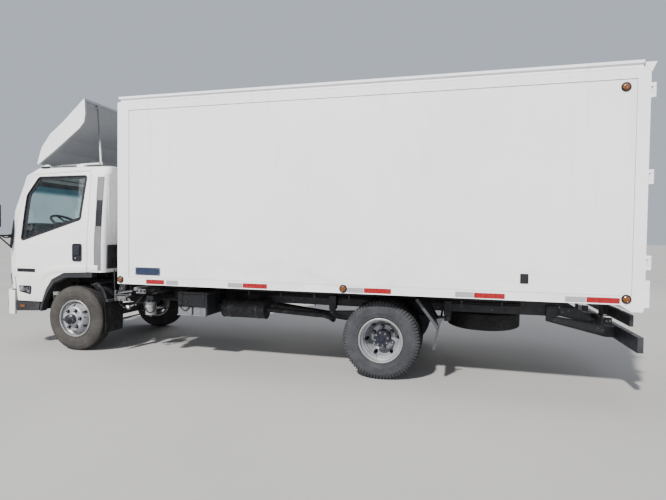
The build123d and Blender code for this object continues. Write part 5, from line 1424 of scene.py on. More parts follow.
rw = dense(rounded([(-0.620, 1.560), (0.620, 1.560), (0.600, 2.050), (-0.600, 2.050)], 0.05, 8), 0.05)
p.band(rw, [(-0.0015, -0.0165), (-0.002, -0.04), (-0.002, -0.094), (0.004, -0.0965), (0.04, -0.0965), (0.04, -0.094)], cab_back, True, 0)
p.band(rw, [(0.012, -0.001), (0.011, 0.003), (0.005, 0.0062), (-0.003, 0.006), (-0.009, 0.001), (-0.0105, -0.0092), (-0.022, -0.0092),
            (-0.0225, -0.0102)], cab_back, True, 0)
p.make()
p = Piece("wipers", "cab", TRIM, RUB, TRIM_DARK)
for y0, y1, z1 in ((-0.70, -0.22, 1.452), (-0.08, 0.40, 1.452), (0.46, 0.88, 1.447)):
    piv = Vector(cab_front(y0, 1.345, 0.0))
    p.lathe([(0.020, -0.002), (0.020, 0.006), (0.016, 0.016), (0.010, 0.020)], piv, (-1, 0, 0), 24, 0)
    a = piv + Vector((-0.016, 0, 0))
    mid = Vector(cab_front((y0 + y1) / 2 + 0.03, z1 - 0.012, 0.020))
    p.tube([a, a.lerp(mid, 0.12) + Vector((-0.006, 0, 0)), a.lerp(mid, 0.6) + Vector((-0.008, 0, 0)), mid], 0.0062, 8, 0)
    blade0, blade1 = y0 + 0.02, min(y1 + 0.10, 0.86)
    pts = [cab_front(blade0 + (blade1 - blade0) * k / 10, z1 - 0.012 + 0.028 * k / 10, 0.0075) for k in range(11)]
    p.tube(pts, 0.0048, 6, 1)
    pts = [cab_front(blade0 + 0.02 + (blade1 - blade0 - 0.04) * k / 8, z1 - 0.012 + 0.028 * (0.05 + 0.9 * k / 8), 0.0150 + 0.003 * math.sin(math.pi * k / 8))
           for k in range(9)]
    p.tube(pts, 0.0040, 6, 0)
p.make()

# front: grille slots, lower intake, joint lines, lamp units, badge-free panel
p = Piece("grille_bars", "cab", TRIM_DARK, TRIM, CHROME)
patch(p, steps(-0.485, 0.485, 12), steps(1.020, 1.112, 2), lambda y, z, h: (-1.085 - h, y, z), 0.002, 0, 0.001)
for i in range(3):
    z = 1.030 + i * 0.028
    patch(p, steps(-0.475, 0.475, 12), steps(z, z + 0.013, 1), lambda y, z, h: (-1.085 - h, y, z), 0.008, 1, 0.002)
for z in (1.0065, 1.1225):
    patch(p, steps(-0.49, 0.49, 12), steps(z - 0.003, z + 0.003, 1), lambda y, z, h: (-1.085 - h, y, z), 0.004, 2, 0.001)
patch(p, steps(-0.50, 0.50, 14), steps(0.800, 0.905, 3), cab_front, 0.0025, 0, 0.001)
for i in range(5):
    z = 0.808 + i * 0.0195
    patch(p, steps(-0.49, 0.49, 14), steps(z, z + 0.009, 1), cab_front, 0.0075, 1, 0.002)
p.make()
p = Piece("front_seams", "cab", TRIM_DARK)
for z in (0.975, 1.355):
    patch(p, steps(-0.93, 0.93, 40), steps(z, z + 0.0035, 1), cab_front, 0.0006, 0, 0.0004)
for y in (-0.53, 0.53):
    patch(p, steps(y, y + 0.0035, 1), steps(0.770, 0.975, 6), cab_front, 0.0006, 0, 0.0004)
p.make()
# headlamps: black housing, two bowls each with a bulb, a clear cover, an amber corner
COVER = clear_glass("lamp_cover", (0.94, 0.96, 0.97))
for side, s in (("left", -1), ("right", 1)):
    p = Piece(f"headlamp_unit_{side}", "cab", TRIM_DARK, CHROME, CLEAR, AMBER)
    def hs(y, z, h, s=s):
        return cab_front(s * y, z, h)
    outline_h = dense(rounded([(0.560, 0.782), (0.950, 0.792), (0.955, 0.936), (0.642, 0.956)], 0.02, 5), 0.03)
    verts, faces = [], []
    cy, cz = 0.775, 0.868
    n = len(outline_h)
    for t, h in ((1.0, 0.0006), (0.995, 0.0026), (0.75, 0.0026), (0.5, 0.0026), (0.25, 0.0026)):
        for y, z in outline_h:
            verts.append(hs(cy + (y - cy) * t, cz + (z - cz) * t, h))
    for r in range(4):
        for i in range(n):
            k = (i + 1) % n
            faces.append([r * n + i, r * n + k, (r + 1) * n + k, (r + 1) * n + i])
    verts.append(hs(cy, cz, 0.0026))
    for i in range(n):
        faces.append([4 * n + i, 4 * n + (i + 1) % n, len(verts) - 1])
    p.add(verts, faces, 0, True)
    for yc, zc, r, k in ((0.655, 0.866, 0.060, 1), (0.790, 0.868, 0.052, 1), (0.893, 0.866, 0.042, 3)):
        verts, faces = [], []
        prof = [(1.0, 0.0030), (0.97, 0.0062), (0.90, 0.0060), (0.6, 0.0038), (0.35, 0.0030), (0.22, 0.0034), (0.2, 0.0066), (0.12, 0.0074)]
        seg = 28
        for q, h in prof:
            for i in range(seg):
                a = 2 * math.pi * i / seg
                verts.append(hs(yc + r * q * math.cos(a), zc + r * q * math.sin(a), h))
        for j in range(len(prof) - 1):
            for i in range(seg):
                kk = (i + 1) % seg
                faces.append([j * seg + i, j * seg + kk, (j + 1) * seg + kk, (j + 1) * seg + i])
        faces.append([(len(prof) - 1) * seg + i for i in range(seg)])
        p.add(verts, faces, k, True)
    p.band(outline_h, [(0.003, 0.0), (0.002, 0.0072), (-0.004, 0.0088), (-0.008, 0.0080), (-0.0085, 0.003)], hs, True, 0)
    p.make()
    if side == "left":
        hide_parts("headlamps")
    p = Piece(f"headlamp_cover_{side}", "cab", COVER)
    verts, faces = [], []
    inner_h = grown(outline_h, -0.006)
    for t, h in ((1.0, 0.0080), (0.7, 0.0088), (0.35, 0.0092)):
        for y, z in inner_h:
            verts.append(hs(cy + (y - cy) * t, cz + (z - cz) * t, h))
    n = len(inner_h)
    for r in range(2):
        for i in range(n):
            k = (i + 1) % n
            faces.append([r * n + i, r * n + k, (r + 1) * n + k, (r + 1) * n + i])
    verts.append(hs(cy, cz, 0.0093))
    for i in range(n):
        faces.append([2 * n + i, 2 * n + (i + 1) % n, len(verts) - 1])
    p.add(verts, faces, 0, True)
    p.make()

# bumper: fog lamps, grille in the slot, joint lines
def bump_front(y, z, h):
    """Outside of the bumper: front at -1.110, half width 1.0, corner radius 0.25."""
    a = abs(y)
    if a <= 0.75:
        return (-1.110 - h, y, z)
    d = min(a - 0.75, 0.2499)
    c = math.sqrt(1 - (d / 0.25) ** 2)
    return (-1.110 + 0.25 - (0.25 + h) * c, math.copysign(0.75 + (0.25 + h) * d / 0.25, y), z)


p = Piece("bumper_trim", "chassis", TRIM, TRIM_DARK, CHROME, CLEAR, BUMP)
for s in (-1, 1):
    def bs(y, z, h, s=s):
        return bump_front(s * y, z, h)
    at = bs(0.875, 0.545, 0.0)
    ax = (-0.866, s * 0.5, 0.0)
    loop = rounded([(0.809, 0.482), (0.941, 0.482), (0.941, 0.608), (0.809, 0.608)], 0.03, 6)
    loop = dense(loop, 0.03)
    p.band(loop, [(0.0, -0.001), (-0.001, 0.003), (-0.006, 0.0045), (-0.012, 0.0035), (-0.016, 0.0008)], bs, True, 0)
    p.plate(grown(loop, -0.014), bs, 0.0010, 1, 0.0003, rings=2)
    p.lathe([(0.044, 0.0005), (0.044, 0.006), (0.040, 0.0075), (0.036, 0.0055), (0.024, 0.003), (0.010, 0.0025)], at, ax, 32, 2)
    p.lathe([(0.0395, 0.0060), (0.030, 0.0085), (0.016, 0.0098), (0.004, 0.0102)], at, ax, 32, 3)
    for z in (0.440, 0.705):
        patch(p, steps(0.79, 0.97, 12), steps(z, z + 0.003, 1), bs, 0.0008, 1, 0.0004)
for k in range(5):
    z = 0.568 + k * 0.0175
    p.box((-1.078, -1.068), (-0.418, 0.418), (z, z + 0.007), 0.002, 0)
for k in range(9):
    y = -0.40 + k * 0.1
    p.box((-1.070, -1.064), (y - 0.003, y + 0.003), (0.562, 0.653), 0.001, 0)
p.make()

# back panel: pressed ribs, a seam, louvres and edge beads
p = Piece("cab_back_ribs", "cab", CABP, TRIM, RUB)
for y in (-0.80, -0.62, -0.44, -0.26, -0.08, 0.10, 0.28, 0.46, 0.64, 0.80):
    z1 = 1.52 if abs(y) < 0.66 else 2.06
    verts, faces = [], []
    zs = steps(1.06, z1, 10)
    sec = [(-0.028, 0.0), (-0.020, 0.0045), (-0.010, 0.0078), (0.010, 0.0078), (0.020, 0.0045), (0.028, 0.0)]
    for i, z in enumerate(zs):
        f = 0.12 if i in (0, len(zs) - 1) else 1.0
        for o, h in sec:
            verts.append((0.4702 + h * f, y + o * (0.7 if f < 1 else 1), z))
    m = len(sec)
    for i in range(len(zs) - 1):
        for j in range(m - 1):
            faces.append([i * m + j, (i + 1) * m + j, (i + 1) * m + j + 1, i * m + j + 1])
    p.add(verts, faces, 0, True)
for y in (-0.60, -0.20, 0.20, 0.60):
    verts, faces = [], []
    zs = steps(2.085, 2.185, 4)
    for i, z in enumerate(zs):
        f = 0.12 if i in (0, len(zs) - 1) else 1.0
        for o, h in sec:
            verts.append((0.4702 + h * f, y + o * 3.0, z))
    for i in range(len(zs) - 1):
        for j in range(m - 1):
            faces.append([i * m + j, (i + 1) * m + j, (i + 1) * m + j + 1, i * m + j + 1])
    p.add(verts, faces, 0, True)
p.box((0.469, 0.4735), (-0.90, 0.90), (1.028, 1.036), 0.001, 0)
for s in (-1, 1):
    p.tube([(0.4725, s * 0.905, z) for z in (1.03, 1.5, 2.05)], 0.003, 8, 0)
p.make()

# deflector: inner lighter return at the top, stiffener, hinge brackets, bolts, front feet
p = Piece("deflector_inside", "cab", GREY, CABP, ZINC, RUB)
DEF = [(-0.567, 2.326), (-0.497, 2.530), (-0.364, 2.696), (-0.169, 2.837), (0.095, 3.065), (0.147, 3.108)]
IN = [(x + 0.026, z - 0.018) for x, z in DEF[:-1]] + [(0.130, 3.078)]
for s in (-1, 1):
    yi = s * 0.913
    # return flange along the wing's rear edge, and one along the top
    EDGE = [(0.152, 3.060), (0.158, 2.922), (0.141, 2.822), (0.071, 2.747), (-0.287, 2.495), (-0.540, 2.330)]
    verts, faces = [], []
    for x, z in EDGE:
        verts += [(x - 0.004, yi, z), (x - 0.004, yi - s * 0.010, z), (x - 0.008, yi - s * 0.010, z + 0.002), (x - 0.008, yi, z + 0.002)]
    for i in range(len(EDGE) - 1):
        for j in range(4):
            faces.append([i * 4 + j, (i + 1) * 4 + j, (i + 1) * 4 + (j + 1) % 4, i * 4 + (j + 1) % 4])
    faces += [[0, 1, 2, 3], [(len(EDGE) - 1) * 4 + j for j in (3, 2, 1, 0)]]
    p.add(verts, faces, 0)
    for x, z in ((-0.45, 2.395), (-0.15, 2.605), (0.06, 2.76), (0.145, 2.90), (0.142, 3.03)):
        p.dome((x, s * 0.9352, z + 0.03 if x < 0.1 else z), (0, s, 0), 0.0055, 0.0022, mat=1)
p.box((0.112, 0.124), (-0.905, 0.905), (3.036, 3.044), 0.003, 0)
p.make()
p = Piece("deflector_fittings", "cab", ZINC, CABP, RUB, GREY)
for s in (-1, 1):
    y = s * 0.70
    for x0, x1, z in ((-0.500, -0.420, 2.336), (-0.160, -0.050, 2.342)):
        for x in (x0 + 0.014, x1 - 0.014):
            for o in (-0.0165, 0.0165):
                p.hexhead((x, y + o, z), (0, 0, 1), 0.009, 0.005, 0, washer=0.0055)
        p.box((x0 - 0.004, x1 + 0.004), (y - 0.026, y + 0.026), (2.286, 2.294), 0.002, 2)
    p.lathe([(0.0135, -0.016), (0.017, -0.014), (0.017, 0.014), (0.0135, 0.016)], (0.187, y, 2.350), (0, 1, 0), 22, 1)
    p.hexhead((0.187, y + s * 0.016, 2.350), (0, s, 0), 0.018, 0.009, 0, washer=0.014)
    p.rod((0.1925, y, 2.350), (0.1925, y, 2.366), 0.0155, 18, 1)
    for o in (-0.012, 0.012):
        p.hexhead((0.148, y + o, 3.066), (0, 0, -1), 0.009, 0.005, 3)
    p.lathe([(0.0105, -0.010), (0.0145, -0.008), (0.0145, 0.008), (0.0105, 0.010)], (0.1415, y, 3.048), (-0.065, 0, 1), 20, 3)
    # rubber feet under the front tips of the side wings
    p.box((-0.556, -0.436), sorted((s * 0.850, s * 0.892)), (2.298, 2.322), 0.004, 1)
    p.box((-0.552, -0.440), sorted((s * 0.854, s * 0.888)), (2.284, 2.300), 0.003, 2)
    for x in (-0.535, -0.457):
        p.hexhead((x, s * 0.871, 2.322), (0, 0, 1), 0.013, 0.006, 0)
p.make()

# cab corners: the grey band behind the door pillar, mirror braces
# painted shade: a dark grey band laid on each rear corner of the cab, standing in for the shade on the corner that
# faces away from the light
CORNER_SHADE = plastic("corner_painted_shade", (0.125, 0.128, 0.136), rough=0.5, grain=200.0)
for side, s in (("left", -1), ("right", 1)):
    surf = cab_side(s)
    p = Piece(f"cab_corner_painted_shade_{side}", "cab", CORNER_SHADE, RUB, CABP)
    patch(p, steps(0.343, 0.430, 11), steps(1.012, 1.540, 16), surf, 0.0016, 0, 0.0008)
    patch(p, steps(0.343, 0.430, 5), steps(1.540, 1.872, 12), surf, 0.0016, 0, 0.0008)
    patch(p, steps(0.343, 0.430, 11), steps(1.872, 2.150, 10), surf, 0.0016, 0, 0.0008)
    p.tube([surf(0.3405, z, 0.0008) for z in steps(1.010, 1.545, 12)], 0.0022, 6, 1)
    p.tube([surf(0.3405, z, 0.0008) for z in steps(1.868, 2.155, 8)], 0.0022, 6, 1)
    p.make()
    p = Piece(f"mirror_brace_{side}", "cab", TRIM)
    y0 = s * 1.205
    a = Vector((-1.0, s * 1.150, 1.505))
    b = Vector(surf(-0.905, 1.43, 0.012))
    p.tube([a, a + Vector((0.0, -s * 0.02, -0.030)), a.lerp(b, 0.3) + Vector((0.0, 0, -0.062)), a.lerp(b, 0.6) + Vector((0, 0, -0.068)),
            a.lerp(b, 0.88) + Vector((0, 0, -0.040)), b], 0.0085, 10, 0)
    p.lathe([(0.016, -0.004), (0.017, 0.004), (0.013, 0.012)], b - Vector((0, s * 0.004, 0)), (0, s, 0), 18, 0)
    p.make()

# ------------------------------------------------------------------ rear: doors, lock bars, hinges, lamps, underrun
for side, s in (("left", -1), ("right", 1)):
    door = f"rear_door_{side}"
    face = flat_rear(6.160)
    p = Piece(f"rear_door_gasket_{side}", door, RUB, BOX)
    lo, hi = sorted((s * 0.0045, s * 1.1035))
    loop = dense(rect(lo, hi, 0.9845, 2.8405, 0.012, 4), 0.25)
    p.band(loop, [(-0.0005, -0.012), (0.0, -0.004), (-0.0015, 0.0018), (-0.007, 0.0042), (-0.015, 0.0042), (-0.020, 0.0022), (-0.0215, 0.0)],
           face, True, 0)
    inner = dense(rect(lo + 0.028, hi - 0.028, 1.012, 2.813, 0.010, 4), 0.25)
    p.band(inner, [(0.004, 0.0), (0.0025, 0.0024), (-0.016, 0.0024), (-0.018, 0.0)], face, True, 1)
    for j in range(23):
        z = 1.03 + j * 0.0805
        for y in (lo + 0.0205, hi - 0.0345):
            p.dome(face(y + 0.007, z, 0.0022), (1, 0, 0), 0.0040, 0.0017, 8, 1)
    for z in (1.60, 2.24):                     # pressed stiffeners across each leaf
        for dz in (-0.085, 0.0, 0.085):
            verts, faces = [], []
            sec = [(-0.020, 0.0), (-0.012, 0.0052), (0.012, 0.0052), (0.020, 0.0)]
            ys = [lo + 0.16, lo + 0.18, hi - 0.18, hi - 0.16]
            for i, y in enumerate(ys):
                f = 0.05 if i in (0, 3) else 1.0
                for o, h in sec:
                    verts.append((6.1602 + h * f, y, z + dz + o * (0.75 if i in (0, 3) else 1)))
            for i in range(3):
                for j in range(3):
                    faces.append([i * 4 + j, (i + 1) * 4 + j, (i + 1) * 4 + j + 1, i * 4 + j + 1])
            p.add(verts, faces, 1, True)
    p.make(30.0)
    # hinges: strap on the leaf with bolts, knuckle sleeves and pins
    p = Piece(f"rear_hinge_fittings_{side}", door, ZINC, STEEL, BOX)
    for z in (1.265, 2.005, 2.745):
        for dy in (0.135, 0.185, 0.235):
            p.hexhead((6.1685, s * (1.19 - dy), z + 0.014 * (1 if dy != 0.185 else -1)), (1, 0, 0), 0.013, 0.0055, 0, washer=0.011)
        p.lathe([(0.0095, 0), (0.0125, 0.001), (0.0125, 0.004), (0.008, 0.0065)], (6.195, s * 1.19, z + 0.045), (0, 0, 1), 16, 1)
        p.lathe([(0.0095, 0), (0.0125, 0.001), (0.0125, 0.004), (0.008, 0.0065)], (6.195, s * 1.19, z - 0.045), (0, 0, -1), 16, 1)
    p.make()
    # lock bar: guides with bolts, cam ends, handle with its catch
    p = Piece(f"rear_lock_fittings_{side}", door, ZINC, STEEL, RUB, TRIM)
    y = s * 0.130
    for z in (1.035, 1.32, 1.75, 2.25, 2.79):
        p.box((6.1602, 6.1655), (y - 0.042, y + 0.042), (z - 0.024, z + 0.024), 0.002, 0)
        p.tube([(6.1655, y - 0.020, z), (6.182, y - 0.0195, z), (6.1915, y - 0.011, z), (6.1945, y, z), (6.1915, y + 0.011, z),
                (6.182, y + 0.0195, z), (6.1655, y + 0.020, z)], 0.0042, 8, 0)
        for dy in (-0.032, 0.032):
            p.hexhead((6.1655, y + dy, z), (1, 0, 0), 0.012, 0.005, 1)
    for z0, z1 in ((1.004, 1.016), (2.806, 2.818)):
        p.lathe([(0.0136, 0), (0.019, 0.001), (0.019, z1 - z0 - 0.001), (0.0136, z1 - z0)], (6.180, y, z0), (0, 0, 1), 20, 1)
    for z in (1.000, 2.812):                   # cam and its keeper claw
        p.box((6.168, 6.192), (y - 0.030, y + 0.012), (z - 0.004 if z < 2 else z, z + 0.004 if z < 2 else z + 0.008), 0.002, 1)
    h0, h1 = y, s * 0.47
    p.box((6.1935, 6.2005), sorted((h0 - s * 0.018, h0 + s * 0.024)), (1.470, 1.510), 0.003, 0)
    p.tube([(6.197, h0, 1.490), (6.200, y + s * 0.05, 1.490), (6.2005, s * 0.33, 1.478), (6.2005, h1, 1.474)], 0.0078, 10, 0)
    p.tube([(6.2005, s * 0.36, 1.4765), (6.2005, h1 + s * 0.004, 1.4738)], 0.0095, 12, 3)
    p.box((6.1602, 6.1665), sorted((s * 0.385, s * 0.455)), (1.445, 1.505), 0.002, 0)
    p.box((6.1665, 6.1925), sorted((s * 0.395, s * 0.400)), (1.452, 1.468), 0.001, 0)
    p.box((6.1665, 6.1925), sorted((s * 0.440, s * 0.445)), (1.452, 1.468), 0.001, 0)
    for yy, zz in ((0.392, 1.496), (0.448, 1.496)):
        p.hexhead((6.1665, s * yy, zz), (1, 0, 0), 0.011, 0.004, 1)
    # door holdback catch low at the outer edge and its rubber buffer
    p.box((6.1602, 6.166), sorted((s * 0.985, s * 1.035)), (1.115, 1.165), 0.002, 0)
    p.lathe([(0.017, 0), (0.017, 0.010), (0.013, 0.017), (0.006, 0.019)], (6.166, s * 1.01, 1.14), (1, 0, 0), 20, 2)
    p.make()
    # tape on the leaf's foot
    p = Piece(f"rear_door_tape_{side}", door, TAPE_RED, TAPE_WHITE)
    for a, b, k in ((0.17, 0.42, 1), (0.425, 0.675, 0), (0.68, 0.93, 1)):
        lo2, hi2 = sorted((s * a, s * b))
        p.plate(rect(lo2, hi2, 1.0145, 1.0645, 0.004, 3), face, 0.0032, k, 0.0003)
    p.make()
# rear frame: seams, top lamps, buffers, corner tape, keeper plates
p = Piece("rear_frame_details", "chassis", BOX, ZINC, RUB, TAPE_RED, TAPE_WHITE)
post = flat_rear(6.165)
for s in (-1, 1):
    for z in (1.265, 2.005, 2.745):
        for dz in (-0.032, 0.032):
            p.hexhead((6.1655, s * 1.1715, z + dz), (1, 0, 0), 0.013, 0.0055, 1) if abs(dz) > 0.04 else None
    for j in range(18):
        p.dome(post(s * 1.1965, 1.0 + j * 0.11, -0.0001), (1, 0, 0), 0.0028, 0.0012, 8, 0)
    for z0, z1, k in ((1.42, 1.64, 3), (1.645, 1.865, 4), (2.26, 2.48, 3), (2.485, 2.62, 4)):
        lo2, hi2 = sorted((s * 1.118, s * 1.158))
        p.plate(rect(lo2, hi2, z0, z1, 0.004, 3), post, 0.0008, k, 0.0003)
    # rubber buffers on the sill corners
    p.lathe([(0.030, 0), (0.032, 0.006), (0.032, 0.018), (0.026, 0.028), (0.012, 0.033)], (6.166, s * 1.02, 0.895), (1, 0, 0), 24, 2)
    p.hexhead((6.198, s * 1.02, 0.895), (1, 0, 0), 0.014, 0.003, 1)
for y in (-0.130, 0.130):
    for z in (0.948, 2.876):
        p.box((6.1652, 6.170), (y - 0.042, y + 0.042), (z - 0.020, z + 0.020), 0.002, 1)
        for dy in (-0.030, 0.030):
            p.hexhead((6.170, y + dy, z), (1, 0, 0), 0.011, 0.0045, 1)
p.make()
p = Piece("rear_top_lamps", "chassis", RED, TRIM, AMBER)
for y, k in ((-0.95, 0), (-0.10, 0), (0.0, 0), (0.10, 0), (0.95, 0)):
    p.box((6.165, 6.170), (y - 0.040, y + 0.040), (2.900, 2.930), 0.002, 1)
    p.box((6.170, 6.1845), (y - 0.034, y + 0.034), (2.904, 2.926), 0.006, k)
p.make()

# tail lamps: black housing, ribbed lenses in three colours, screws
p = Piece("tail_lamp_units", "chassis", TRIM, RED, AMBER, CLEAR, ZINC, RUB)
for s in (-1, 1):
    for yc, w, parts in ((0.56, 0.20, ((0.0, 0.5, 3), (0.5, 1.0, 1))), (0.88, 0.22, ((0.0, 0.55, 1), (0.55, 1.0, 2)))):
        lo2, hi2 = sorted((s * (yc - w / 2), s * (yc + w / 2)))
        p.box((6.1150, 6.137), (lo2, hi2), (0.695, 0.785), 0.005, 0)
        for a, b, k in parts:
            u0, u1 = sorted((s * (yc - w / 2 + 0.005 + a * (w - 0.01)), s * (yc - w / 2 + 0.005 + b * (w - 0.01))))
            p.box((6.1355, 6.1485), (u0 + 0.001, u1 - 0.001), (0.700, 0.780), 0.004, k)
            for q in range(7):
                z = 0.7075 + q * 0.0108
                p.box((6.1482, 6.1496), (u0 + 0.007, u1 - 0.007), (z, z + 0.0042), 0.0006, k)
            for zz in (0.705, 0.775):
                p.hexhead((6.1484, (u0 + u1) / 2, zz), (1, 0, 0), 0.006, 0.0012, 4)
    p.tube([(6.116, s * 0.70, 0.74), (6.10, s * 0.70, 0.735), (6.06, s * 0.69, 0.72), (6.0, s * 0.60, 0.71), (5.95, s * 0.45, 0.70)], 0.006, 8, 5)
o = p.make()
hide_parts("tail_lamps")
# blank rear plate with its lamp, underrun bar caps, bolts and stripes
p = Piece("rear_plate_and_bar", "chassis", PLATE_WHITE, TRIM, ZINC, CLEAR, TAPE_RED, TAPE_WHITE, BRIGHTBLACK)
bar = flat_rear(6.200)
p.plate(rect(-0.235, 0.235, 0.462, 0.590, 0.012), bar, 0.0022, 0, 0.0008)
p.band(rect(-0.235, 0.235, 0.462, 0.590, 0.012), [(0.0, 0.0), (0.0, 0.004), (-0.004, 0.0045), (-0.006, 0.0022)], bar, True, 1)
for y in (-0.09, 0.09):
    p.hexhead((6.2022, y, 0.526), (1, 0, 0), 0.010, 0.004, 2, washer=0.008)
for s in (-1, 1):
    for a, b, k in ((0.27, 0.47, 4), (0.475, 0.675, 5), (0.68, 0.88, 4), (0.885, 1.085, 5)):
        lo2, hi2 = sorted((s * a, s * b))
        p.plate(rect(lo2, hi2, 0.502, 0.552, 0.004, 3), bar, 0.0008, k, 0.0003)
    for z in (0.475, 0.578):
        p.hexhead((6.200, s * 0.45, z), (1, 0, 0), 0.017, 0.007, 2, washer=0.014)
    p.box((6.151, 6.199), sorted((s * 1.0995, s * 1.103)), (0.457, 0.595), 0.0015, 6)
    p.box((6.05, 6.12), sorted((s * 0.452, s * 0.470)), (0.602, 0.668), 0.003, 6)
    for x in (6.068, 6.102):
        p.hexhead((x, s * 0.470, 0.635), (0, s, 0), 0.016, 0.007, 2)
p.box((6.1155, 6.150), (-0.055, 0.055), (0.752, 0.782), 0.005, 1)
p.box((6.120, 6.146), (-0.048, 0.048), (0.746, 0.7535), 0.002, 3)
p.make()

# ------------------------------------------------------------------ underbody
ZINC = metal("road_zinc", (0.17, 0.17, 0.165), 0.5, dirt=(0.045, 0.04, 0.036), amount=0.8)
ALLOY = metal("grimy_alloy", (0.26, 0.26, 0.27), 0.5, dirt=(0.07, 0.062, 0.055), amount=0.8)
CAN = metal("can_steel", (0.46, 0.465, 0.47), 0.36, dirt=(0.10, 0.085, 0.07), amount=0.45)
# painted light: grey for the battery box's lower panels, lighter than the box's black because they stand in the sun
LIT_PANEL = paint("battery_panel_painted_light", (0.20, 0.205, 0.225), (0.16, 0.165, 0.185), rough=0.55, coat=0.0, dust=(0.12, 0.115, 0.11),
              dust_amount=0.3, grime=0.5)
# painted light: a lighter copy of the chassis black for plates, brackets and strips whose faces are lit
LITGREY = paint("painted_light_grey", (0.042, 0.048, 0.056), (0.032, 0.037, 0.043), rough=0.6, coat=0.0, dust=(0.075, 0.072, 0.068),
                dust_amount=0.4, grime=0.5)


def bend(points, n=6):
    """Smooth run through the points."""
    pts = [Vector(q) for q in points]
    out = []
    for i in range(len(pts) - 1):
        a, b = pts[i], pts[i + 1]
        ta = (pts[i + 1] - pts[max(0, i - 1)]) * 0.5
        tb = (pts[min(len(pts) - 1, i + 2)] - pts[i]) * 0.5
        for k in range(n):
            t = k / n
            out.append(a * (2 * t ** 3 - 3 * t ** 2 + 1) + ta * (t ** 3 - 2 * t ** 2 + t) + b * (3 * t ** 2 - 2 * t ** 3) + tb * (t ** 3 - t ** 2))
    out.append(pts[-1])
    return out


def corrugated(p, path, r, mat=0, pitch=0.014, depth=0.004, seg=14):
    """Ribbed hose along a smooth path."""
    pts = bend(path, 10)
    length = sum((b - a).length for a, b in zip(pts, pts[1:]))
    n = max(8, int(length / pitch) * 4)
    line, acc, k = [], 0.0, 0
    for i in range(n + 1):
        d = length * i / n
        while k < len(pts) - 2 and acc + (pts[k + 1] - pts[k]).length < d:
            acc += (pts[k + 1] - pts[k]).length
            k += 1
        seglen = (pts[k + 1] - pts[k]).length or 1e-6
        line.append(pts[k].lerp(pts[k + 1], min(1.0, (d - acc) / seglen)))
    verts, faces = [], []
    u = (line[1] - line[0]).orthogonal().normalized()
    for i, q in enumerate(line):
        t = (line[min(n, i + 1)] - line[max(0, i - 1)]).normalized()
        u = (u - t * u.dot(t)).normalized()
        w = t.cross(u)
        rr = r - (depth if i % 4 in (2, 3) else 0.0)
        for j in range(seg):
            a = 2 * math.pi * j / seg
            verts.append(q + (u * math.cos(a) + w * math.sin(a)) * rr)
    for i in range(n):
        for j in range(seg):
            faces.append([i * seg + j, i * seg + (j + 1) % seg, (i + 1) * seg + (j + 1) % seg, (i + 1) * seg + j])
    faces += [list(range(seg))[::-1], [n * seg + j for j in range(seg)]]
    p.add(verts, faces, mat, True)


# behind the cab: a black panel low on its back wall, painted shade standing in for the dark space there, and what
# stands in the gap to the box
p = Piece("cab_back_painted_shade_panel", "cab", TRIM, RUB, ZINC)
p.plate(rounded([(-0.945, 1.035), (0.945, 1.035), (0.940, 1.325), (-0.940, 1.325)], 0.02, 4), flat_rear(0.470), 0.016, 0, 0.003, rings=3)
for i in range(13):
    y = -0.84 + i * 0.14
    p.box((0.486, 0.492), (y - 0.018, y + 0.018), (1.06, 1.30), 0.0035, 0)
for z in (1.05, 1.31):
    for i in range(9):
        p.hexhead((0.486, -0.80 + i * 0.2, z), (1, 0, 0), 0.012, 0.005, 2, washer=0.012)
p.tube(bend([(0.494, -0.86, 1.10), (0.497, -0.83, 1.22), (0.496, -0.78, 1.31), (0.495, -0.70, 1.335)]), 0.010, 10, 1)
p.make()
p = Piece("gap_hoses", "chassis", RUB, TRIM, DULL, ZINC, BLACK)
corrugated(p, [(0.45, -0.20, 0.93), (0.53, -0.24, 1.02), (0.70, -0.40, 1.06), (0.73, -0.62, 1.15), (0.72, -0.74, 1.30)], 0.045, 0)
p.box((0.665, 0.775), (-0.86, -0.64), (1.28, 1.50), 0.016, 1)
for i in range(7):
    p.box((0.660, 0.780), (-0.863, -0.80 + 0.0 * i), (1.305 + i * 0.026, 1.317 + i * 0.026), 0.003, 1)
p.tube(bend([(0.52, -0.50, 0.86), (0.525, -0.62, 0.92), (0.53, -0.78, 1.06), (0.53, -0.82, 1.26)]), 0.016, 12, 0)
p.tube(bend([(0.53, -0.44, 0.86), (0.535, -0.58, 0.90), (0.54, -0.74, 1.00), (0.545, -0.79, 1.30)]), 0.013, 12, 0)
p.tube(bend([(0.68, -0.40, 0.80), (0.70, -0.60, 0.83), (0.71, -0.84, 0.92), (0.66, -0.88, 1.08), (0.60, -0.86, 1.25)]), 0.009, 10, 0)
p.tube([(0.66, -0.90, 0.80), (0.59, -0.90, 1.04)], 0.0085, 10, 1)
p.tube([(0.54, -0.885, 0.78), (0.535, -0.885, 1.02)], 0.0065, 10, 1)
for z in (0.80, 1.03):
    p.lathe([(0.013, -0.008), (0.015, -0.004), (0.015, 0.004), (0.013, 0.008)], (0.66 - (z - 0.80) * 0.30, -0.90, z), (0, 1, 0), 14, 3)
p.box((0.50, 0.545), (-0.30, 0.30), (1.015, 1.075), 0.006, 4)
p.rod((0.515, 0.34, 0.90), (0.515, 0.34, 1.24), 0.055, 24, 1, chamfer=0.012)
p.rod((0.515, 0.34, 1.24), (0.515, 0.34, 1.262), 0.030, 20, 0)
p.tube(bend([(0.515, 0.34, 0.90), (0.52, 0.32, 0.84), (0.50, 0.25, 0.80)]), 0.012, 10, 0)
p.tube(bend([(0.70, -0.2, 0.90), (0.72, 0.1, 0.96), (0.70, 0.45, 1.0), (0.69, 0.62, 1.16), (0.70, 0.66, 1.40)]), 0.028, 14, 1)
p.make()

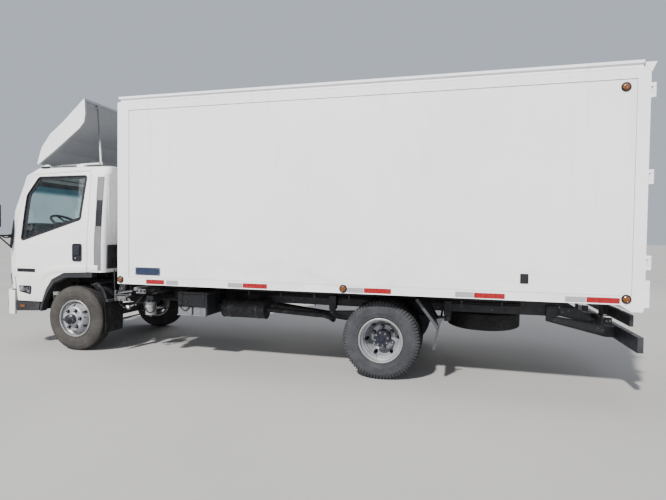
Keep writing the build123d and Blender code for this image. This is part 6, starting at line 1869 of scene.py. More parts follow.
# behind the front wheels: splash guards with a hanging flap
for side, s in (("left", -1), ("right", 1)):
    p = Piece(f"front_splash_guard_{side}", "chassis", MUD, LITGREY, ZINC)
    prof = [(0.262, 0.842), (0.345, 0.798), (0.410, 0.735), (0.458, 0.650), (0.470, 0.560), (0.472, 0.400), (0.470, 0.255)]
    prof = [(v.x, v.z) for v in bend([(x, 0, z) for x, z in prof], 5)]
    verts, faces = [], []
    ys = steps(0.655, 0.972, 6)
    for x, z in prof:
        for y in ys:
            dip = 0.004 * math.sin(9 * z + 5 * y)
            verts.append((x + dip, s * y, z))
    m = len(ys)
    for i in range(len(prof) - 1):
        for j in range(m - 1):
            faces.append([i * m + j, (i + 1) * m + j, (i + 1) * m + j + 1, i * m + j + 1])
    n = len(verts)
    verts += [(x + 0.005, y, z + 0.002) for x, y, z in verts]
    faces += [[n + k for k in f[::-1]] for f in faces]
    ring = [j for j in range(m)] + [i * m + m - 1 for i in range(1, len(prof))] + [(len(prof) - 1) * m + j for j in range(m - 2, -1, -1)] + [
        i * m for i in range(len(prof) - 2, 0, -1)]
    for a, b in zip(ring, ring[1:] + ring[:1]):
        faces.append([a, b, n + b, n + a])
    p.add(verts, faces, 0, True)
    # stay plate with its brace, lit grey in the gap behind the wheel
    p.box((0.472, 0.498), sorted((s * 0.43, s * 0.958)), (0.630, 0.662), 0.003, 1)
    p.box((0.300, 0.330), sorted((s * 0.43, s * 0.958)), (0.838, 0.852), 0.002, 1)
    for y in (0.70, 0.82, 0.93):
        p.hexhead((0.464, s * y, 0.646), (-1, 0, 0), 0.014, 0.006, 2, washer=0.012)
    p.plate([(0.315, 0.850), (0.395, 0.790), (0.448, 0.700), (0.474, 0.640), (0.492, 0.655), (0.480, 0.720), (0.430, 0.812), (0.350, 0.870)],
            flat_side(s, 0.958), 0.004, 0, 0.001)
    p.make(40.0)

# bracket cluster behind the cab's rear stay: plates, lever, rods and a small cylinder
p = Piece("stay_bracket_parts", "chassis", ALLOY, LITGREY, ZINC, RUB, CAN, DULL)
for s in (-1, 1):
    Y = s * 0.862
    p.box((0.545, 0.690), sorted((Y, Y + s * 0.016)), (0.640, 0.704), 0.004, 0)
    p.box((0.545, 0.560), sorted((Y, Y + s * 0.034)), (0.640, 0.772), 0.004, 0)
    p.box((0.560, 0.745), sorted((Y, Y + s * 0.030)), (0.712, 0.724), 0.003, 1)
    turn = Matrix.Rotation(math.radians(-9), 3, "Y")
    p.box((0.585, 0.790), sorted((Y + s * 0.006, Y + s * 0.026)), (0.742, 0.760), 0.004, 0, turn)
    p.rod((0.615, Y - s * 0.004, 0.732), (0.615, Y + s * 0.030, 0.732), 0.015, 18, 2)
    p.rod((0.612, Y + s * 0.012, 0.765), (0.606, Y + s * 0.012, 0.806), 0.0075, 12, 2)
    p.box((0.790, 0.905), sorted((s * 0.43, Y)), (0.770, 0.812), 0.005, 5)
    p.box((0.835, 0.965), sorted((Y - s * 0.006, Y + s * 0.014)), (0.742, 0.800), 0.004, 4)
    for x in (0.850, 0.905, 0.950):
        p.hexhead((x, Y + s * 0.014, 0.772), (0, s, 0), 0.019, 0.010, 2, washer=0.015)
    p.rod((0.700, Y + s * 0.010, 0.700), (0.765, Y + s * 0.010, 0.728), 0.011, 14, 5)
    p.rod((0.715, Y + s * 0.004, 0.672), (0.748, Y + s * 0.004, 0.645), 0.013, 14, 0)
    p.lathe([(0.012, -0.024), (0.022, -0.020), (0.026, -0.004), (0.026, 0.012), (0.016, 0.022), (0.006, 0.026)], (0.722, Y + s * 0.004, 0.566),
            (0.85, 0, -0.5), 22, 4)
    p.rod((0.690, Y + s * 0.004, 0.585), (0.712, Y + s * 0.004, 0.572), 0.009, 12, 5)
    p.tube(bend([(0.735, Y, 0.555), (0.79, Y - s * 0.03, 0.60), (0.85, Y - s * 0.10, 0.69), (0.90, Y - s * 0.30, 0.74)]), 0.0065, 8, 3)
    p.tube(bend([(0.595, Y + s * 0.004, 0.64), (0.60, Y + s * 0.002, 0.60), (0.66, Y - s * 0.01, 0.56), (0.70, Y, 0.560)]), 0.005, 8, 3)
    for x, z in ((0.565, 0.660), (0.620, 0.660), (0.672, 0.660)):
        p.hexhead((x, Y + s * 0.016, z), (0, s, 0), 0.017, 0.008, 2, washer=0.013)
p.make()

# the upright can: bright shell with rolled ends, straps and pipes
p = Piece("air_dryer_can", "chassis", CAN, RUB, ALLOY, ZINC)
at = (1.030, -0.860, 0.0)
p.lathe([(0.040, 0.4935), (0.058, 0.4945), (0.0635, 0.500), (0.0635, 0.512), (0.0626, 0.515), (0.0626, 0.585), (0.0642, 0.588), (0.0642, 0.600),
         (0.0626, 0.603), (0.0626, 0.632), (0.0645, 0.637), (0.0645, 0.647), (0.054, 0.6525), (0.030, 0.6535)], at, (0, 0, 1), 48, 0)
p.tube([(1.030 + 0.065 * math.cos(a), -0.860 + 0.065 * math.sin(a), 0.560 + 0.035 * math.sin(2 * a + 0.6)) for a in
        [math.radians(200 + 12 * k) for k in range(14)]], 0.0075, 10, 1)
p.tube(bend([(1.083, -0.900, 0.575), (1.115, -0.905, 0.60), (1.12, -0.88, 0.66), (1.10, -0.70, 0.72)]), 0.007, 10, 1)
p.tube(bend([(0.976, -0.885, 0.62), (0.945, -0.90, 0.625), (0.93, -0.88, 0.67), (0.94, -0.72, 0.72)]), 0.007, 10, 1)
p.rod((1.010, -0.900, 0.653), (1.010, -0.900, 0.672), 0.014, 16, 2)
p.rod((1.050, -0.890, 0.653), (1.050, -0.890, 0.668), 0.012, 16, 2)
p.rod((1.030, -0.860, 0.470), (1.030, -0.860, 0.494), 0.016, 16, 2)
for x in (0.995, 1.065):
    p.hexhead((x, -0.890, 0.665), (0, -1, 0), 0.015, 0.007, 3)
p.make()

# battery box: ribbed cover, two grey panels on a lip (painted light: grey for their sunlit look), the cable over them,
# strap and latch
p = Piece("battery_box_panels", "chassis", BLACK, LIT_PANEL, RUB, ZINC, TRIM)
Y = -0.9
p.box((1.424, 1.806), (-0.906, -0.476), (0.762, 0.796), 0.006, 0)
p.box((1.426, 1.804), (-0.9045, -0.8995), (0.514, 0.7625), 0.002, 0)
for x0, x1 in ((1.440, 1.612), (1.638, 1.790)):
    p.box((x0, x1), (-0.9155, -0.9040), (0.532, 0.618), 0.003, 1)
    for k in range(int((x1 - x0 - 0.02) / 0.014)):
        x = x0 + 0.012 + k * 0.014
        p.box((x, x + 0.006), (-0.9185, -0.915), (0.542, 0.610), 0.0012, 1)
    p.box((x0 - 0.010, x1 + 0.006), (-0.926, -0.902), (0.518, 0.531), 0.003, 1)
p.tube(bend([(1.455, -0.921, 0.640), (1.485, -0.924, 0.600), (1.530, -0.926, 0.578), (1.560, -0.925, 0.592), (1.600, -0.923, 0.632)]), 0.0055, 10, 2)
p.tube(bend([(1.440, -0.912, 0.690), (1.468, -0.914, 0.662), (1.515, -0.915, 0.655), (1.560, -0.914, 0.680)]), 0.004, 8, 3)
for x in (1.475, 1.760):
    p.box((x - 0.016, x + 0.016), (-0.909, -0.904), (0.640, 0.800), 0.002, 4)
    p.box((x - 0.012, x + 0.012), (-0.916, -0.908), (0.735, 0.775), 0.003, 3)
p.make()

# exhaust: seams and straps on the silencer, flange bolts, hanger rubbers
p = Piece("exhaust_fittings", "chassis", EXH, BLACK, ZINC, RUB)
for x in (1.884, 2.416):
    p.lathe([(0.110, -0.008), (0.1155, -0.006), (0.1165, 0.0), (0.1155, 0.006), (0.110, 0.008)], (x, -0.600, 0.590), (1, 0, 0), 40, 0)
for x in (1.980, 2.320):
    p.lathe([(0.1125, -0.018), (0.1145, -0.017), (0.1145, 0.017), (0.1125, 0.018)], (x, -0.600, 0.590), (1, 0, 0), 40, 1)
    p.box((x - 0.020, x + 0.020), (-0.62, -0.585), (0.700, 0.722), 0.004, 3)
    p.hexhead((x, -0.712, 0.600), (0, -1, 0), 0.016, 0.010, 2, washer=0.014)
p.lathe([(0.030, -0.006), (0.058, -0.005), (0.058, 0.005), (0.030, 0.006)], (1.815, -0.600, 0.600), (1, 0, 0), 28, 0)
for k in range(3):
    a = 2 * math.pi * k / 3 + 0.5
    p.hexhead((1.820, -0.600 + 0.047 * math.cos(a), 0.600 + 0.047 * math.sin(a)), (1, 0, 0), 0.014, 0.009, 2)
p.tube(bend([(1.812, -0.600, 0.600), (1.70, -0.56, 0.600), (1.58, -0.44, 0.605), (1.30, -0.33, 0.615), (0.95, -0.30, 0.62), (0.62, -0.29, 0.64)]), 0.031, 18, 0)
p.tube(bend([(3.05, -0.600, 0.560), (3.12, -0.605, 0.557), (3.20, -0.64, 0.545), (3.26, -0.70, 0.53)]), 0.030, 18, 0)
p.make()

# rails: bolt rows, holes with dark edges, brake pipes and a wiring run on clips
p = Piece("rail_fittings", "chassis", BLACK, ZINC, RUB, STEEL, TRIM)
for s in (-1, 1):
    web = flat_side(s, 0.430)
    for i in range(44):
        x = -0.72 + i * 0.142
        for z in ((0.690, 0.812) if i % 3 else (0.690,)):
            if any(abs(x - c) < 0.06 for c in (0.56, 1.64, 3.195, 4.495)):
                continue
            p.hexhead(web(x, z, 0.0), (0, s, 0), 0.016, 0.0075, 1 if i % 4 == 0 else 0, washer=0.012)
        if i % 2 == 0:
            p.lathe([(0.013, 0.0), (0.0125, 0.0012), (0.010, 0.0012), (0.0095, 0.0002), (0.001, 0.0002)], web(x + 0.06, 0.752, 0.0), (0, s, 0), 16, 4)
    for z, r in ((0.735, 0.0050), (0.747, 0.0042), (0.762, 0.0095)):
        path = [(-0.50 + k * 0.25, s * (0.437 + r), z + 0.0025 * math.sin(1.7 * k)) for k in range(24)]
        p.tube(path, r, 8, 2 if r > 0.005 else 4)
    for k in range(14):
        x = -0.40 + k * 0.42
        p.box((x - 0.010, x + 0.010), sorted((s * 0.430, s * 0.4575)), (0.728, 0.777), 0.002, 1)
    for x in (1.02, 2.45, 3.35, 4.75, 5.45):        # clamps between rail and box sill
        p.box((x - 0.045, x + 0.045), sorted((s * 0.430, s * 0.438)), (0.800, 0.884), 0.002, 0)
        for dx in (-0.028, 0.028):
            for z in (0.822, 0.866):
                p.hexhead((x + dx, s * 0.438, z), (0, s, 0), 0.017, 0.008, 1)
p.make()

# springs: U-bolts, leaf clips, eye bolts; shock absorbers; brake chambers; lines to the axles
p = Piece("spring_fittings", "chassis", IRON, ZINC, RUB, BLACK, STEEL, TRIM)
for cx, cy, w, z0, n, zt in ((0.0, 0.405, 0.064, 0.425, 4, 0.330), (3.845, 0.470, 0.070, 0.462, 6, 0.345)):
    for s in (-1, 1):
        top = z0 + 0.016 * n
        for dx in (-0.048, 0.048):
            y0, y1 = s * cy - w / 2 - 0.011, s * cy + w / 2 + 0.011
            p.tube([(cx + dx, y0, zt - 0.03), (cx + dx, y0, top + 0.012), (cx + dx, y0 + 0.010, top + 0.024), (cx + dx, y1 - 0.010, top + 0.024),
                    (cx + dx, y1, top + 0.012), (cx + dx, y1, zt - 0.03)], 0.0085, 10, 4)
            for y in (y0, y1):
                p.hexhead((cx + dx, y, zt - 0.008), (0, 0, -1), 0.024, 0.016, 1)
        p.box((cx - 0.078, cx + 0.078), (s * cy - 0.058, s * cy + 0.058), (zt - 0.008, zt + 0.010), 0.004, 0)
        p.box((cx - 0.070, cx + 0.070), (s * cy - w / 2 - 0.004, s * cy + w / 2 + 0.004), (top, top + 0.014), 0.003, 0)
        p.lathe([(0.030, 0), (0.034, 0.012), (0.034, 0.038), (0.024, 0.056), (0.010, 0.062)], (cx, s * cy, top + 0.026), (0, 0, 1), 20, 2)
for s in (-1, 1):
    for x, y, z in ((-0.56, 0.405, 0.574), (0.56, 0.405, 0.574), (3.195, 0.470, 0.589), (4.495, 0.470, 0.589)):
        w = 0.037 if y < 0.45 else 0.041
        p.hexhead((x, s * (y + w), z), (0, s, 0), 0.028, 0.014, 1, washer=0.022)
        p.box((x - 0.034, x + 0.034), sorted((s * (y + w - 0.004), s * (y + w))), (z - 0.038, z + 0.070), 0.003, 3)
    # front shock absorber
    a, b = Vector((0.165, s * 0.505, 0.385)), Vector((0.235, s * 0.490, 0.745))
    m1 = a.lerp(b, 0.48)
    p.rod(a, m1, 0.026, 22, 3, chamfer=0.006)
    p.rod(m1, b, 0.0315, 22, 3, chamfer=0.006)
    for q in (a, b):
        p.lathe([(0.020, -0.022), (0.022, -0.018), (0.022, 0.018), (0.020, 0.022)], q, (0, 1, 0), 18, 2)
        p.hexhead((q.x, q.y + s * 0.022, q.z), (0, s, 0), 0.020, 0.011, 1)
    p.box((0.030, 0.180), sorted((s * 0.480, s * 0.520)), (0.372, 0.396), 0.004, 0)
    p.box((0.205, 0.265), sorted((s * 0.430, s * 0.480)), (0.715, 0.775), 0.004, 3)
    # rear shock absorber, brake chamber and slack adjuster
    a, b = Vector((3.690, s * 0.345, 0.405)), Vector((3.560, s * 0.320, 0.705))
    m1 = a.lerp(b, 0.5)
    p.rod(a, m1, 0.026, 22, 3, chamfer=0.006)
    p.rod(m1, b, 0.0315, 22, 3, chamfer=0.006)
    for q in (a, b):
        p.lathe([(0.020, -0.022), (0.022, -0.018), (0.022, 0.018), (0.020, 0.022)], q, (0, 1, 0), 18, 2)
    p.lathe([(0.030, 0.0), (0.072, 0.010), (0.078, 0.040), (0.083, 0.044), (0.083, 0.056), (0.078, 0.060), (0.070, 0.095), (0.030, 0.108)],
            (4.045, s * 0.300, 0.435), (0.25, -s * 0.2, 0.95), 32, 3)
    p.rod((4.045, s * 0.300, 0.435), (4.010, s * 0.325, 0.345), 0.009, 12, 4)
    p.tube(bend([(4.075, s * 0.29, 0.54), (4.10, s * 0.30, 0.62), (4.06, s * 0.37, 0.70), (3.95, s * 0.425, 0.745)]), 0.007, 8, 2)
    p.tube(bend([(3.75, s * 0.12, 0.56), (3.70, s * 0.18, 0.64), (3.60, s * 0.33, 0.70), (3.50, s * 0.35, 0.72)]), 0.0065, 8, 2)
    # front brake hose from the rail to the backing plate side of the axle
    p.tube(bend([(-0.10, s * 0.435, 0.71), (-0.12, s * 0.50, 0.66), (-0.10, s * 0.58, 0.55), (-0.05, s * 0.62, 0.46)]), 0.0065, 8, 2)
p.hexhead((3.845, 0.0, 0.5865), (0, 0, 1), 0.022, 0.012, 1)
for k in range(12):
    a = 2 * math.pi * k / 12
    p.hexhead((3.845 + 0.110 + 0.0, 0.150 * math.cos(a), 0.4025 + 0.150 * math.sin(a)), (1, 0, 0), 0.016, 0.009, 1)
p.lathe([(0.158, 0.0), (0.160, 0.012), (0.132, 0.030), (0.085, 0.046), (0.030, 0.053)], (3.955, 0, 0.4025), (1, 0, 0), 44, 0)
p.make()

# propeller shaft joints and its centre bearing
p = Piece("propeller_shaft_joints", "chassis", IRON, ZINC, RUB)
for at, ax in (((1.020, 0, 0.6385), (1, 0, -0.065)), ((2.200, 0, 0.5635), (1, 0, -0.065)), ((2.310, 0, 0.5535), (1, 0, -0.11)), ((3.560, 0, 0.4150), (1, 0, -0.11))):
    p.lathe([(0.045, -0.030), (0.064, -0.024), (0.064, -0.010), (0.046, -0.006), (0.046, 0.006), (0.064, 0.010), (0.064, 0.024), (0.045, 0.030)], at, ax, 32, 0)
    for k in range(6):
        a = 2 * math.pi * k / 6
        p.hexhead((at[0] + 0.024, 0.054 * math.cos(a), at[2] + 0.054 * math.sin(a)), (1, 0, 0), 0.012, 0.007, 1)
p.box((2.235, 2.285), (-0.11, 0.11), (0.622, 0.660), 0.006, 0)
p.box((2.235, 2.285), (-0.11, -0.085), (0.655, 0.700), 0.004, 0)
p.box((2.235, 2.285), (0.085, 0.11), (0.655, 0.700), 0.004, 0)
p.make()

# fuel tank: straps, filler cap, weld beads, gauge sender
p = Piece("fuel_tank_fittings", "chassis", BLACK, ZINC, RUB, TRIM, DULL)
tank = [(0.470 + 0.0, 0.470), (0.930, 0.470), (0.930, 0.820), (0.470, 0.820)]
loop = rounded(tank, 0.047, 6)
for x in (1.36, 1.94):
    rings = []
    for o, dx in ((0.0005, -0.022), (0.0035, -0.021), (0.0035, 0.021), (0.0005, 0.022)):
        rings.append([(x + dx, y, z) for y, z in grown(loop, o)])
    verts = [q for r_ in rings for q in r_]
    n = len(loop)
    faces = []
    for r_ in range(3):
        for i in range(n):
            faces.append([r_ * n + i, r_ * n + (i + 1) % n, (r_ + 1) * n + (i + 1) % n, (r_ + 1) * n + i])
    p.add(verts, faces, 0, True)
    p.hexhead((x, 0.934, 0.55), (0, 1, 0), 0.020, 0.012, 1, washer=0.017)
p.lathe([(0.040, 0), (0.044, 0.004), (0.044, 0.022), (0.038, 0.028), (0.018, 0.030)], (1.58, 0.865, 0.820), (0, 0, 1), 32, 3)
p.lathe([(0.036, 0), (0.036, 0.006), (0.012, 0.008), (0.012, 0.018)], (1.75, 0.70, 0.820), (0, 0, 1), 28, 4)
for x in (1.153, 2.147):
    verts, faces = [], []
    lp = [rounded(tank, 0.047, 6)]
    rr = [grown(loop, o) for o in (0.0, 0.003, 0.0)]
    for row, dx in zip(rr, (-0.004, 0.0, 0.004)):
        verts += [(x + dx, y, z) for y, z in row]
    for r_ in range(2):
        for i in range(len(loop)):
            faces.append([r_ * len(loop) + i, r_ * len(loop) + (i + 1) % len(loop), (r_ + 1) * len(loop) + (i + 1) % len(loop), (r_ + 1) * len(loop) + i])
    p.add(verts, faces, 0, True)
for x in (1.36, 1.94):
    p.box((x - 0.03, x + 0.03), (0.430, 0.480), (0.500, 0.820), 0.004, 0)
p.make()
# air tanks: end seams, straps, drain taps and unions
p = Piece("air_tank_fittings", "chassis", BLACK, ZINC, DULL, RUB)
for x in (2.36, 2.94):
    p.lathe([(0.1035, -0.006), (0.1065, -0.003), (0.1065, 0.003), (0.1035, 0.006)], (x, 0.620, 0.600), (1, 0, 0), 36, 0)
for x in (2.500, 2.800):
    p.lathe([(0.1052, -0.016), (0.1075, -0.015), (0.1075, 0.015), (0.1052, 0.016)], (x, 0.620, 0.600), (1, 0, 0), 36, 0)
    p.hexhead((x, 0.728, 0.600), (0, 1, 0), 0.015, 0.008, 1)
p.rod((2.65, 0.620, 0.478), (2.65, 0.620, 0.496), 0.009, 12, 2)
for x in (2.42, 2.88):
    p.rod((x, 0.620, 0.704), (x, 0.620, 0.720), 0.010, 12, 2)
    p.tube(bend([(x, 0.620, 0.720), (x + 0.01, 0.60, 0.75), (x + 0.05, 0.50, 0.76), (x + 0.12, 0.445, 0.752)]), 0.0055, 8, 3)
p.make()

# rear mudguards: lit edge strip, fixing triangle, clamp bars, hanging flap
for side, s in (("left", -1), ("right", 1)):
    p = Piece(f"mudguard_trim_{side}", "chassis", LITGREY, MUD, ZINC, BLACK)
    y = s * 1.066
    line = [(4.203, 0.846), (4.418, 0.566), (4.380, 0.352)]
    for (x0, z0), (x1, z1) in zip(line, line[1:]):
        d = Vector((x1 - x0, 0, z1 - z0)).normalized()
        nrm = Vector((-d.z, 0, d.x))
        verts, faces = [], []
        for x, z in ((x0, z0), (x1, z1)):
            for o in (-0.014, 0.014):
                for yy in (y, y + s * 0.0045):
                    verts.append((x + nrm.x * o, yy, z + nrm.z * o))
        p.add(verts, [[0, 1, 3, 2], [4, 6, 7, 5], [0, 4, 5, 1], [2, 3, 7, 6], [1, 5, 7, 3], [0, 2, 6, 4]], 0)
    p.plate([(4.400, 0.655), (4.474, 0.668), (4.424, 0.578)], flat_side(s, 1.040), 0.005, 0, 0.001)
    for x, z in ((4.245, 0.792), (4.330, 0.682), (4.412, 0.548), (4.392, 0.435)):
        p.hexhead((x, y + s * 0.0045, z), (0, s, 0), 0.013, 0.006, 2)
    p.rod((4.395, s * 0.600, 0.600), (4.395, s * 1.060, 0.600), 0.011, 14, 3)
    p.rod((4.395, s * 0.610, 0.600), (4.300, s * 0.435, 0.735), 0.011, 14, 3)
    turn = Matrix.Rotation(math.radians(10.1), 3, "Y")
    for k in range(7):
        yy = s * (0.65 + k * 0.06)
        p.box((4.404, 4.409), sorted((yy, yy + s * 0.018)), (0.372, 0.550), 0.002, 1, turn)
    p.box((4.400, 4.4105), sorted((s * 0.61, s * 1.055)), (0.536, 0.556), 0.002, 3)
    p.make()

# spare wheel: winch housing, chain, clamp plate, hole rim; gussets, cross plates and bar bracket faces at the tail
p = Piece("spare_wheel_fittings", "chassis", BLACK, ZINC, STEEL, IRON)
p.lathe([(0.050, 0), (0.058, 0.006), (0.058, 0.040), (0.046, 0.050)], (4.89, 0.0, 0.650), (0, 0, 1), 28, 0)
p.hexhead((4.89, 0.0, 0.396), (0, 0, -1), 0.034, 0.018, 1, washer=0.030)
for k in range(6):
    a = 2 * math.pi * k / 6 + 0.26
    p.hexhead((4.89 + 0.111 * math.cos(a), 0.111 * math.sin(a), 0.4165), (0, 0, -1), 0.030, 0.004, 1)
p.rod((4.97, 0.0, 0.700), (5.24, 0.0, 0.700), 0.010, 12, 2)
p.lathe([(0.020, 0), (0.024, 0.004), (0.024, 0.020), (0.018, 0.024)], (5.24, 0.0, 0.700), (1, 0, 0), 20, 3)
for s in (-1, 1):
    for x in (4.862, 4.918):
        p.hexhead((x, s * 0.415, 0.700), (0, 0, -1), 0.018, 0.010, 1)
p.make()
p = Piece("tail_gussets", "chassis", LITGREY, BLACK, ZINC, RUB)
for s in (-1, 1):
    p.plate([(5.634, 0.744), (5.800, 0.744), (5.975, 0.640), (5.975, 0.612), (5.640, 0.664)], flat_side(s, 0.432), 0.006, 0, 0.001)
    p.box((5.632, 5.810), sorted((s * 0.425, s * 0.447)), (0.744, 0.752), 0.002, 1)
    p.plate([(5.540, 0.632), (5.600, 0.640), (6.040, 0.580), (6.060, 0.540), (6.040, 0.508), (5.555, 0.603)], flat_side(s, 0.4705), 0.003, 0, 0.001)
    for x, z in ((5.66, 0.70), (5.72, 0.715), (5.78, 0.70), (5.92, 0.638)):
        p.hexhead((x, s * 0.438, z), (0, s, 0), 0.016, 0.008, 2, washer=0.013)
    for x, z in ((5.58, 0.621), (5.99, 0.560), (6.03, 0.540)):
        p.hexhead((x, s * 0.4735, z), (0, s, 0), 0.017, 0.008, 2, washer=0.014)
    p.box((5.990, 6.012), sorted((s * 0.472, s * 0.560)), (0.600, 0.832), 0.003, 1)
    p.tube(bend([(5.60, s * 0.40, 0.87), (5.70, s * 0.50, 0.85), (5.80, s * 0.62, 0.868), (5.90, s * 0.66, 0.86), (6.05, s * 0.68, 0.80), (6.09, s * 0.70, 0.775)]),
           0.007, 10, 3)
for y in (-0.22, 0.0, 0.22):
    for z in (0.70, 0.80):
        p.hexhead((5.6155, y, z), (1, 0, 0), 0.018, 0.009, 2, washer=0.015)
p.make()

# engine: covers, pulleys, sump, filter, alternator, bolts, radiator core and fan ring
p = Piece("engine_details", "chassis", IRON, DULL, ZINC, RUB, TRIM, BLACK)
p.box((-0.300, 0.430), (-0.185, 0.185), (0.985, 1.002), 0.006, 1)
for x in [-0.28 + 0.098 * k for k in range(8)]:
    for y in (-0.170, 0.170):
        p.hexhead((x, y, 1.002), (0, 0, 1), 0.013, 0.006, 2)
for s in (-1, 1):
    for k in range(4):
        x = -0.22 + k * 0.175
        p.lathe([(0.034, 0), (0.038, 0.006), (0.038, 0.040), (0.030, 0.052)], (x, s * 0.270, 0.86), (0, s, 0), 20, 0)
        p.tube(bend([(x, s * 0.318, 0.86), (x + 0.02, s * 0.345, 0.90), (x + 0.04, s * 0.300, 0.955), (x + 0.05, s * 0.225, 0.985)]), 0.010, 10, 1)
    p.box((-0.28, 0.42), sorted((s * 0.270, s * 0.284)), (0.555, 0.600), 0.005, 0)
    for k in range(9):
        p.hexhead((-0.26 + k * 0.083, s * 0.284, 0.578), (0, s, 0), 0.014, 0.006, 2)
    p.box((-0.250, 0.400), sorted((s * 0.270, s * 0.292)), (0.700, 0.760), 0.008, 0)
p.rod((0.18, -0.345, 0.60), (0.18, -0.345, 0.74), 0.047, 26, 4, chamfer=0.010)
p.rod((-0.20, -0.372, 0.735), (-0.02, -0.372, 0.735), 0.062, 28, 1, chamfer=0.012)
for r_, x in ((0.085, -0.345), (0.060, -0.350)):
    p.lathe([(r_ * 0.4, 0.0), (r_, 0.002), (r_ * 0.92, 0.010), (r_, 0.018), (r_ * 0.4, 0.020)], (x, 0.0 if r_ > 0.07 else 0.15, 0.70 if r_ > 0.07 else 0.84), (-1, 0, 0), 32, 1)
p.lathe([(0.250, 0.0), (0.262, 0.004), (0.262, 0.060), (0.250, 0.064)], (-0.745, 0, 0.760), (1, 0, 0), 48, 4)
for k in range(7):
    a = 2 * math.pi * k / 7
    rot = Matrix.Rotation(a, 3, "X") @ Matrix.Rotation(math.radians(32), 3, "Z")
    p.box((-0.700 - 0.004, -0.700 + 0.004), (-0.045, 0.045), (0.840, 0.990), 0.002, 4, Matrix.Rotation(a, 3, "X"), (-0.700, 0, 0.760))
p.lathe([(0.060, -0.020), (0.078, -0.014), (0.078, 0.014), (0.060, 0.020)], (-0.700, 0, 0.760), (1, 0, 0), 28, 1)
p.rod((-0.690, 0, 0.760), (-0.335, 0, 0.760), 0.020, 16, 1)
for k in range(30):
    z = 0.585 + k * 0.0122
    p.box((-0.8235, -0.8205), (-0.31, 0.31), (z, z + 0.004), 0.0008, 5)
p.box((-0.822, -0.748), (-0.335, 0.335), (0.958, 0.992), 0.006, 4)
p.box((-0.822, -0.748), (-0.335, 0.335), (0.536, 0.562), 0.006, 4)
p.tube(bend([(-0.74, -0.20, 0.95), (-0.62, -0.20, 0.97), (-0.48, -0.12, 0.93), (-0.33, -0.10, 0.93)]), 0.022, 14, 3)
p.tube(bend([(-0.74, 0.20, 0.60), (-0.62, 0.22, 0.58), (-0.46, 0.16, 0.63), (-0.33, 0.12, 0.68)]), 0.022, 14, 3)
p.lathe([(0.155, 0.0), (0.200, 0.006), (0.200, 0.030), (0.150, 0.036)], (0.470, 0, 0.740), (1, 0, 0), 44, 0)
for k in range(12):
    a = 2 * math.pi * k / 12
    p.hexhead((0.506, 0.185 * math.cos(a), 0.740 + 0.185 * math.sin(a)), (1, 0, 0), 0.015, 0.008, 2)
p.make()

# ------------------------------------------------------------------ inside of the cab
from mathutils.bvhtree import BVHTree

SEAT_TOP = fabric("seat_weave", (0.052, 0.056, 0.066), (0.150, 0.156, 0.175))
BELT = fabric("belt_webbing", (0.020, 0.020, 0.022), (0.050, 0.050, 0.054), 900.0)
HEADLINER = fabric("headliner_felt", (0.30, 0.30, 0.295), (0.40, 0.40, 0.39), 600.0)
SLAT = plastic("vent_grey", (0.21, 0.215, 0.225), rough=0.5, grain=380.0, amount=0.14)
DIAL = plastic("dial_black", (0.006, 0.006, 0.008), rough=0.22, strength=0.02, dust=(0.05, 0.05, 0.055), amount=0.04)
MARK = plastic("dial_marks", (0.62, 0.62, 0.60), rough=0.4, strength=0.02, dust=(0.4, 0.4, 0.4), amount=0.05)

CUSHION = [(-0.130, 1.100), (0.330, 1.100), (0.330, 1.190), (-0.090, 1.235), (-0.140, 1.190)]
BACK = [(0.255, 1.1902), (0.335, 1.1902), (0.402, 1.760), (0.330, 1.775), (0.290, 1.700)]


def local_box(p, x, y, z, bevel, mat, turn, at):
    """Box given about at, then turned there."""
    p.box(*[(r[0] + c, r[1] + c) for r, c in zip((x, y, z), at)], bevel, mat, turn, tuple(at))


def nearest_on(poly, x, z):
    best, at, inside = 1e9, (x, z), False
    n = len(poly)
    for i in range(n):
        ax, az = poly[i]
        bx, bz = poly[(i + 1) % n]
        ex, ez = bx - ax, bz - az
        t = max(0.0, min(1.0, ((x - ax) * ex + (z - az) * ez) / (ex * ex + ez * ez)))
        qx, qz = ax + ex * t, az + ez * t
        d = math.hypot(x - qx, z - qz)
        if d < best:
            best, at = d, (qx, qz)
        if (az > z) != (bz > z) and x < (bx - ax) * (z - az) / (bz - az) + ax:
            inside = not inside
    return inside, at


def pad_start(profile, y0, y1, inset):
    """Loft of the side profile across the seat, a little smaller than its solid, with rounded ends."""
    verts, faces = [], []
    secs = [(0.000, 0.034), (0.004, 0.020), (0.012, 0.009), (0.026, 0.002), (0.045, 0.0)]
    rows = [(y0 + inset + a, inset + b) for a, b in secs] + [(y1 - inset - a, inset + b) for a, b in secs[::-1]]
    base = dense(rounded(profile, 0.032, 6), 0.03)
    n = len(base)
    for y, o in rows:
        verts += [(x + SHIFT, y, z) for x, z in grown(base, -o)]
    for r in range(len(rows) - 1):
        for i in range(n):
            faces.append([r * n + i, r * n + (i + 1) % n, (r + 1) * n + (i + 1) % n, (r + 1) * n + i])
    faces += [list(range(n))[::-1], [(len(rows) - 1) * n + i for i in range(n)]]
    return verts, faces


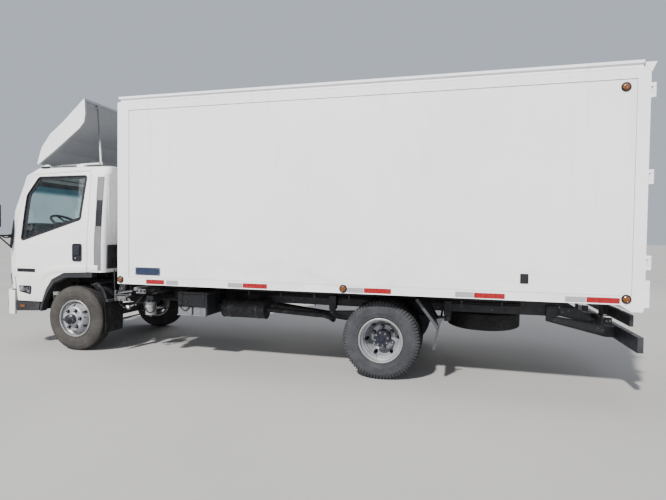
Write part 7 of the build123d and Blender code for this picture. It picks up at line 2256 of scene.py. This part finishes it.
PADS = [  # name, profile, left edge, right edge, which way the sewn face looks
    ("driver_seat_cushion", CUSHION, -0.860, -0.330, "up"), ("driver_seat_back", BACK, -0.860, -0.330, "front"),
    ("middle_seat_cushion", CUSHION, -0.230, 0.280, "up"), ("middle_seat_back", BACK, -0.230, 0.280, "front"),
    ("passenger_seat_cushion", CUSHION, 0.290, 0.860, "up"), ("passenger_seat_back", BACK, 0.290, 0.860, "front"),
]
pads = []
for name, profile, y0, y1, way in PADS:
    inset = 0.016 if way == "up" else 0.010
    verts, faces = pad_start(profile, y0, y1, inset)
    me = bpy.data.meshes.new(name)
    me.from_pydata(verts, [], faces)
    me.update()
    bm = bmesh.new()
    bm.from_mesh(me)
    bmesh.ops.recalc_face_normals(bm, faces=bm.faces)
    bm.to_mesh(me)
    bm.free()
    o = bpy.data.objects.new(name, me)
    bpy.context.scene.collection.objects.link(o)
    rm = o.modifiers.new("voxels", "REMESH")
    rm.mode = "VOXEL"
    rm.voxel_size = 0.0105
    o.update_tag()
    dg = bpy.context.evaluated_depsgraph_get()
    fine = bpy.data.meshes.new_from_object(o.evaluated_get(dg))
    o.modifiers.clear()
    o.data = fine
    pads.append((o, name, profile, y0, y1, way, [v.co.copy() for v in fine.vertices]))

for o, *_ in pads:
    cl = o.modifiers.new("puff", "CLOTH")
    cl.settings.quality = 4
    cl.settings.mass = 0.3
    cl.settings.tension_stiffness = 12
    cl.settings.compression_stiffness = 12
    cl.settings.shear_stiffness = 5
    cl.settings.bending_stiffness = 0.4
    cl.settings.use_pressure = True
    cl.settings.uniform_pressure_force = 4.0
    cl.settings.effector_weights.gravity = 0.0
    cl.point_cache.frame_start = 1
    cl.point_cache.frame_end = 20
for f in range(1, 21):
    bpy.context.scene.frame_set(f)
dg = bpy.context.evaluated_depsgraph_get()
puffed = [[v.co.copy() for v in o.evaluated_get(dg).data.vertices] for o, *_ in pads]
for (o, *_), co in zip(pads, puffed):
    o.modifiers.clear()
    for v, c in zip(o.data.vertices, co):
        v.co = c
bpy.context.scene.frame_set(1)

for o, name, profile, y0, y1, way, rest in pads:
    cap = 0.024
    me = o.data
    for v, r in zip(me.vertices, rest):
        d = v.co - r
        if d.length > cap:
            v.co = r + d * (cap / d.length)
        x, z = v.co.x - SHIFT, v.co.z
        inside, at = nearest_on(profile, x, z)
        if not inside:
            v.co.x, v.co.z = at[0] + SHIFT, at[1]
        v.co.y = min(max(v.co.y, y0 + 0.001), y1 - 0.001)
    me.update()
    sub = o.modifiers.new("smooth", "SUBSURF")
    sub.levels = sub.render_levels = 1
    dg = bpy.context.evaluated_depsgraph_get()
    fine = bpy.data.meshes.new_from_object(o.evaluated_get(dg))
    o.modifiers.clear()
    o.data = fine
    yc, half = (y0 + y1) / 2, (y1 - y0) / 2
    side = half - 0.095
    rows = (0.000, 0.085, 0.170, 0.250) if way == "up" else (1.320, 1.425, 1.530, 1.635)
    normals = [v.normal.copy() for v in fine.vertices]
    for v, nrm in zip(fine.vertices, normals):
        x, y, z = v.co.x - SHIFT, v.co.y - yc, v.co.z
        look = max(0.0, min(1.0, ((nrm.z if way == "up" else -nrm.x) - 0.25) / 0.4))
        if look <= 0:
            continue
        groove = math.exp(-((abs(y) - side) / 0.0065) ** 2)
        if abs(y) < side:
            t = x if way == "up" else z
            for q in rows:
                groove = max(groove, math.exp(-((t - q) / 0.006) ** 2))
        soft = 0.0035 * (1 - min(1.0, (abs(abs(y) - side * 0.5) / 0.12) ** 2)) * 0.0
        v.co -= nrm * (0.0072 * groove * look - soft)
    fine.update()
    fine.materials.clear()
    fine.materials.append(SEAT_TOP.m)
    fine.materials.append(SEAT_SIDE.m)
    for f in fine.polygons:
        f.use_smooth = True
        n = f.normal
        f.material_index = 0 if (n.z if way == "up" else -n.x) > 0.35 and abs(f.center.y - yc) < side else 1
    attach(o, "cab")
    if name == "driver_seat_cushion":
        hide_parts("driver_seat")
    if name == "passenger_seat_cushion":
        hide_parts("passenger_seat")
    # welt round the sewn face and stitch rows in the channels, laid on the finished surface
    tree = BVHTree.FromPolygons([v.co.copy() for v in fine.vertices], [tuple(f.vertices) for f in fine.polygons])
    p = Piece(name + "_welt", "cab", SEAT_SIDE, TAPE_WHITE)

    def lay(u, y, lift):
        if way == "up":
            hit = tree.ray_cast(Vector((u + SHIFT, y, 1.6)), Vector((0, 0, -1)))
        else:
            hit = tree.ray_cast(Vector((-0.4 + SHIFT, y, u)), Vector((1, 0, 0)))
        if hit[0] is None:
            return None
        q = hit[0] + hit[1] * lift * (1 if (hit[1].z > 0 if way == "up" else hit[1].x < 0) else -1)
        return (q.x - SHIFT, q.y, q.z)

    u0, u1 = (-0.108, 0.296) if way == "up" else (1.226, 1.735)
    loop = dense(rounded([(u0, y0 + 0.030), (u1, y0 + 0.030), (u1, y1 - 0.030), (u0, y1 - 0.030)], 0.045, 8), 0.012)
    pts = [q for q in (lay(u, y, 0.0012) for u, y in loop) if q]
    p.tube(pts, 0.0034, 8, 0, closed=True)
    for sy in (-1, 1):
        pts = [q for q in (lay(u0 + 0.012 + (u1 - u0 - 0.024) * k / 50, yc + sy * side, 0.0006) for k in range(51)) if q]
        p.tube(pts, 0.0014, 6, 0)
    for q0 in rows:
        pts = [q for q in (lay(q0, yc - side + 2 * side * k / 30, 0.0004) for k in range(31)) if q]
        p.tube(pts, 0.0011, 6, 0)
    p.make()

# headrests on two posts
HEAD = rounded([(0.328, 1.792), (0.392, 1.786), (0.402, 1.868), (0.396, 1.932), (0.350, 1.938), (0.322, 1.880)], 0.022, 6)
rests = []
for name, yc in (("driver", -0.595), ("middle", 0.025), ("passenger", 0.575)):
    verts, faces = [], []
    n = len(HEAD)
    rows = [(-0.123, 0.030), (-0.120, 0.018), (-0.110, 0.009), (-0.092, 0.0055), (-0.05, 0.005), (0.0, 0.005), (0.05, 0.005), (0.092, 0.0055), (0.110, 0.009), (0.120, 0.018), (0.123, 0.030)]
    for y, o_ in rows:
        verts += [(x + SHIFT, yc + y, z) for x, z in grown(HEAD, -o_)]
    for r in range(len(rows) - 1):
        for i in range(n):
            faces.append([r * n + i, r * n + (i + 1) % n, (r + 1) * n + (i + 1) % n, (r + 1) * n + i])
    faces += [list(range(n))[::-1], [(len(rows) - 1) * n + i for i in range(n)]]
    me = bpy.data.meshes.new(f"{name}_headrest")
    me.from_pydata(verts, [], faces)
    me.update()
    bm = bmesh.new()
    bm.from_mesh(me)
    bmesh.ops.recalc_face_normals(bm, faces=bm.faces)
    bm.to_mesh(me)
    bm.free()
    o = bpy.data.objects.new(f"{name}_headrest", me)
    bpy.context.scene.collection.objects.link(o)
    rm = o.modifiers.new("voxels", "REMESH")
    rm.mode = "VOXEL"
    rm.voxel_size = 0.006
    o.update_tag()
    dg = bpy.context.evaluated_depsgraph_get()
    fine = bpy.data.meshes.new_from_object(o.evaluated_get(dg))
    o.modifiers.clear()
    o.data = fine
    rests.append((o, name, yc, [v.co.copy() for v in fine.vertices]))

for o, *_ in rests:
    cl = o.modifiers.new("puff", "CLOTH")
    cl.settings.quality = 4
    cl.settings.mass = 0.3
    cl.settings.tension_stiffness = 12
    cl.settings.compression_stiffness = 12
    cl.settings.shear_stiffness = 5
    cl.settings.bending_stiffness = 0.4
    cl.settings.use_pressure = True
    cl.settings.uniform_pressure_force = 4.0
    cl.settings.effector_weights.gravity = 0.0
    cl.point_cache.frame_start = 1
    cl.point_cache.frame_end = 20
for f in range(1, 21):
    bpy.context.scene.frame_set(f)
dg = bpy.context.evaluated_depsgraph_get()
puffed = [[v.co.copy() for v in o.evaluated_get(dg).data.vertices] for o, *_ in rests]
for (o, *_), co in zip(rests, puffed):
    o.modifiers.clear()
    for v, c in zip(o.data.vertices, co):
        v.co = c
bpy.context.scene.frame_set(1)

for o, name, yc, rest in rests:
    cap = 0.009
    me = o.data
    for v, r in zip(me.vertices, rest):
        d = v.co - r
        if d.length > cap:
            v.co = r + d * (cap / d.length)
        v.co.y = min(max(v.co.y, yc - 0.130), yc + 0.130)
    me.update()
    sub = o.modifiers.new("smooth", "SUBSURF")
    sub.levels = sub.render_levels = 1
    dg = bpy.context.evaluated_depsgraph_get()
    fine = bpy.data.meshes.new_from_object(o.evaluated_get(dg))
    o.modifiers.clear()
    o.data = fine
    normals = [v.normal.copy() for v in fine.vertices]
    for v, nrm in zip(fine.vertices, normals):
        v.co -= nrm * 0.0030 * math.exp(-((abs(v.co.y - yc) - 0.085) / 0.0055) ** 2)
    fine.update()
    fine.materials.clear()
    fine.materials.append(SEAT_SIDE.m)
    for f in fine.polygons:
        f.use_smooth = True
    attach(o, "cab")
    tree = BVHTree.FromPolygons([v.co.copy() for v in fine.vertices], [tuple(f.vertices) for f in fine.polygons])
    p = Piece(f"{name}_headrest_posts", "cab", STEEL, SEAT_SIDE, TRIM)
    for dy in (-0.062, 0.062):
        p.rod((0.366, yc + dy, 1.700), (0.364, yc + dy, 1.800), 0.0062, 14, 0)
        p.lathe([(0.007, -0.002), (0.016, 0.0), (0.016, 0.006), (0.008, 0.010)], (0.3655, yc + dy, 1.750), (0, 0, 1), 18, 2)
    for dy in (-0.085, 0.085):
        pts = []
        for k in range(72):
            a = 2 * math.pi * k / 72
            out = Vector((math.cos(a), 0, math.sin(a)))
            hit = tree.ray_cast(Vector((0.362 + SHIFT, yc + dy, 1.862)) + out * 0.16, -out)
            if hit[0] is not None:
                q = hit[0] + out * 0.0006
                pts.append((q.x - SHIFT, q.y, q.z))
        p.tube(pts, 0.0018, 6, 1, closed=True)
    p.make()

# linings are laid on the inside of the shell
cab_tree = {}
for part, node in NODES.items():
    if part in ("cab_roof", "cab_back_panel", "cab_pillars", "cab_front_panel", "cab_door_left", "cab_door_right"):
        m4 = node.matrix_world
        cab_tree[part] = BVHTree.FromPolygons([m4 @ v.co for v in node.data.vertices], [tuple(f.vertices) for f in node.data.polygons])


def reach(origin, direction, parts, limit):
    o = Vector((origin[0] + SHIFT, origin[1], origin[2]))
    best = None
    for part in parts:
        hit = cab_tree[part].ray_cast(o, Vector(direction), limit)
        if hit[0] is not None and (best is None or hit[3] < best[1]):
            best = (part, hit[3])
    return best


def lining(p, us, vs, start, direction, parts, gap, limit, mat, keep=lambda u, v: True):
    """Sheet laid gap inside whatever the rays meet; a cell is left out where a ray goes through an opening."""
    d = Vector(direction)
    grid, verts = {}, []
    for i, u in enumerate(us):
        for j, v in enumerate(vs):
            o = start(u, v)
            hit = reach(o, direction, parts, limit) if keep(u, v) else None
            if hit:
                grid[i, j] = (len(verts), hit[1])
                verts.append(tuple(Vector(o) + d * (hit[1] - gap)))
    faces = []
    for i in range(len(us) - 1):
        for j in range(len(vs) - 1):
            c = [grid.get(k) for k in ((i, j), (i + 1, j), (i + 1, j + 1), (i, j + 1))]
            if all(c) and max(q[1] for q in c) - min(q[1] for q in c) < 0.05:
                faces.append([q[0] for q in c])
    p.add(verts, faces, mat, True)


p = Piece("headliner", "cab", HEADLINER, LINING, CLEAR, TRIM)
lining(p, steps(-0.66, 0.39, 30), steps(-0.84, 0.84, 46), lambda u, v: (u, v, 1.95), (0, 0, 1), ("cab_roof", "cab_pillars", "cab_back_panel"),
       0.005, 0.6, 0)
p.box((-0.05, 0.07), (-0.075, 0.075), (2.196, 2.214), 0.006, 1)
p.box((-0.04, 0.06), (-0.060, 0.060), (2.190, 2.198), 0.004, 2)
p.make()
p = Piece("rear_wall_lining", "cab", LINING, TRIM)
lining(p, steps(-0.88, 0.88, 50), steps(1.08, 2.14, 30), lambda u, v: (0.05, u, v), (1, 0, 0), ("cab_back_panel", "cab_pillars"), 0.004, 0.5, 0,
       lambda u, v: not (abs(u) < 0.665 and 1.52 < v < 2.09))
p.make()
for side, s in (("left", -1), ("right", 1)):
    p = Piece(f"door_card_{side}", f"cab_door_{side}", LINING, TRIM, DASH, SLAT, STEEL, RUB)
    lining(p, steps(-0.72, 0.10, 28), steps(0.86, 1.345, 18), lambda u, v: (u, s * 0.55, v), (0, s, 0), (f"cab_door_{side}",), 0.004, 0.6, 0,
           lambda u, v: v < 1.335 + max(0.0, (u + 0.757)) * 0.30)
    hit = reach((-0.45, s * 0.55, 1.20), (0, s, 0), (f"cab_door_{side}",), 0.6)
    yi = 0.55 + (hit[1] if hit else 0.36) - 0.004
    p.box((-0.42, -0.06), sorted((s * yi, s * (yi - 0.042))), (1.205, 1.245), 0.010, 2)
    p.tube(bend([(-0.40, s * (yi - 0.022), 1.248), (-0.36, s * (yi - 0.034), 1.272), (-0.24, s * (yi - 0.038), 1.282), (-0.12, s * (yi - 0.034), 1.272),
                 (-0.08, s * (yi - 0.022), 1.248)]), 0.0085, 10, 1)
    p.box((-0.560, -0.480), sorted((s * yi, s * (yi - 0.010))), (1.255, 1.300), 0.004, 1)
    p.box((-0.552, -0.496), sorted((s * (yi - 0.008), s * (yi - 0.017))), (1.266, 1.288), 0.003, 4)
    p.box((-0.70, -0.44), sorted((s * yi, s * (yi - 0.030))), (0.895, 1.005), 0.010, 2)
    for k in range(9):
        z = 1.065 + k * 0.011
        hw = 0.055 * math.sqrt(max(0.0, 1 - ((k - 4) / 4.8) ** 2))
        p.box((-0.600 - hw, -0.600 + hw), sorted((s * yi, s * (yi - 0.005))), (z, z + 0.005), 0.001, 1)
    p.make()

# dash: cluster in the hood, radio and knobs, end vents and ribs, glove box, demister slots
p = Piece("dash_details", "cab", TRIM, DIAL, MARK, SLAT, STEEL, LINING, AMBER, DASH)


def hood_face(y, z, h):
    return (-0.705 + (z - 1.37) * 0.1615 + h, y, z)


face = rounded([(-0.790, 1.395), (-0.310, 1.395), (-0.310, 1.492), (-0.790, 1.492)], 0.03, 6)
p.plate(dense(face, 0.04), hood_face, 0.0035, 0, 0.0015)
for yc, r in ((-0.640, 0.042), (-0.460, 0.042), (-0.550, 0.026), (-0.745, 0.024), (-0.352, 0.024)):
    c = hood_face(yc, 1.443, 0.0035)
    ax = (1.0, 0, -0.16)
    p.lathe([(r, -0.001), (r + 0.0025, 0.002), (r + 0.0005, 0.004), (r - 0.001, 0.0015), (0.002, 0.0012)], c, ax, 36, 1)
    p.lathe([(r + 0.003, 0.0), (r + 0.0035, 0.0035), (r + 0.0008, 0.0042)], c, ax, 36, 4)
    for k in range(11):
        a = math.radians(210 - 24 * k)
        q = Vector(c) + Vector((0.0028, 0.84 * r * math.cos(a), 0.84 * r * math.sin(a)))
        local_box(p, (-0.0006, 0.0006), (-0.0010, 0.0010), (-0.0032, 0.0032), 0.0003, 2, Matrix.Rotation(a - math.pi / 2, 3, "X"), q)
    a = math.radians(200 - 90 * (r > 0.03))
    p.rod(Vector(c) + Vector((0.003, 0, 0)), Vector(c) + Vector((0.003, 0.7 * r * math.cos(a), 0.7 * r * math.sin(a))), 0.0012, 6, 6)
for k in range(9):                      # grey ribs on the end of the hood
    x = -0.842 + k * 0.0185
    p.box((x, x + 0.010), (-0.8345, -0.829), (1.452, 1.566 - 0.002 * k), 0.002, 3)
p.box((-0.705, -0.680), (-0.215, 0.135), (1.196, 1.372), 0.008, 0)
p.box((-0.683, -0.676), (-0.195, 0.115), (1.300, 1.350), 0.003, 1)
for yc in (-0.170, 0.090):
    p.lathe([(0.013, 0.0), (0.0125, 0.012), (0.0105, 0.016), (0.003, 0.017)], (-0.677, yc, 1.325), (1, 0, 0), 22, 0)
p.box((-0.6765, -0.6745), (-0.130, 0.050), (1.312, 1.338), 0.001, 2)
for k in range(6):
    p.box((-0.6765, -0.673), (-0.128 + k * 0.030, -0.106 + k * 0.030), (1.302, 1.309), 0.001, 3)
for k in range(3):
    p.lathe([(0.019, 0.0), (0.018, 0.014), (0.015, 0.018), (0.004, 0.019)], (-0.680, -0.130 + k * 0.090, 1.238), (1, 0, 0), 26, 0)
    p.box((-0.6635, -0.6605), (-0.1315 + k * 0.090, -0.1285 + k * 0.090), (1.240, 1.255), 0.0008, 2)
for y0_, y1_ in ((-0.885, -0.845), (0.165, 0.285), (0.745, 0.865)):
    xf = -0.690
    p.box((xf - 0.012, xf + 0.003), (y0_, y1_), (1.255, 1.328), 0.004, 0)
    for k in range(5):
        z = 1.264 + k * 0.0125
        p.box((xf, xf + 0.007), (y0_ + 0.006, y1_ - 0.006), (z, z + 0.005), 0.001, 3)
p.box((-0.705, -0.6865), (0.320, 0.720), (1.196, 1.236), 0.004, 7)
p.box((-0.703, -0.6875), (0.320, 0.720), (1.240, 1.322), 0.004, 7)
p.box((-0.689, -0.681), (0.490, 0.550), (1.290, 1.308), 0.003, 0)
for k in range(22):
    y = -0.80 + k * 0.075
    p.box((-0.955, -0.915), (y, y + 0.058), (1.3995, 1.4085), 0.001, 0) if not (-0.86 < y < -0.25) else None
p.make()

# steering: boss, ring grips, shroud, stalks
NW = Vector((0.5, 0.0, 0.8660254))
XW = Vector((0.8660254, 0.0, -0.5))
CW = Vector((-0.48, -0.54, 1.59))
p = Piece("steering_wheel_trim", "steering_wheel", TRIM, TRIM_DARK, RUB)
p.lathe([(0.056, -0.017), (0.061, -0.012), (0.062, 0.008), (0.056, 0.019), (0.040, 0.026), (0.018, 0.029), (0.004, 0.0295)], CW, NW, 40, 0)
p.lathe([(0.030, 0.0265), (0.0315, 0.0285), (0.030, 0.0300), (0.0285, 0.0290)], CW, NW, 36, 1)
for a0, a1 in ((35, 85), (95, 145), (215, 265), (275, 325)):
    pts = [CW + (XW * math.cos(math.radians(a0 + (a1 - a0) * k / 16)) + Vector((0, 1, 0)) * math.sin(math.radians(a0 + (a1 - a0) * k / 16))) * 0.205
           for k in range(17)]
    p.tube(pts, 0.0168, 14, 2)
for k in range(36):
    a = math.radians(k * 10 + 5)
    d = XW * math.cos(a) + Vector((0, 1, 0)) * math.sin(a)
    p.lathe([(0.0030, -0.0012), (0.0042, 0.0), (0.0030, 0.0012)], CW + d * 0.205 - NW * 0.0150, NW, 8, 2)
p.make()
p = Piece("steering_column_trim", "cab", TRIM, RUB, STEEL, TRIM_DARK)
p.lathe([(0.034, -0.330), (0.044, -0.320), (0.056, -0.240), (0.060, -0.110), (0.057, -0.052), (0.050, -0.044), (0.034, -0.042)], CW, NW, 36, 0)
p.lathe([(0.034, -0.560), (0.060, -0.556), (0.056, -0.520), (0.046, -0.500), (0.036, -0.496)], CW, NW, 30, 1)
for sgn in (-1, 1):
    a = CW - NW * 0.085 + Vector((0, sgn * 0.045, 0))
    b = CW - NW * 0.060 + Vector((0, sgn * 0.175, 0)) - XW * 0.012
    p.rod(a, a.lerp(b, 0.72), 0.0065, 12, 0)
    p.rod(a.lerp(b, 0.70), b, 0.0095, 14, 3, chamfer=0.003)
p.make()

# pedals, gear lever, hand brake, mats, sills, belts, grab handles, visors
p = Piece("pedals_and_levers", "cab", RUB, STEEL, BLACK, TRIM)
for y, w, z in ((-0.700, 0.034, 0.935), (-0.585, 0.034, 0.935), (-0.500, 0.022, 0.905)):
    turn = Matrix.Rotation(math.radians(-38), 3, "Y")
    local_box(p, (-0.008, 0.008), (-w, w), (-0.028, 0.028), 0.004, 0, turn, (-0.700, y, z))
    for k in range(4):
        local_box(p, (0.008, 0.0115), (-w + 0.005, w - 0.005), (-0.022 + k * 0.0125, -0.015 + k * 0.0125), 0.001, 0, turn, (-0.700, y, z))
    p.tube(bend([(-0.708, y, z), (-0.740, y, z + 0.03), (-0.800, y, z + 0.11), (-0.860, y, 1.075)]), 0.0085, 10, 2)
p.lathe([(0.062, 0.0), (0.060, 0.006), (0.050, 0.020), (0.046, 0.022), (0.038, 0.040), (0.034, 0.042), (0.024, 0.062), (0.014, 0.072)], (-0.430, -0.130, 1.050),
        (0.1, 0.0, 1), 30, 0)
p.rod((-0.424, -0.130, 1.115), (-0.405, -0.130, 1.330), 0.0075, 14, 1)
p.lathe([(0.010, -0.010), (0.021, -0.002), (0.026, 0.014), (0.024, 0.032), (0.014, 0.042), (0.003, 0.044)], (-0.405, -0.130, 1.330), (0.09, 0, 1), 28, 3)
p.box((-0.130, -0.060), (-0.300, -0.262), (1.050, 1.092), 0.008, 3)
p.rod((-0.100, -0.281, 1.085), (-0.290, -0.281, 1.150), 0.0085, 14, 1)
p.rod((-0.270, -0.281, 1.143), (-0.360, -0.281, 1.174), 0.0130, 16, 0, chamfer=0.004)
p.make()
p = Piece("floor_mats", "cab", MAT, TRIM)
for s in (-1, 1):
    loop = rounded([(-0.955, s * 0.900), (-0.560, s * 0.900), (-0.560, s * 0.520), (-0.955, s * 0.520)], 0.03, 6)

    def well(x, y, h):
        return (x, y, 0.8003 + h)
    p.plate(loop, well, 0.0045, 0, 0.001)
    p.band(loop, [(0.0, 0.0), (-0.002, 0.012), (-0.008, 0.0125), (-0.011, 0.0045)], well, True, 0)
    for k in range(14):
        x = -0.93 + k * 0.026
        p.box((x, x + 0.010), sorted((s * 0.545, s * 0.880)), (0.8045, 0.8085), 0.0015, 0)
    p.box((-0.330, 0.20), sorted((s * 0.868, s * 0.895)), (1.050, 1.0585), 0.003, 1) if False else None
p.box((-0.33, -0.16), (-0.44, 0.44), (1.0503, 1.0560), 0.002, 0)
for k in range(20):
    y = -0.42 + k * 0.043
    p.box((-0.325, -0.165), (y, y + 0.014), (1.0555, 1.0585), 0.001, 0)
p.make()
p = Piece("seat_belts", "cab", BELT, TRIM, STEEL)
for s in (-1, 1):
    hit = reach((0.335, s * 0.55, 1.95), (0, s, 0), ("cab_pillars", f"cab_door_{'left' if s < 0 else 'right'}"), 0.6)
    yt = 0.55 + (hit[1] if hit else 0.33) - 0.006
    pts = [(0.335, s * yt, 1.95), (0.345, s * (yt - 0.004), 1.70), (0.352, s * min(yt, 0.895), 1.40), (0.352, s * min(yt, 0.893), 1.13)]
    pts = bend(pts, 8)
    verts = []
    for q in pts:
        verts += [(q.x - 0.023, q.y, q.z), (q.x + 0.023, q.y, q.z), (q.x + 0.023, q.y - s * 0.0016, q.z), (q.x - 0.023, q.y - s * 0.0016, q.z)]
    faces = []
    for i in range(len(pts) - 1):
        for j in range(4):
            faces.append([i * 4 + j, (i + 1) * 4 + j, (i + 1) * 4 + (j + 1) % 4, i * 4 + (j + 1) % 4])
    faces += [[0, 1, 2, 3], [(len(pts) - 1) * 4 + j for j in (3, 2, 1, 0)]]
    p.add(verts, faces, 0)
    p.box((0.300, 0.370), sorted((s * yt, s * (yt - 0.018))), (1.935, 1.975), 0.006, 1)
    p.box((0.315, 0.385), sorted((s * 0.870, s * 0.905)), (1.060, 1.130), 0.006, 1)
p.make()
p = Piece("grab_handles", "cab", SLAT, TRIM_DARK)
for s in (-1, 1):
    q0 = Vector(cab_front(s * 0.845, 1.735, -0.105))
    q1 = Vector(cab_front(s * 0.845, 1.955, -0.105))
    p.tube(bend([q0 + Vector((-0.030, 0, -0.014)), q0, q0.lerp(q1, 0.5) + Vector((0.006, 0, 0)), q1, q1 + Vector((-0.030, 0, 0.014))], 6), 0.0115, 14, 0)
    for q in (q0 + Vector((-0.026, 0, -0.012)), q1 + Vector((-0.026, 0, 0.012))):
        p.lathe([(0.012, -0.016), (0.020, -0.010), (0.020, 0.012), (0.012, 0.018)], q, (1, 0, 0.1), 22, 1)
for s in (-1, 1):
    p.box((-0.640, -0.480), sorted((s * 0.19, s * 0.66)), (2.150, 2.170), 0.008, 0, Matrix.Rotation(math.radians(6), 3, "Y"), None)
    p.rod((-0.640, s * 0.66, 2.166), (-0.640, s * 0.72, 2.172), 0.006, 10, 1)
p.make()
